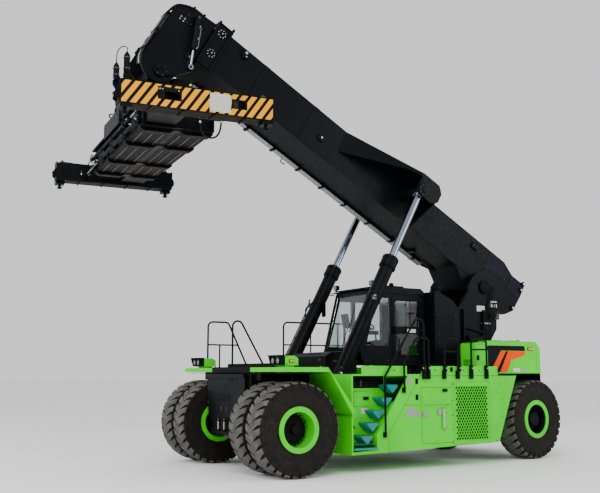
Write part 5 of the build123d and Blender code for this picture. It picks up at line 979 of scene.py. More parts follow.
def deck_fittings():
    """Post sockets, valve box cover, green cupboard and anti-slip strips on the deck."""
    kit = Kit("deck_post_sockets", "chassis", bevel=0.004)
    for side in (1, -1):
        for x in (-0.87, -1.01, -1.42, -1.765, -2.067, -2.45):
            kit.use(SATIN)
            kit.box((x - 0.03, side * DECK_EDGE, 1.775), (x + 0.03, side * SOCKET_Y, 1.9), 0.008)
            kit.use(STEEL)
            kit.bolt((x, side * SOCKET_Y, 1.84), side * Y, 0.009, 0.008)
        kit.use(SATIN)
        kit.box((-1.615, side * DECK_EDGE, 1.775), (-1.565, side * 2.03, 1.86), 0.006)
        kit.use(IRON)
        for x in (-0.25, -0.6, -1.2, -1.9, -2.3):
            kit.bolt((x, side * DECK_EDGE, 1.8), side * Y, 0.01, 0.008)
        kit.use(SATIN)
        for x in (-0.2, -0.55, -0.9, -1.25, -1.6, -1.95):
            kit.box((x - 0.05, side * 1.25, 1.7305), (x + 0.05, side * 1.9, 1.7335), 0.001)
    kit.done()

    cover = Kit("valve_box_cover", "chassis", bevel=0.006)
    cover.use(SATIN)
    cover.prism([
        (-0.365, 1.733), (0.366, 1.733), (0.366, 2.064), (0.243, 2.136), (-0.365, 2.176),
    ], -0.646, 0.646)
    cover.use(BLUE)
    cover.prism([
        (-0.365, 2.172), (0.245, 2.132), (0.37, 2.058), (0.376, 2.066), (0.25, 2.146), (-0.365, 2.186),
    ], -0.652, 0.652, "y", 0.003)
    cover.use(IRON)
    for y in (-0.45, 0.45):
        cover.box((0.366, y - 0.05, 1.98), (0.376, y + 0.05, 2.03))
        cover.bolt((0.376, y, 2.0), X, 0.01, 0.008)
    for x in (-0.2, 0.15):
        cover.box((x - 0.05, 0.646, 1.96), (x + 0.05, 0.654, 2.0), 0.003)
    cover.use(SHADOW)
    for i in range(7):
        z = 1.8 + 0.022 * i
        cover.box((-0.28, 0.6455, z), (0.22, 0.649, z + 0.009), 0)
        cover.box((0.3655, -0.25, z), (0.369, 0.25, z + 0.009), 0)
    cover.done()

    cupboard = Kit("deck_cupboard", "chassis", bevel=0.006)
    for side in (1, -1):
        cupboard.use(GREEN)
        cupboard.box((-2.79, side * 1.32, 1.742), (-2.44, side * 1.735, 2.345), 0.012)
        cupboard.use(SEAM)
        seam(
            cupboard, [(-2.48, 1.78), (-2.48, 2.31), (-2.75, 2.31), (-2.75, 1.78), (-2.48, 1.78)],
            side * CUPBOARD_Y, 0.005,
        )
        latch(cupboard, -2.52, 2.05, side * CUPBOARD_Y)
        for z in (1.86, 2.24):
            cupboard.rod((-2.76, side * 1.742, z - 0.035), (-2.76, side * 1.742, z + 0.035), 0.01, 12)
        cupboard.use(SHADOW)
        for i in range(6):
            cupboard.box((-2.438, side * 1.4, 1.85 + 0.03 * i), (-2.4365, side * 1.65, 1.862 + 0.03 * i), 0)
    cupboard.done()


HOOD_Y = 1.7005
HOOD_TOP = 2.4
VENT_Z = 2.404
PANEL = 0.0025
BACK_X = -5.3505


def rear_hood():
    """Black side panels with two orange bands, blank plates, lamps, vents and hinges."""
    kit = Kit("hood_trim", "chassis", bevel=0.003)
    for side in (1, -1):
        face = side * HOOD_Y

        def flat(points, mat, rise=PANEL):
            kit.use(mat)
            kit.prism(points, face, face + side * rise, "y", 0)

        flat([
            (-2.803, 1.75), (-2.803, 2.265), (-3.83, 2.265), (-3.845, 2.2), (-3.17, 2.2), (-2.85, 1.75),
        ], BLACK)
        flat([(-2.803, 2.262), (-2.803, 2.3), (-3.822, 2.3), (-3.83, 2.262)], BLACK)
        flat([(-3.311, 2.193), (-3.366, 2.193), (-3.128, 1.765), (-3.019, 1.765)], SHADOW, 0.002)
        flat([(-3.174, 2.193), (-3.311, 2.193), (-3.019, 1.765), (-2.858, 1.765)], ORANGE)
        flat([(-3.366, 2.193), (-3.5, 2.193), (-3.44, 1.98), (-3.319, 1.765), (-3.128, 1.765)], ORANGE)
        flat([(-3.49, 2.193), (-3.84, 2.193), (-3.838, 2.118), (-3.468, 2.01)], ORANGE)
        plate(kit, (-3.68, 1.772), (-3.488, 1.852), face, LABEL)
        plate(kit, (-3.877, 1.772), (-3.711, 1.832), face, ASH)
        kit.use(SATIN)
        kit.box((-4.07, face, 2.207), (-3.91, face + side * 0.01, 2.279), 0.004)
        kit.use(AMBER_LENS)
        kit.box((-4.062, face + side * 0.008, 2.214), (-3.918, face + side * 0.026, 2.272), 0.008)
        kit.use(SEAM)
        seam(kit, [(-4.16, 1.76), (-4.16, 2.26)], face, 0.005)
        seam(kit, [(-2.86, 1.75), (-4.26, 1.75)], face, 0.006)
        kit.use(GREEN)
        for x in (-2.95, -3.5, -4.1):
            kit.box((x - 0.05, face + side * PANEL, 1.742), (x + 0.05, face + side * 0.014, 1.762), 0.003)
    for x in (-3.0, -3.45, -3.9):
        for side in (1, -1):
            kit.use(SATIN)
            kit.box((x - 0.17, side * 0.75, HOOD_TOP), (x + 0.17, side * 1.35, VENT_Z), 0.002)
            kit.use(SHADOW)
            for i in range(9):
                y = 0.8 + 0.06 * i
                kit.box((x - 0.14, side * y, VENT_Z), (x + 0.14, side * (y + 0.028), 2.4055), 0)
            kit.use(SATIN)
            for i in range(9):
                y = 0.788 + 0.06 * i
                blade = ((y, VENT_Z), (y + 0.04, 2.424), (y + 0.043, 2.42), (y + 0.012, VENT_Z))
                kit.prism([(side * v, z) for v, z in blade], x - 0.14, x + 0.14, "x", 0)
    kit.use(GREEN)
    kit.box((-5.15, -0.5, HOOD_TOP), (-4.3, 0.5, 2.415), 0.008)
    for y in (-0.42, 0.42):
        kit.prism([
            (-5.0, 2.415), (-4.86, 2.415), (-4.9, 2.49), (-4.96, 2.49),
        ], y - 0.015, y + 0.015, "y", 0.004)
    kit.use(SEAM)
    for x in (-3.22, -3.68, -4.15):
        kit.box((x - 0.003, -1.56, 2.3995), (x + 0.003, 1.56, 2.4012), 0)
    kit.use(IRON)
    for x in (-2.9, -3.35, -3.8, -4.2):
        for y in (-1.5, 1.5):
            kit.bolt((x, y, 2.4005), Z, 0.011, 0.008)
    kit.done()

    rear = Kit("rear_fittings", "chassis", bevel=0.003)
    low, high = 1.83, 2.2
    rear.use(SHADOW)
    rear.box((BACK_X + 0.02, -0.45, low), (BACK_X - 0.001, 0.45, high), 0)
    rear.use(GREEN)
    for i in range(10):
        z = low + 0.037 * i
        rear.prism([
            (BACK_X, z), (BACK_X - 0.012, z - 0.012), (BACK_X - 0.012, z - 0.008), (BACK_X, z + 0.012),
        ], -0.45, 0.45, "y", 0)
    for y in (-0.46, 0.445):
        rear.box((BACK_X + 0.01, y, low - 0.02), (BACK_X - 0.014, y + 0.015, high + 0.02), 0.003)
    for y in (-0.58, 0.58):
        rear.use(SATIN)
        rear.box((BACK_X, y - 0.06, 1.95), (BACK_X - 0.02, y + 0.06, 2.25), 0.006)
        for z, mat in ((1.99, RED_LENS), (2.09, AMBER_LENS), (2.19, LENS)):
            rear.use(mat)
            rear.lathe([
                (0, 0), (0, 0.04), (0.008, 0.038), (0.014, 0.02), (0.015, 0),
            ], (BACK_X - 0.018, y, z), -X, 28)
    rear.use(SATIN)
    rear.box((BACK_X - 0.002, -0.11, 1.76), (BACK_X - 0.03, 0.11, 1.8), 0.004)
    rear.use(LABEL)
    rear.box((BACK_X - 0.002, 0.2, 1.755), (BACK_X - 0.004, 0.38, 1.815), 0.001)
    rear.use(STEEL)
    rear.rod((-5.27, 0, 0.78), (-5.27, 0, 1.03), 0.026, 24)
    rear.pipe([
        (-5.27, 0, 1.03), (-5.27, 0, 1.08), (-5.27, 0.06, 1.09), (-5.27, 0.07, 1.045),
    ], 0.008, bend=0.02)
    rear.use(IRON)
    for y in (-0.6, 0.6):
        for z in (0.8, 1.1, 1.4, 1.62):
            rear.bolt((-5.331, y, z), -X, 0.02, 0.018)
    rear.use(RUST)
    for y in (-0.6, 0.6):
        rear.pipe([
            (-5.1, y - 0.07, 1.74), (-5.1, y - 0.07, 1.8), (-5.1, y + 0.07, 1.8), (-5.1, y + 0.07, 1.74),
        ], 0.016, bend=0.05)
    rear.done()


deck_fittings()
rear_hood()


# -------------------------------------------------------------------------- cab
ROUNDNESS = 5.0
STITCH_DEPTH = 0.011
STITCH_WIDTH = 0.05


def cushion(name, low, high, crown, grooves=0, matrix=None, cuts=26):
    """Stuffed pad between two corners, its top crowned and drawn in along stitched grooves."""
    middle = [(a + b) / 2 for a, b in zip(low, high)]
    half = [(b - a) / 2 for a, b in zip(low, high)]
    bm = bmesh.new()
    bmesh.ops.create_cube(bm, size=2)
    bmesh.ops.subdivide_edges(bm, edges=bm.edges, cuts=cuts, use_grid_fill=True)
    for vert in bm.verts:
        a, b, c = vert.co
        shrink = sum(abs(v) ** ROUNDNESS for v in (a, b, c)) ** (1 / ROUNDNESS)
        a, b, c = a / shrink, b / shrink, c / shrink
        rise = crown * max(0, 1 - a * a) * max(0, 1 - b * b)
        for g in range(grooves):
            spot = (g + 1) / (grooves + 1) * 2 - 1
            stitch = math.exp(-(((b - spot) / STITCH_WIDTH) ** 2))
            rise -= STITCH_DEPTH * stitch * max(0, 1 - a ** 6)
        wave = 0.0015 * math.sin(17 * a + 3) * math.sin(13 * b + 1)
        vert.co = [m + h * v for m, h, v in zip(middle, half, (a, b, c))]
        vert.co.z += (rise + wave) * max(0, c)
    mesh = bpy.data.meshes.new(name)
    for face in bm.faces:
        face.smooth = True
    bmesh.ops.transform(bm, matrix=matrix or Matrix.Identity(4), verts=bm.verts)
    bm.to_mesh(mesh)
    bm.free()
    mesh.materials.append(SEAT)
    obj = bpy.data.objects.new(name, mesh)
    bpy.context.scene.collection.objects.link(obj)
    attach(obj, "chassis")


def piping(kit, low, high, z, radius, matrix=None):
    """Sewn cord around a pad's edge."""
    corner = 0.05
    points = []
    east, north = high[0] - corner, high[1] - corner
    west, south = low[0] + corner, low[1] + corner
    middles = ((east, north), (west, north), (west, south), (east, south))
    for quarter, (cx, cy) in enumerate(middles):
        for c, s in around(16, math.pi / 2 * quarter)[:5]:
            points.append((cx + corner * c, cy + corner * s, z))
    kit.pipe(points + points[:2], radius, matrix, turns=6)


def seat():
    """Operator's seat: suspension base, pan, crowned cushions, armrests and levers."""
    x, floor = -1.43, 1.968
    kit = Kit("seat_base", "chassis", bevel=0.008)
    kit.use(PLASTIC)
    kit.box((x - 0.18, -0.16, floor), (x + 0.18, 0.16, floor + 0.05))
    for i in range(6):
        z = floor + 0.05 + 0.036 * i
        kit.box(
            (x - 0.165 + 0.008 * (i % 2), -0.145, z), (x + 0.165 - 0.008 * (i % 2), 0.145, z + 0.034),
            0.008,
        )
    kit.box((x - 0.2, -0.2, floor + 0.268), (x + 0.22, 0.2, floor + 0.325), 0.012)
    kit.prism([
        (x - 0.24, floor + 0.31), (x - 0.2, floor + 0.31), (x - 0.29, floor + 1.08),
        (x - 0.315, floor + 1.08),
    ], -0.2, 0.2, "y", 0.012)
    kit.use(IRON)
    for side in (1, -1):
        kit.rod((x - 0.2, side * 0.2, floor + 0.3), (x + 0.2, side * 0.2, floor + 0.3), 0.012)
        kit.rod((x - 0.215, side * 0.225, floor + 0.4), (x - 0.215, side * 0.255, floor + 0.4), 0.035)
        kit.pipe([
            (x - 0.1, side * 0.255, floor + 0.36), (x - 0.06, side * 0.275, floor + 0.5),
            (x - 0.06, side * 0.29, floor + 0.6),
        ], 0.016, bend=0.05)
    kit.use(PLASTIC)
    knob = [(0, 0.03), (0.02, 0.026), (0.05, 0.012), (0.09, 0.012)]
    knob += [(0.11, 0.022), (0.16, 0.02), (0.18, 0.01), (0.185, 0)]
    for side in (1, -1):
        kit.box((x - 0.14, side * 0.258, floor + 0.585), (x + 0.235, side * 0.335, floor + 0.625), 0.012)
        kit.lathe(knob, (x + 0.19, side * 0.297, floor + 0.62), (0.01, side * -0.007, 1.38), 20)
        kit.box((x + 0.16, side * 0.262, floor + 0.622), (x + 0.23, side * 0.33, floor + 0.64), 0.006)
    kit.use(HOSE)
    lean = Matrix.Translation((x - 0.17, 0, floor + 0.44)) @ Matrix.Rotation(math.radians(-98), 4, "Y")
    back = lean @ Matrix.Scale(-1, 4, Z)
    piping(kit, (x - 0.22, -0.24), (x + 0.26, 0.24), floor + 0.395, 0.006)
    piping(kit, (0.02, -0.22), (0.62, 0.22), -0.045, 0.006, back)
    kit.use(SHADOW)
    kit.box((x - 0.19, 0.235, floor + 0.33), (x - 0.15, 0.25, floor + 0.42), 0.006)
    kit.pipe([
        (x - 0.19, 0.245, floor + 0.42), (x - 0.24, 0.2, floor + 0.7), (x - 0.25, 0.15, floor + 0.98),
    ], 0.008, turns=6)
    base = kit.done()
    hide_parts("operator_seat")
    cushion("seat_cushion", (x - 0.225, -0.245, floor + 0.33), (x + 0.265, 0.245, floor + 0.44), 0.03, 2)
    cushion("seat_back", (0.02, -0.225, -0.09), (0.62, 0.225, 0.005), 0.03, 2, back)
    cushion("seat_headrest", (0.64, -0.13, -0.07), (0.8, 0.13, 0.0), 0.02, 0, back)
    for name, side in SIDES:
        y, z = side * 0.3, floor + 0.625
        low, high = (x - 0.15, y - 0.036, z), (x + 0.13, y + 0.036, z + 0.04)
        cushion(f"armrest_pad_{name}", low, high, 0.008, cuts=12)


ROOF_Z = 3.462
WALL_Y = 0.69
DOOR_Y = 0.7305
NOSE_X = -0.428
BEACON = (-1.34, 0.5, ROOF_Z)


def cab_fittings():
    """Roof fittings, lamps, mirrors, wiper, strips, bolts and inside trim of the cab."""
    kit = Kit("cab_fittings", "chassis", bevel=0.004)
    kit.use(BLACK)
    kit.box((-1.96, -0.6, ROOF_Z - 0.013), (-0.86, 0.6, ROOF_Z), 0.005)
    for y in (-0.45, -0.15, 0.15, 0.45):
        kit.box((-1.9, y - 0.03, 3.46), (-0.92, y + 0.03, 3.472), 0.005)
    for side in (1, -1):
        kit.use(SATIN)
        kit.box((-2.04, side * WALL_Y, 3.33), (-0.79, side * 0.705, 3.345), 0.003)
        kit.prism([
            (-0.79, 3.41), (-0.62, 3.405), (-0.62, 3.42), (-0.79, 3.447),
        ], side * 0.6, side * WALL_Y, "y", 0.003)
        # work lamp at each roof corner
        kit.box((-0.78, side * 0.62, 3.449), (-0.72, side * 0.67, 3.48))
        kit.rod((-0.75, side * 0.645, 3.47), (-0.75, side * 0.645, 3.5), 0.01, 12)
        kit.box((-0.79, side * 0.58, 3.49), (-0.71, side * 0.71, 3.59), 0.012)
        kit.use(LENS)
        kit.box((-0.712, side * 0.59, 3.5), (-0.704, side * 0.7, 3.58), 0.006)
        kit.use(SATIN)
        # mirror on its arm
        kit.pipe([
            (-0.72, side * WALL_Y, 3.38), (-0.6, side * 0.8, 3.4), (-0.56, side * 0.86, 3.3),
            (-0.56, side * 0.86, 3.0),
        ], 0.011, bend=0.06)
        kit.box((-0.575, side * 0.79, 2.93), (-0.545, side * 0.93, 3.22), 0.014)
        kit.use(CHROME)
        kit.box((-0.578, side * 0.802, 2.945), (-0.5755, side * 0.918, 3.205), 0.001)
    # beacon, aerial and air conditioner
    kit.use(SATIN)
    kit.turn([(0, 0.07), (0.025, 0.07), (0.03, 0.055)], BEACON, Z, 32)
    kit.lathe([(0.03, 0.052), (0.09, 0.05), (0.115, 0.035), (0.122, 0)], BEACON, Z, 32)
    kit.rod((-1.75, -0.6, 3.46), (-1.75, -0.6, 3.85), 0.005, 8)
    kit.turn([(0, 0.02), (0.03, 0.014)], (-1.75, -0.6, 3.46), Z, 16)
    kit.box((-1.9, -0.35, 3.47), (-1.3, 0.25, 3.56), 0.03)
    kit.use(SHADOW)
    for i in range(8):
        kit.box((-1.3, -0.3 + 0.065 * i, 3.49), (-1.297, -0.26 + 0.065 * i, 3.54), 0)
    # wiper on the windscreen
    slope = Matrix.Translation((-0.436, 0, 2.24)) @ Matrix.Rotation(math.atan2(-0.31, 1.22), 4, "Y")
    kit.use(SATIN)
    kit.rod((0.0, 0.05, -0.03), (0.035, 0.05, -0.03), 0.02, 16, matrix=slope)
    kit.pipe([(0.03, 0.05, -0.03), (0.035, 0.1, 0.3), (0.028, 0.2, 0.62)], 0.007, slope, turns=8)
    kit.box((0.012, 0.19, 0.32), (0.026, 0.206, 0.92), 0.003, slope)
    kit.box((-0.005, -0.62, -0.012), (0.01, 0.62, 0.012), 0.003, slope)
    # nose panel with its bolts and vents
    kit.box((-0.44, -0.6, 1.95), (NOSE_X, 0.6, 2.18))
    kit.use(IRON)
    for y in (-0.56, 0.56):
        for z in (1.99, 2.14):
            kit.bolt((NOSE_X, y, z), X, 0.01, 0.008)
    kit.use(SHADOW)
    for i in range(5):
        kit.box((-0.429, -0.45, 1.98 + 0.035 * i), (-0.4265, 0.45, 1.992 + 0.035 * i), 0)
    for side in (1, -1):
        face = side * WALL_Y
        # window post and sill strips
        kit.use(SATIN)
        kit.box((-1.2, face, 1.95), (-1.19, face + side * 0.008, 3.28), 0.003)
        kit.use(IRON)
        for x in (-2.0, -1.08, -0.56):
            kit.bolt((x, face, 2.0), side * Y, 0.01, 0.008)
        kit.use(BLACK)
        kit.box((-1.13, face, 2.205), (-0.5, face + side * 0.006, 2.225), 0.002)
    # inside: overhead console and fire extinguisher
    kit.use(PLASTIC)
    kit.box((-1.1, -0.5, 3.345), (-0.86, 0.5, 3.39), 0.012)
    # the extinguisher takes the red lens material and with it a faint painted glow
    kit.use(RED_LENS)
    kit.turn([(0, 0.05), (0.28, 0.05), (0.32, 0.03), (0.35, 0.02)], (-1.93, -0.52, 1.98), Z, 24)
    kit.use(PLASTIC)
    kit.rod((-1.93, -0.52, 2.33), (-1.93, -0.52, 2.37), 0.016, 12)
    kit.done()

    door = Kit("cab_door_fittings", "cab_door", bevel=0.003)
    face = DOOR_Y
    door.use(SATIN)
    door.box((-1.27, face, 2.54), (-1.225, face + 0.012, 2.68), 0.004)
    door.pipe([
        (-1.247, face + 0.008, 2.56), (-1.247, face + 0.045, 2.575), (-1.247, face + 0.045, 2.65),
        (-1.247, face + 0.008, 2.665),
    ], 0.008, bend=0.015)
    door.box((-1.635, face, 2.69), (-1.615, face + 0.008, 3.2), 0.003)
    door.box((-1.73, face, 2.945), (-1.62, face + 0.014, 2.975), 0.004)
    door.pipe([
        (-1.3, face + 0.008, 2.1), (-1.3, face + 0.05, 2.13), (-1.3, face + 0.05, 2.42),
        (-1.3, face + 0.008, 2.45),
    ], 0.011, bend=0.03)
    plate(door, (-1.77, 2.56), (-1.55, 2.635), face, LABEL)
    door.use(SATIN)
    for x0, x1, z0, z1 in ((-1.9, -1.26, 2.68, 3.215), (-1.875, -1.285, 2.11, 2.55)):
        rim = (x0 - 0.012, x1 + 0.012, z0 - 0.012, z1 + 0.012)
        window(door, (x0, x1, z0, z1), rim, face - 0.001, face + 0.004, 0.001)
    door.use(IRON)
    for z in (2.06, 2.62, 3.235):
        for x in (-1.93, -1.23):
            door.bolt((x, face, z), Y, 0.008, 0.005)
    door.done()


def console_trim():
    """Display face, switches and stalk on the control console."""
    kit = Kit("console_trim", "chassis", bevel=0.002)
    kit.use(SHADOW)
    kit.box((-0.93, -0.13, 2.57), (-0.85, 0.13, 2.575), 0)
    for i in range(5):
        kit.use(LABEL if i % 2 else RED_LENS)
        kit.box((-0.915, -0.12 + 0.05 * i, 2.575), (-0.89, -0.095 + 0.05 * i, 2.585), 0.003)
    kit.use(PLASTIC)
    kit.pipe([(-0.93, 0.1, 2.55), (-0.98, 0.14, 2.64), (-0.99, 0.2, 2.67)], 0.006, turns=8)
    kit.done()


seat()
cab_fittings()
console_trim()


# --------------------------------------------------------------------- spreader
BEAM_FACE = 3.03
BEAM_HALF = 1.2195
STRIPE_LOW, STRIPE_HIGH = 5.712, 6.048
STRIPE_RISE = 0.002
SPECK = 1e-5
LOCK_V = 2.865
VALVE_V = 2.74
SKID_Z = 5.655
CYLINDER_U = 0.665
CYLINDER_Z = {1: 5.985, -1: 5.82}


def stripes(kit, face, side, holes):
    """Slanted amber bands on an end beam's outer face, cut around its holes and plate."""
    pitch, width, lean = 0.154, 0.093, 0.235
    kit.use(AMBER)
    for k in range(-2, 17):
        u = 0.907 - pitch * k
        top = [(u, STRIPE_HIGH), (u + width, STRIPE_HIGH)]
        foot = [(u + width + lean, STRIPE_LOW), (u + lean, STRIPE_LOW)]
        band = [(side * u, z) for u, z in top + foot]
        band = clip(clip(band, 0, -BEAM_HALF + 0.012, True), 0, BEAM_HALF - 0.012, False)
        pieces = [band] if len(band) > 2 else []
        for u0, u1, z0, z1 in holes:
            split = []
            for piece in pieces:
                split.append(clip(piece, 0, u0, False))
                split.append(clip(piece, 0, u1, True))
                middle = clip(clip(piece, 0, u0, True), 0, u1, False) if len(piece) > 2 else []
                if len(middle) > 2:
                    split.append(clip(middle, 1, z0, False))
                    split.append(clip(middle, 1, z1, True))
            pieces = [p for p in split if len(p) > 2 and outline_area(p) > SPECK]
        for piece in pieces:
            kit.prism(piece, face, face + side * STRIPE_RISE, "y", 0)


def outline_area(points):
    """Area inside an outline."""
    total = 0
    for (x0, y0), (x1, y1) in zip(points, points[1:] + points[:1]):
        total += x0 * y1 - x1 * y0
    return abs(total) / 2


def end_beam(side_name, side):
    """Stripes, plate, lamps, canisters and lock fittings of an end beam."""
    face = side * BEAM_FACE
    kit = Kit(f"end_beam_fittings_{side_name}", f"beam_{side_name}", SPREADER, 0.003)

    def spot(u0, u1, z0, z1):
        return (*sorted((side * u0, side * u1)), z0, z1)

    front_rim, front_hole = spot(0.285, 0.66, 5.82, 6.02), spot(0.313, 0.547, 5.834, 5.951)
    rear_rim, rear_hole = spot(-0.775, -0.515, 5.815, 5.97), spot(-0.742, -0.538, 5.834, 5.951)
    note = spot(-0.505, -0.16, 5.735, 6.025)
    stripes(kit, face, side, (front_rim, rear_rim, note))
    kit.use(SHADOW)
    window(kit, front_hole, front_rim, face, face + side * 0.0035, 0.003)
    window(kit, rear_hole, rear_rim, face, face + side * 0.0035, 0.003)
    kit.use(STEEL)
    for u in (front_rim[0] + 0.05, front_rim[1] - 0.03, front_rim[1] - 0.07):
        kit.turn([(0, 0.014), (0.008, 0.012)], (u, face + side * 0.002, 5.98), side * Y, 12)
    plate(kit, (note[0], note[2]), (note[1], note[3]), face, LABEL)
    kit.use(SATIN)
    kit.box((-BEAM_HALF, face, 5.699), (BEAM_HALF, face + side * 0.004, STRIPE_LOW), 0.001)
    kit.box((-BEAM_HALF, face, STRIPE_HIGH), (BEAM_HALF, face + side * 0.004, 6.066), 0.001)
    kit.use(BROWN)
    kit.box((-1.02, side * 2.72, 5.697), (1.02, side * 3.01, 5.7005), 0)
    kit.use(SATIN)
    for u in (-0.75, -0.25, 0.25, 0.75):
        kit.box((u - 0.012, side * 2.72, 5.675), (u + 0.012, side * 3.01, 5.7), 0.002)
    kit.use(IRON)
    for u in (-1.1, 1.1):
        for v in (2.745, 2.985):
            kit.bolt((u + 0.06, side * v, 6.065), Z, 0.012, 0.01)
            kit.bolt((u - 0.06, side * v, 6.065), Z, 0.012, 0.01)
        kit.turn([
            (0, 0.085), (0.012, 0.085), (0.02, 0.07), (0.02, 0.05), (0.06, 0.045), (0.066, 0.03),
        ], (u, side * LOCK_V, 6.063), Z, 28)
        kit.rod((u, side * LOCK_V, 6.12), (u, side * LOCK_V, 6.15), 0.02)
        kit.box((u, side * 2.845, 6.1), (u - math.copysign(0.2, u), side * 2.885, 6.118))
    kit.use(CHROME)
    kit.rod((-0.2, side * LOCK_V, 6.092), (0.2, side * LOCK_V, 6.092), 0.012)
    kit.use(SATIN)
    kit.rod((-0.62, side * LOCK_V, 6.092), (-0.18, side * LOCK_V, 6.092), 0.025, 24)
    kit.rod((0.2, side * LOCK_V, 6.092), (0.95, side * LOCK_V, 6.104), 0.010)
    kit.rod((-0.95, side * LOCK_V, 6.104), (-0.6, side * LOCK_V, 6.092), 0.010)
    kit.box((-0.5, side * 2.82, 6.064), (-0.44, side * 2.91, 6.09))
    kit.box((-0.32, side * 2.82, 6.064), (-0.26, side * 2.91, 6.09))

    # landing pins, work lamps and guards at the front and rear corners
    for end in (1, -1):
        tip = end * BEAM_HALF
        kit.use(BLUE)
        kit.box((tip, side * 2.73, 5.72), (tip + end * 0.012, side * 2.99, 6.1), 0.002)
        kit.use(SATIN)
        for v in (2.78, 2.94):
            fin = ((0.01, 5.76), (0.065, 5.8), (0.065, 5.9), (0.01, 5.98))
            kit.prism([(tip + end * u, z) for u, z in fin], side * v - 0.006, side * v + 0.006, "y", 0.002)
        place, way = (tip + end * 0.02, side * 2.86, 5.86), (end * 0.98, 0, -0.26)
        kit.lathe([
            (0, 0), (0, 0.033), (0.05, 0.042), (0.06, 0.042), (0.062, 0.036), (0.05, 0),
        ], place, way, 24)
        kit.use(LENS)
        kit.lathe([(0.05, 0), (0.064, 0.02), (0.06, 0.036), (0.05, 0.036)], place, way, 24)
        kit.use(IRON)
        for v in (2.76, 2.96):
            for z in (5.76, 6.03):
                kit.bolt((tip + end * 0.012, side * v, z), end * X, 0.01, 0.008)
    if side > 0:
        kit.use(BLUE)
        kit.box((1.03, 2.84, 6.065), (1.3, 2.96, 6.08))
        kit.prism([(1.222, 6.07), (1.31, 6.07), (1.31, 6.0), (1.222, 5.86)], 2.86, 2.875, "y", 0.002)
        kit.use(SATIN)
        for u, low, high, radius in ((1.11, 6.19, 6.5, 0.047), (1.265, 6.07, 6.31, 0.045)):
            tall = high - low
            can = [(0, 0), (0, radius * 0.8), (0.02, radius), (tall - 0.03, radius)]
            can += [(tall, radius * 0.6), (tall + 0.02, radius * 0.35), (tall + 0.035, 0)]
            kit.lathe(can, (u, 2.9, low), Z, 28)
            kit.use(IRON)
            for z in (low + 0.06, high - 0.08):
                kit.band((u, 2.9, z), Z, radius, radius + 0.006, 0.02, 28)
            kit.use(SATIN)
        kit.rod((1.11, 2.9, 6.08), (1.11, 2.9, 6.2), 0.022)
        kit.box((1.06, 2.87, 6.13), (1.16, 2.93, 6.17))
        kit.use(HOSE)
        kit.pipe([
            (1.11, 2.9, 6.53), (1.11, 2.905, 6.6), (1.19, 2.91, 6.6), (1.265, 2.905, 6.5),
            (1.265, 2.9, 6.34),
        ], 0.008, bend=0.05, turns=8)
        kit.pipe([
            (1.11, 2.87, 6.2), (1.06, 2.8, 6.25), (1.0, 2.76, 6.2), (0.9, 2.75, 6.1), (0.7, 2.74, 6.07),
        ], 0.011, bend=0.06, turns=8)
        kit.pipe([
            (1.265, 2.86, 6.1), (1.2, 2.8, 6.12), (1.05, 2.77, 6.11), (0.8, 2.76, 6.08),
        ], 0.009, bend=0.05, turns=8)
    kit.done()

    inner = Kit(f"end_beam_inner_fittings_{side_name}", f"beam_{side_name}", SPREADER, 0.003)
    back = side * 2.7
    inner.use(SHADOW)
    for u in (1.05, -1.0):
        inner.box((u - 0.075, back, 5.79), (u + 0.075, back - side * 0.004, 5.95), 0.002)
    inner.use(SATIN)
    for u in (1.05, -1.0):
        window(
            inner, (u - 0.07, u + 0.07, 5.8, 5.94), (u - 0.09, u + 0.09, 5.78, 5.96), back - side * 0.009,
            back, 0.003,
        )
    inward = Matrix.Translation((0, back, 0)) @ Matrix.Scale(-side, 4, Y)
    for u in (0.66, -0.66):
        inner.prism([
            (0, 5.72), (0.0, 6.05), (0.12, 6.05), (0.02, 5.72),
        ], u - 0.01, u + 0.01, "x", 0.002, inward)
    inner.use(STEEL)
    for u, z in ((0.24, 6.075), (0.34, 6.085), (0.45, 6.075), (0.58, 6.085), (-0.3, 6.075)):
        inner.rod((u, side * VALVE_V, 6.066), (u, side * VALVE_V, z + 0.02), 0.014, 12)
        inner.disc((u, side * VALVE_V, z), Z, 0.02, 0.02, 6)
    inner.use(HOSE)
    inner.pipe([
        (0.24, side * VALVE_V, 6.09), (0.26, side * 2.68, 6.115), (0.36, side * 2.6, 6.11),
        (0.36, side * 2.5, 6.105),
    ], 0.012, bend=0.05)
    inner.pipe([
        (0.45, side * VALVE_V, 6.09), (0.46, side * 2.68, 6.11), (0.5, side * 2.6, 6.105),
        (0.5, side * 2.5, 6.1),
    ], 0.010, bend=0.05)
    inner.use(SATIN)
    for u in (0.32, -0.32):
        for low, high in ((5.7, 5.745), (6.04, 6.066)):
            inner.box((u - 0.2, back, low), (u + 0.2, back - side * 0.03, high), 0.004)
    z = CYLINDER_Z[side]
    inner.use(CHROME)
    inner.rod((CYLINDER_U, side * 1.3, z), (CYLINDER_U, side * 2.66, z), 0.021)
    inner.use(SATIN)
    inner.box((0.6, side * 2.64, 5.76), (0.72, side * 2.7, 6.05))
    inner.turn([(0, 0.04), (0.05, 0.04), (0.06, 0.03)], (CYLINDER_U, side * 2.59, z), side * Y, 20)
    inner.done()


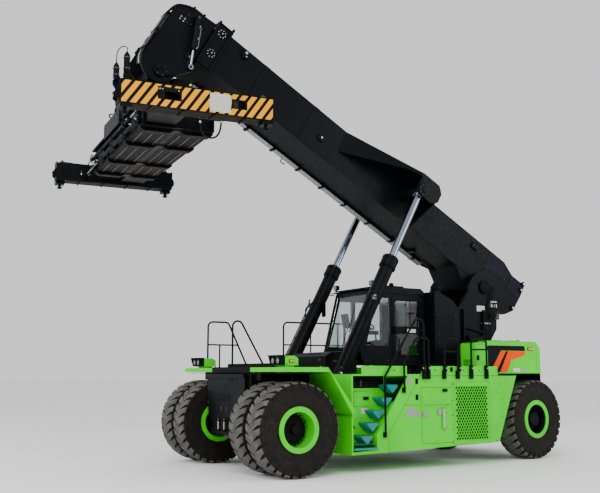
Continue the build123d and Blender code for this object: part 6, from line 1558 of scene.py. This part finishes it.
def spreader_body():
    """Telescoping cylinders, sheet covers, hoses, valves and ribs of the spreader frame."""
    kit = Kit("spreader_frame_fittings", "spreader", SPREADER, 0.003)
    kit.use(BLUE)
    for side in (1, -1):
        kit.box((side * 0.6, -1.94, 5.735), (side * 0.606, 1.94, 6.115), 0)
    kit.use(BROWN)
    for u in (-0.32, 0.32):
        for low, high in ((-1.94, -1.84), (-1.66, -0.79), (-0.61, 0.61), (0.79, 1.66), (1.84, 1.94)):
            kit.box((u - 0.275, low, 5.7165), (u + 0.275, high, 5.7195), 0)
    kit.use(RUST)
    for u in (-0.5, -0.32, -0.14, 0.14, 0.32, 0.5):
        for low, high in ((-1.66, -0.79), (-0.61, 0.61), (0.79, 1.66)):
            kit.box((u - 0.012, low, 5.709), (u + 0.012, high, 5.717), 0.002)
    for v in (-1.75, -0.7, 0.7, 1.75):
        kit.use(SATIN)
        for side in (-1, 1):
            skid = ((0.62, 5.7), (0.56, SKID_Z), (0.12, SKID_Z), (0.06, 5.7))
            kit.prism([(side * u, z) for u, z in skid], v - 0.085, v + 0.085, "y", 0.004)
        kit.use(IRON)
        for u in (-0.5, -0.18, 0.18, 0.5):
            kit.bolt((u, v - 0.05, SKID_Z), -Z, 0.011, 0.009)
            kit.bolt((u, v + 0.05, SKID_Z), -Z, 0.011, 0.009)
    kit.use(SATIN)
    for side, z in CYLINDER_Z.items():
        kit.rod((CYLINDER_U, -side * 1.9, z), (CYLINDER_U, side * 1.28, z), 0.034, 24)
        kit.turn([(0, 0.041), (0.06, 0.041), (0.065, 0.035)], (CYLINDER_U, side * 1.25, z), side * Y, 24)
    for v in (-1.75, -0.9, 0.0, 0.9, 1.75):
        kit.box((0.606, v - 0.03, 5.76), (0.645, v + 0.03, 6.05))
        for z in CYLINDER_Z.values():
            kit.lathe([
                (-0.02, 0.034), (-0.02, 0.044), (0.02, 0.044), (0.02, 0.034),
            ], (CYLINDER_U, v, z), Y, 24)
    kit.use(STEEL)
    stub = [(0, 0.014), (0.02, 0.014), (0.02, 0.01), (0.035, 0.01)]
    for side, z in CYLINDER_Z.items():
        for v in (-1.86, -1.5, 1.2):
            kit.turn(stub, (0.695, side * v, z), (0.605, 0, 0.1), 6)
    kit.use(HOSE)
    for v, drop in ((-1.5, 0.0), (1.2, 0.01)):
        kit.pipe([
            (0.725, v, 5.99), (0.76, v, 5.98 + drop), (0.765, v - 0.05, 5.94), (0.735, v - 0.2, 5.925),
            (0.72, v - 0.5, 5.92),
        ], 0.011, bend=0.05)
        kit.pipe([
            (0.725, v, 5.825), (0.75, v, 5.84), (0.755, v - 0.12, 5.9), (0.74, v - 0.3, 5.905),
            (0.72, v - 0.5, 5.9),
        ], 0.010, bend=0.05)
    for z, v0, v1 in ((5.905, -1.7, 1.55), (5.88, -1.45, 1.3)):
        kit.pipe([(0.63, v0, z), (0.632, v1, z)], 0.009)
    kit.use(STEEL)
    for v in (-1.88, 1.88):
        for k in range(3):
            u = 0.05 - 0.06 * k
            kit.rod((u, v, 6.13), (u, v, 6.18), 0.013, 10)
            kit.disc((u, v, 6.145), Z, 0.019, 0.018, 6)
    for side in (1, -1):
        kit.use(SATIN)
        kit.box((0.2, side * 1.5, 6.131), (0.46, side * 1.88, 6.25), 0.006)
        for k in range(4):
            v = side * (1.55 + 0.09 * k)
            kit.use(IRON)
            kit.turn([(0, 0.022), (0.05, 0.022), (0.055, 0.016), (0.07, 0.016)], (0.455, v, 6.2), X, 16)
            kit.use(HOSE)
            u = 0.3 + 0.03 * k
            kit.pipe([
                (u, v, 6.25), (u, v, 6.29), (0.2, v, 6.3), (0.1, v, 6.22), (0.02, v, 6.14),
            ], 0.010, bend=0.05, turns=8)
    kit.done()


for side_name, side in SIDES:
    end_beam(side_name, side)
spreader_body()


# ------------------------------------------------------------------------- boom
BOOM_HALF = 0.47
COLLAR_HALF = 0.5


def weld(kit, points, radius=0.006):
    """Fine weld bead along points."""
    kit.pipe(points, radius, turns=6)


def bolted_pad(kit, s, h, face, side):
    """Round cover with a centre screw and a ring of bolts."""
    radius = 0.09
    kit.use(BLACK)
    kit.turn([
        (0, radius), (0.012, radius), (0.02, radius * 0.7), (0.02, radius * 0.45), (0.034, radius * 0.4),
    ], (s, face, h), side * Y, 32)
    kit.use(STEEL)
    kit.ring((s, face + side * 0.011, h), side * Y, radius * 0.8, 8, 0.011, 0.012)
    kit.turn([(0, 0.017), (0.014, 0.015)], (s, face + side * 0.033, h), side * Y, 6)


def outer_boom():
    """Collar ribs, wear pad covers, welds, pipes, tail lugs and pin caps."""
    kit = Kit("outer_boom_fittings", "outer_boom", BOOM, 0.004)
    for side in (1, -1):
        face = side * COLLAR_HALF
        kit.use(BLACK)
        for s, low, high, wide in ((7.855, 0.03, 1.04, 0.045), (7.56, 0.0, 1.07, 0.05)):
            kit.box((s - wide / 2, face, low), (s + wide / 2, face + side * 0.035, high))
        for low, high in ((0.03, 0.06), (0.99, 1.02)):
            kit.box((7.6, face, low), (7.83, face + side * 0.02, high))
        bolted_pad(kit, 7.718, 0.824, face, side)
        bolted_pad(kit, 7.706, 0.348, face, side)
        edge = side * BOOM_HALF
        kit.use(BLACK)
        kit.prism([
            (7.05, 0.9), (7.2, 0.9), (7.2, 0.78), (7.15, 0.72), (7.05, 0.74),
        ], edge, edge + side * 0.05)
        kit.use(STEEL)
        kit.rod((7.13, edge + side * 0.05, 0.83), (7.13, edge + side * 0.09, 0.83), 0.028, 20)
        kit.bolt((7.09, edge + side * 0.05, 0.78), side * Y, 0.011, 0.009)
        kit.use(BLACK)
        for low, high in ((4.5, 7.53), (-0.1, 2.2)):
            for h in (0.925, 0.112):
                weld(kit, [(low, edge, h), (high, edge, h)])
        for s in (5.3, 6.6):
            kit.box((s - 0.07, edge, 0.1), (s + 0.07, edge + side * 0.012, 0.94), 0.003)
        kit.prism([
            (4.85, 0.38), (5.0, 0.38), (5.0, 0.5), (4.95, 0.52), (4.85, 0.5),
        ], edge, edge + side * 0.03)
        kit.use(STEEL)
        kit.rod((4.93, edge + side * 0.03, 0.445), (4.93, edge + side * 0.055, 0.445), 0.022, 16)
        kit.use(BLACK)
        kit.prism([(0.42, 0.7), (0.62, 0.7), (0.6, 0.82), (0.46, 0.84)], edge, edge + side * 0.04)
        kit.use(IRON)
        for s, h in ((0.47, 0.78), (0.57, 0.76)):
            kit.bolt((s, edge + side * 0.04, h), side * Y, 0.012, 0.01)
        kit.use(BLUE)
        kit.prism([
            (0.07, 0.9), (-0.62, 0.8), (-0.62, 0.55), (0.07, 0.5),
        ], edge, edge + side * 0.006, "y", 0.002)
        kit.prism([
            (-0.72, 0.76), (-1.1, 0.72), (-1.1, 0.42), (-0.72, 0.44),
        ], edge, edge + side * 0.006, "y", 0.002)
        kit.use(IRON)
        for s, h in (
            (0.03, 0.87), (0.03, 0.55), (-0.58, 0.77), (-0.58, 0.6), (-0.76, 0.72), (-1.06, 0.69),
            (-0.76, 0.48), (-1.06, 0.46),
        ):
            kit.bolt((s, edge + side * 0.006, h), side * Y, 0.01, 0.008)
        for s, h in ((-1.1, 0.8), (-1.1, 0.64), (-1.06, 0.14)):
            kit.use(BLACK)
            kit.turn([(0, 0.05), (0.03, 0.05), (0.036, 0.044)], (s, edge, h), side * Y, 24)
            kit.use(STEEL)
            kit.turn([(0, 0.024), (0.012, 0.022)], (s, edge + side * 0.035, h), side * Y, 20)
        # pivot pin caps
        pin = side * 0.688
        kit.use(SATIN)
        kit.turn([
            (0, 0.15), (0.014, 0.15), (0.02, 0.14), (0.02, 0.06), (0.028, 0.05),
        ], (0, pin, 0), side * Y, 40)
        kit.ring((0, pin + side * 0.02, 0), side * Y, 0.115, 8, 0.014, 0.012)
        # lift eye covers on the shoulders
        shoulder = side * 1.156
        kit.use(BLACK)
        kit.turn([
            (0, 0.16), (0.008, 0.16), (0.014, 0.15), (0.014, 0.08), (0.02, 0.07),
        ], (2.66, shoulder, 0.62), side * Y, 40)
        kit.use(IRON)
        kit.ring((2.66, shoulder + side * 0.013, 0.62), side * Y, 0.115, 8, 0.012, 0.009)
        kit.turn([
            (0, 0.012), (0.014, 0.010), (0.02, 0.005),
        ], (2.66, shoulder + side * 0.02, 0.62), side * Y, 6)
    # hydraulic pipes along the far lower edge
    kit.use(PIPE)
    kit.pipe([(7.5, -0.49, 0.085), (2.4, -0.49, 0.06), (1.05, -0.49, 0.055)], 0.032, turns=14)
    for y in (-0.43, -0.39):
        kit.pipe([(7.5, y, 0.07), (2.4, y, 0.05), (1.05, y, 0.05)], 0.016)
    kit.use(SATIN)
    for s in (1.3, 2.0, 2.7, 3.4, 4.05, 4.7, 5.4, 6.1, 6.8, 7.3):
        kit.box((s - 0.03, -0.535, 0.03), (s + 0.03, -0.36, 0.125))
    kit.pipe([
        (5.1, -0.5, 0.04), (5.1, -0.52, -0.01), (5.03, -0.51, -0.03), (4.98, -0.51, 0.0),
    ], 0.012, bend=0.04)
    kit.use(HOSE)
    for y in (-0.43, -0.39, -0.35):
        kit.pipe([
            (1.05, y, 0.05), (0.9, y * 0.9, 0.06), (0.7, y * 0.7, 0.09), (0.35, y * 0.6, 0.09),
        ], 0.018, bend=0.1, turns=8)
    kit.use(BLACK)
    for s in (0.6, 1.5):
        kit.box((s - 0.04, -0.34, 0.05), (s + 0.04, -0.14, 0.125))
    # stiffeners and guards on top
    for s in (4.6, 5.6, 6.6):
        kit.box((s - 0.04, -0.44, 0.94), (s + 0.04, 0.44, 0.952), 0.003)
    kit.box((7.54, -0.5, 1.03), (7.58, 0.5, 1.06))
    kit.box((7.835, -0.5, 1.03), (7.875, 0.5, 1.055))
    for y in (-0.3, 0.3):
        kit.use(SATIN)
        kit.box((7.62, y - 0.07, 1.03), (7.8, y + 0.07, 1.05))
        kit.use(STEEL)
        for s in (7.66, 7.76):
            kit.bolt((s, y - 0.035, 1.05), Z, 0.012, 0.01)
            kit.bolt((s, y + 0.035, 1.05), Z, 0.012, 0.01)
    kit.use(PIPE)
    for y, radius in ((0.36, 0.016), (0.31, 0.012)):
        kit.pipe([(-0.9, y, 0.83), (1.5, y, 0.965), (7.5, y, 0.965)], radius, bend=0.2, turns=8)
    kit.use(SATIN)
    for s in (1.6, 2.6, 3.6, 5.0, 6.0, 7.0):
        kit.box((s - 0.02, 0.27, 0.94), (s + 0.02, 0.4, 0.985), 0.003)
    # tail plate fittings
    kit.use(SATIN)
    kit.box((-1.185, -0.34, 0.2), (-1.17, 0.34, 0.7))
    kit.use(IRON)
    for y in (-0.29, 0.29):
        for h in (0.26, 0.45, 0.64):
            kit.bolt((-1.185, y, h), -X, 0.016, 0.014)
    kit.use(HOSE)
    for y in (-0.18, -0.09, 0.0, 0.09, 0.18):
        kit.pipe([
            (-1.15, y, 0.72), (-1.21, y, 0.74), (-1.23, y, 0.6), (-1.22, y, 0.2), (-1.15, y, 0.06),
            (-1.0, y, 0.08),
        ], 0.02, bend=0.1, turns=8)
    kit.done()


def boom_head():
    """Pin caps, welds, hoses, lamps and tie plate of the boom head."""
    kit = Kit("boom_head_fittings", "inner_boom", BOOM, 0.004)
    for side in (1, -1):
        edge = side * BOOM_HALF
        kit.use(BLACK)
        kit.turn([
            (0, 0.12), (0.01, 0.12), (0.014, 0.11), (0.014, 0.07), (0.024, 0.06),
        ], (8.36, edge, 0.647), side * Y, 36)
        kit.use(IRON)
        kit.ring((8.36, edge + side * 0.013, 0.647), side * Y, 0.09, 6, 0.011, 0.01)
        kit.use(BLACK)
        kit.box((8.42, edge, 0.5), (8.56, edge + side * 0.012, 0.61))
        kit.use(STEEL)
        for s, h in ((8.45, 0.525), (8.53, 0.525), (8.45, 0.585), (8.53, 0.585)):
            kit.bolt((s, edge + side * 0.016, h), side * Y, 0.011, 0.012)
        kit.use(BLACK)
        weld(
            kit,
            [
                (8.7, edge, -0.5), (8.7, edge, 0.62), (8.64, edge, 0.72), (8.36, edge, 0.875),
                (7.95, edge, 0.875),
            ],
            0.007,
        )
        pin = side * 0.4975
        kit.use(SATIN)
        kit.turn([
            (0, 0.13), (0.012, 0.13), (0.018, 0.12), (0.018, 0.05), (0.026, 0.045),
        ], (HANG[0], pin, HANG[1]), side * Y, 40)
        kit.use(IRON)
        kit.ring((HANG[0], pin + side * 0.017, HANG[1]), side * Y, 0.1, 6, 0.012, 0.01)
        # fittings near the lower pin
        kit.use(BLACK)
        kit.prism([
            (8.36, -0.62), (8.43, -0.62), (8.43, -0.5), (8.36, -0.52),
        ], pin + side * 0.02, pin + side * 0.05)
        # pipes and hoses that run down the plate behind the damper
        kit.use(HOSE)
        kit.pipe([
            (8.05, edge + side * 0.012, 0.6), (8.02, edge + side * 0.014, 0.3),
            (7.98, edge + side * 0.014, -0.1), (7.97, edge + side * 0.01, -0.3),
        ], 0.012, bend=0.15, turns=8)
        kit.pipe([
            (8.1, edge + side * 0.01, 0.55), (8.08, edge + side * 0.012, 0.2),
            (8.03, edge + side * 0.012, -0.15),
        ], 0.010, bend=0.15, turns=8)
        kit.use(STEEL)
        for s, h in ((8.04, 0.43), (8.01, 0.22), (8.0, 0.02)):
            kit.rod((s, edge, h), (s, edge + side * 0.022, h), 0.016, 10)
            kit.disc((s, edge + side * 0.011, h), side * Y, 0.024, 0.012, 6)
        kit.use(SATIN)
        for s, h in ((8.04, 0.5), (8.0, -0.05)):
            kit.box((s - 0.03, edge, h - 0.015), (s + 0.07, edge + side * 0.024, h + 0.015))
    # hose bundle over the front edge of the head
    route = [(7.96, 0.85), (8.1, 0.93), (8.42, 0.94), (8.7, 0.78)]
    route += [(8.765, 0.6), (8.765, 0.0), (8.76, -0.5), (8.68, -0.63)]
    for k in range(6):
        kit.use(HOSE if k != 2 else PIPE)
        kit.pipe([(s, 0.2 + 0.045 * k, h) for s, h in route], 0.018, bend=0.16, turns=8)
    kit.use(SATIN)
    for h in (0.5, 0.1, -0.35):
        kit.box((8.73, 0.16, h - 0.02), (8.792, 0.465, h + 0.02))
    kit.box((8.15, 0.16, 0.9), (8.19, 0.465, 0.965))
    kit.box((8.38, 0.16, 0.88), (8.42, 0.465, 0.955))
    kit.use(LABEL)
    kit.box((8.735, -0.38, 0.2), (8.74, 0.05, 0.55), 0.002)
    for y in (-0.3, 0.05):
        kit.use(SATIN)
        kit.box((8.73, y - 0.06, -0.2), (8.77, y + 0.06, -0.08))
        kit.use(LENS)
        kit.box((8.769, y - 0.05, -0.19), (8.776, y + 0.05, -0.09), 0.004)
    # tie plate between the head plates
    kit.use(BLUE)
    kit.box((8.2, -0.36, -0.3), (8.23, 0.36, 0.05))
    kit.done()


outer_boom()
boom_head()


# ---------------------------------------------------------------- tower and cabinet
TOWER_FACE = 0.665
CABINET_FACE = 0.96


def tower():
    """Ribs, box, blank plate, valves and hoses of the tower; panels and intake of the cabinet."""
    kit = Kit("tower_fittings", "chassis", bevel=0.004)
    px, pz = PIVOT
    for side in (1, -1):
        face = side * TOWER_FACE
        kit.use(BLACK)
        kit.box((px + 0.62, face, pz - 0.5), (px + 0.66, face + side * 0.06, 1.75))
        kit.prism([
            (px + 0.05, pz - 0.5), (px + 0.09, pz - 0.5), (px + 0.16, 1.75), (px + 0.12, 1.75),
        ], face, face + side * 0.06)
        kit.prism([
            (px + 0.09, pz - 1.0), (px + 0.63, pz - 0.9), (px + 0.63, pz - 0.86), (px + 0.09, pz - 0.96),
        ], face, face + side * 0.05)
        weld(kit, [(px + 0.665, face + side * 0.004, pz - 0.5), (px + 0.665, face + side * 0.004, 1.76)])
        # electric box between the ribs, with its door and lock
        kit.use(SATIN)
        kit.box((px + 0.17, face, pz - 1.62), (px + 0.58, face + side * 0.12, pz - 1.06), 0.01)
        kit.use(BLACK)
        kit.box(
            (px + 0.19, face + side * 0.12, pz - 1.6), (px + 0.56, face + side * 0.126, pz - 1.08), 0.004,
        )
        kit.use(STEEL)
        kit.turn([(0, 0.014), (0.008, 0.012)], (px + 0.23, face + side * 0.126, pz - 1.34), side * Y, 16)
        plate(kit, (px, pz - 0.53), (px + 0.23, pz - 0.41), face, LABEL)
        kit.use(STEEL)
        kit.box((px - 0.28, face, pz - 0.44), (px - 0.1, face + side * 0.09, pz - 0.31), 0.008)
        kit.use(IRON)
        for k in range(3):
            x = px - 0.25 + 0.06 * k
            kit.turn([
                (0, 0.02), (0.03, 0.02), (0.034, 0.014), (0.05, 0.014),
            ], (x, face + side * 0.085, pz - 0.35), side * Y, 12)
            kit.disc((x, face + side * 0.045, pz - 0.31), Z, 0.018, 0.03, 6)
        kit.box((px - 0.33, face, pz - 0.7), (px - 0.2, face + side * 0.1, pz - 0.56), 0.008)
        kit.disc((px - 0.01, face, pz - 0.88), side * Y, 0.03, 0.05, 20)
        kit.use(HOSE)
        for k in range(3):
            x = px - 0.25 + 0.06 * k
            up = ((0, 0.045, -0.29), (-0.01, 0.05, -0.16), (-0.07, 0.055, -0.05), (-0.12, 0.04, 0.02))
            down = (
                (0, 0.13, -0.35), (0.01, 0.14, -0.5), (0.12, 0.1, -0.8), (0.17, 0.06, -1.15),
                (0.17, 0.05, 1.76 - pz),
            )
            for route, bend in ((up, 0.06), (down, 0.1)):
                points = [(x + ahead, face + side * out, pz + z) for ahead, out, z in route]
                kit.pipe(points, 0.014, bend=bend, turns=8)
        kit.use(STEEL)
        for z in (pz - 0.8, pz - 1.2, pz - 1.6):
            kit.box((px - 0.14, face, z), (px + 0.12, face + side * 0.012, z + 0.03), 0.003)
        kit.use(IRON)
        for x, z in (
            (px + 0.9, 1.86), (px + 1.2, 1.86), (px + 0.9, 2.2), (px + 1.2, 2.2), (px + 0.9, 2.6),
            (px + 1.15, 2.6),
        ):
            kit.bolt((x, face, z), side * Y, 0.014, 0.012)
        # steady bar behind the tower
        kit.use(SATIN)
        kit.box((px - 0.19, face - side * 0.03, 2.2), (px - 0.165, face - side * 0.07, 2.9))
        kit.use(SHADOW)
        kit.disc((px + 0.52, face, pz - 1.0), side * Y, 0.03, 0.002, 20)
    kit.use(SATIN)
    kit.box((px - 0.16, -0.56, 1.75), (px - 0.13, 0.56, 2.4))
    for z in (2.0, 2.5, 3.0):
        kit.box((px + 1.1, -0.58, z), (px + 1.14, 0.58, z + 0.06))
    kit.done()

    panels = Kit("cabinet_fittings", "chassis", bevel=0.003)
    for side in (1, -1):
        face = side * CABINET_FACE
        panels.use(BLACK)
        panels.box((-2.66, face, 1.8), (-2.14, face + side * 0.008, 2.42), 0.004)
        panels.box((-2.66, face, 2.47), (-2.14, face + side * 0.008, 2.98), 0.004)
        panels.use(SHADOW)
        for i in range(12):
            panels.box(
                (-2.6, face + side * 0.007, 2.52 + 0.034 * i),
                (-2.2, face + side * 0.0095, 2.536 + 0.034 * i), 0,
            )
        panels.use(IRON)
        for z in (1.86, 2.36, 2.52, 2.93):
            for x in (-2.64, -2.16):
                panels.bolt((x, face + side * 0.008, z), side * Y, 0.009, 0.007)
        latch(panels, -2.2, 2.12, face + side * 0.008)
        panels.use(SATIN)
        for z in (1.9, 2.32):
            panels.rod(
                (-2.655, face + side * 0.014, z - 0.03), (-2.655, face + side * 0.014, z + 0.03), 0.009, 12,
            )
        # air intake stack on top
        panels.lathe([
            (0, 0), (0, 0.09), (0.02, 0.095), (0.1, 0.095), (0.12, 0.115), (0.17, 0.115), (0.2, 0.08),
            (0.21, 0),
        ], (-2.28, side * 0.78, 3.36), Z, 32)
        panels.use(HOSE)
        panels.pipe([
            (-2.735, side * 0.86, 2.9), (-2.79, side * 0.86, 2.86), (-2.8, side * 0.86, 2.3),
            (-2.8, side * 0.86, 1.78),
        ], 0.022, bend=0.06)
        panels.pipe([
            (-2.735, side * 0.8, 2.75), (-2.78, side * 0.8, 2.7), (-2.785, side * 0.8, 2.2),
            (-2.785, side * 0.8, 1.78),
        ], 0.016, bend=0.06)
    panels.done()


tower()


# -------------------------------------------------------------------- cylinders
PORT_ANGLE = 0.5


def lift_cylinder(side_name, side):
    """Ports, pipes, clamps and gland bolts of a lift cylinder."""
    base = Vector((0.5, side * 1.02, 1.3))
    along = Vector((-0.4718, 0, 0.8817))
    ahead = Vector((0.8817, 0, 0.4718))

    def at(far, r=0.0, angle=PORT_ANGLE):
        return base + along * far + (side * Y * math.cos(angle) + ahead * math.sin(angle)) * r

    port = side * Y * math.cos(PORT_ANGLE) + ahead * math.sin(PORT_ANGLE)
    outward = port.to_track_quat("Z", "Y").to_matrix().to_4x4()

    kit = Kit(f"lift_barrel_fittings_{side_name}", f"lift_barrel_{side_name}", bevel=0.004)
    kit.use(SATIN)
    for far in (2.86, 3.03):
        kit.band(at(far), along, 0.166, 0.172, 0.02, 48)
    for far in (0.62, 2.1):
        kit.band(at(far), along, 0.141, 0.15, 0.05, 48)
    kit.use(STEEL)
    for k in range(12):
        kit.bolt(at(3.071, 0.13, math.pi / 6 * k), along, 0.013, 0.014)
    kit.use(IRON)
    for far, r, half, height in ((2.1, 0.145, 0.05, 0.05), (0.42, 0.14, 0.07, 0.06)):
        place = Matrix.Translation(at(far, r)) @ outward
        kit.box((-0.05, -half, 0), (0.05, half, height), 0.006, place)
    kit.use(STEEL)
    for far in (2.06, 2.14, 0.38, 0.46):
        kit.turn([(0, 0.022), (0.025, 0.022), (0.025, 0.016), (0.05, 0.016)], at(far, 0.19), port, 6)
    kit.use(SATIN)
    route = ((2.06, 0.235), (1.98, 0.245), (1.85, 0.17), (0.7, 0.17), (0.55, 0.2), (0.46, 0.235))
    kit.pipe([at(*spot) for spot in route], 0.014, bend=0.06)
    kit.use(HOSE)
    route = [(2.14, 0.235), (2.2, 0.25), (2.2, 0.2, 1.1), (1.9, 0.17, 1.2), (0.9, 0.17, 1.2)]
    route += [(0.6, 0.19, 1.1), (0.38, 0.235, 0.6)]
    kit.pipe([at(*spot) for spot in route], 0.013, bend=0.06)
    kit.use(SATIN)
    for far in (0.9, 1.3, 1.7):
        place = Matrix.Translation(at(far, 0.142)) @ outward
        kit.box((-0.03, -0.02, -0.005), (0.03, 0.02, 0.045), 0.004, place)
    kit.done()

    rod = Kit(f"lift_rod_fittings_{side_name}", f"lift_rod_{side_name}", bevel=0.003)
    rod.use(IRON)
    way = along * 4.264 + (side * Y - ahead) * 0.07
    rod.turn([(0, 0.012), (0.02, 0.010), (0.025, 0.005)], at(4.736, 0.07, math.pi / 2), way, 12)
    rod.done()

    bracket = Kit(f"lift_base_fittings_{side_name}", "chassis", bevel=0.003)
    bracket.use(IRON)
    face = side * 1.157
    bracket.turn([(0, 0.085), (0.01, 0.085), (0.016, 0.075)], (0.5, face, 1.3), side * Y, 32)
    bracket.ring((0.5, face + side * 0.012, 1.3), side * Y, 0.06, 4, 0.009, 0.008)
    bracket.done()


def damper(side_name, side):
    """Bands, port and feed pipe of a hanger damping cylinder."""
    eye = Vector((8.259, side * 0.56, 0.728))
    foot = BOOM.inverted() @ Vector((3.241, side * 0.56, 7.33))
    along = (foot - eye).normalized()
    square = Vector((along.z, 0, -along.x))
    kit = Kit(f"damper_fittings_{side_name}", "damper_barrels", BOOM, 0.002)
    kit.use(SATIN)
    kit.lathe([
        (0, 0.055), (0, 0.059), (0.05, 0.059), (0.055, 0.057), (0.055, 0.055),
    ], eye + along * 0.585, along, 32)
    kit.band(eye + along * 0.12, along, 0.055, 0.059, 0.03)
    kit.use(CHROME)
    route = ((0.14, 0.065), (0.16, 0.085), (0.55, 0.085), (0.58, 0.06))
    kit.pipe([eye + along * far + square * off for far, off in route], 0.011, bend=0.02)
    kit.use(STEEL)
    for far in (0.14, 0.58):
        kit.disc(eye + along * far + square * 0.05, square, 0.018, 0.02, 6)
    kit.use(IRON)
    kit.turn([(0, 0.03), (0.012, 0.03), (0.016, 0.02)], eye + side * 0.055 * Y, side * Y, 24)
    kit.done()


def hanger_and_rotator():
    """Valve block, hoses, motor fittings and bolts between the boom head and the spreader."""
    kit = Kit("hanger_fittings", "hanger", Matrix.Translation((HANG_AT.x, 0, 0)), 0.005)
    kit.use(SATIN)
    kit.box((-0.62, -0.36, 6.86), (-0.3, 0.36, 7.14), 0.01)
    kit.box((-0.64, -0.44, 6.79), (-0.2, 0.44, 6.87), 0.008)
    kit.use(IRON)
    ports = (-0.3, -0.15, 0.0, 0.15, 0.3)
    for y in ports:
        kit.turn([(0, 0.03), (0.06, 0.03), (0.07, 0.02), (0.1, 0.02)], (-0.615, y, 7.04), -X, 16)
        kit.disc((-0.45, y, 7.13), Z, 0.022, 0.03, 6)
    kit.use(HOSE)
    for y in ports:
        kit.pipe([
            (-0.7, y, 7.04), (-0.75, y, 7.02), (-0.75, y, 6.9), (-0.66, y, 6.83),
        ], 0.014, bend=0.06, turns=8)
    kit.use(IRON)
    for side in (1, -1):
        for x in (-0.35, -0.18, 0.18, 0.35):
            kit.bolt((x, side * 0.42, 6.9), side * Y, 0.014, 0.012, washer=False)
    kit.done()

    ring = Kit("rotator_fittings", "rotator", SPREADER, 0.003)
    ring.use(STEEL)
    ring.ring((0, 0, 6.72), Z, 0.495, 28, 0.011, 0.012)
    for v in (-0.3, 0.3):
        ring.use(SATIN)
        ring.band((0.5, v, 6.36), Z, 0.096, 0.11, 0.02, 32)
        ring.turn([(0, 0.075), (0.06, 0.075), (0.07, 0.05)], (0.5, v, 6.58), Z, 32)
        ring.use(STEEL)
        ring.ring((0.5, v, 6.58), Z, 0.085, 8, 0.008, 0.008)
        ring.rod((0.58, v, 6.5), (0.63, v, 6.5), 0.016, 12)
        ring.use(HOSE)
        ring.pipe([
            (0.63, v, 6.5), (0.68, v, 6.49), (0.7, v * 0.8, 6.42), (0.66, v * 0.5, 6.37),
            (0.5, v * 0.2, 6.365),
        ], 0.013, bend=0.05, turns=8)
    ring.use(IRON)
    for side in (1, -1):
        for u in (-0.6, -0.3, 0.0, 0.3, 0.6):
            ring.bolt((u, side * 0.6, 6.35), Z, 0.014, 0.012)
        for v in (-0.5, -0.25, 0.0, 0.25, 0.5):
            ring.bolt((side * 0.71, v, 6.26), side * X, 0.012, 0.01)
    ring.done()


HOSE_V = 2.01


def loop_hose():
    """Hose that hangs in a loop under the left mouth of the rear tube."""
    curve = bpy.data.curves.new("loop_hose_line", "CURVE")
    curve.dimensions = "3D"
    curve.bevel_depth = 0.016
    curve.bevel_resolution = 6
    curve.resolution_u = 24
    curve.use_fill_caps = True
    spline = curve.splines.new("NURBS")
    route = ((-0.33, 5.88), (-0.33, 5.6), (-0.7, 5.6), (-0.7, 5.93))
    spline.points.add(len(route) - 1)
    for point, (u, z) in zip(spline.points, route):
        point.co = (*(SPREADER @ Vector((u, HOSE_V, z))), 1)
    spline.order_u = 3
    spline.use_endpoint_u = True
    curve.materials.append(HOSE)
    hose = bpy.data.objects.new("free_loop_hose", curve)
    bpy.context.scene.collection.objects.link(hose)
    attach(hose, "spreader")
    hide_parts("loop_hose")
    kit = Kit("loop_hose_ends", "spreader", SPREADER, 0.001)
    kit.use(STEEL)
    for u, z in (route[0], route[-1]):
        kit.lathe([
            (0, 0.0165), (0, 0.023), (0.045, 0.023), (0.05, 0.02), (0.05, 0.0165),
        ], (u, HOSE_V, z - 0.05), Z, 24)
        kit.disc((u, HOSE_V, z + 0.016), Z, 0.026, 0.02, 6)
    kit.done()


for side_name, side in SIDES:
    lift_cylinder(side_name, side)
    damper(side_name, side)
hanger_and_rotator()
loop_hose()


# ------------------------------------------------------------------ floor and light
bpy.ops.mesh.primitive_plane_add(size=400, location=(0, 0, -0.002))
floor = bpy.context.object
floor.name = "floor"
floor_mat, floor_tree, floor_bsdf = shader("floor", (0.93, 0.93, 0.93), 0.9)
tone = ramp(
    floor_tree, noise(floor_tree, 0.3, 3, 0.5, own_coords(floor_tree)),
    ((0.3, grey(0.92)), (0.7, grey(0.94))),
)
floor_tree.links.new(tone, floor_bsdf.inputs["Base Color"])
floor.data.materials.append(floor_mat)

world = bpy.data.worlds.new("studio")
world.use_nodes = True
sky = world.node_tree.nodes["Background"].inputs
sky["Color"].default_value = (1, 1, 1, 1)
sky["Strength"].default_value = 1.0
bpy.context.scene.world = world


def area(name, place, target, size, power):
    """A soft box light that looks at its target."""
    light = bpy.data.lights.new(name, "AREA")
    light.energy = power
    light.size = size
    obj = bpy.data.objects.new(name, light)
    obj.location = place
    obj.rotation_euler = (Vector(target) - Vector(place)).to_track_quat("-Z", "Y").to_euler()
    bpy.context.scene.collection.objects.link(obj)


area("key", (12, 16, 14), (0, 0, 3), 9, 2600)
area("fill", (-14, 14, 9), (-2, 0, 3), 9, 1200)
area("front", (16, -4, 7), (2, 0, 4), 7, 900)
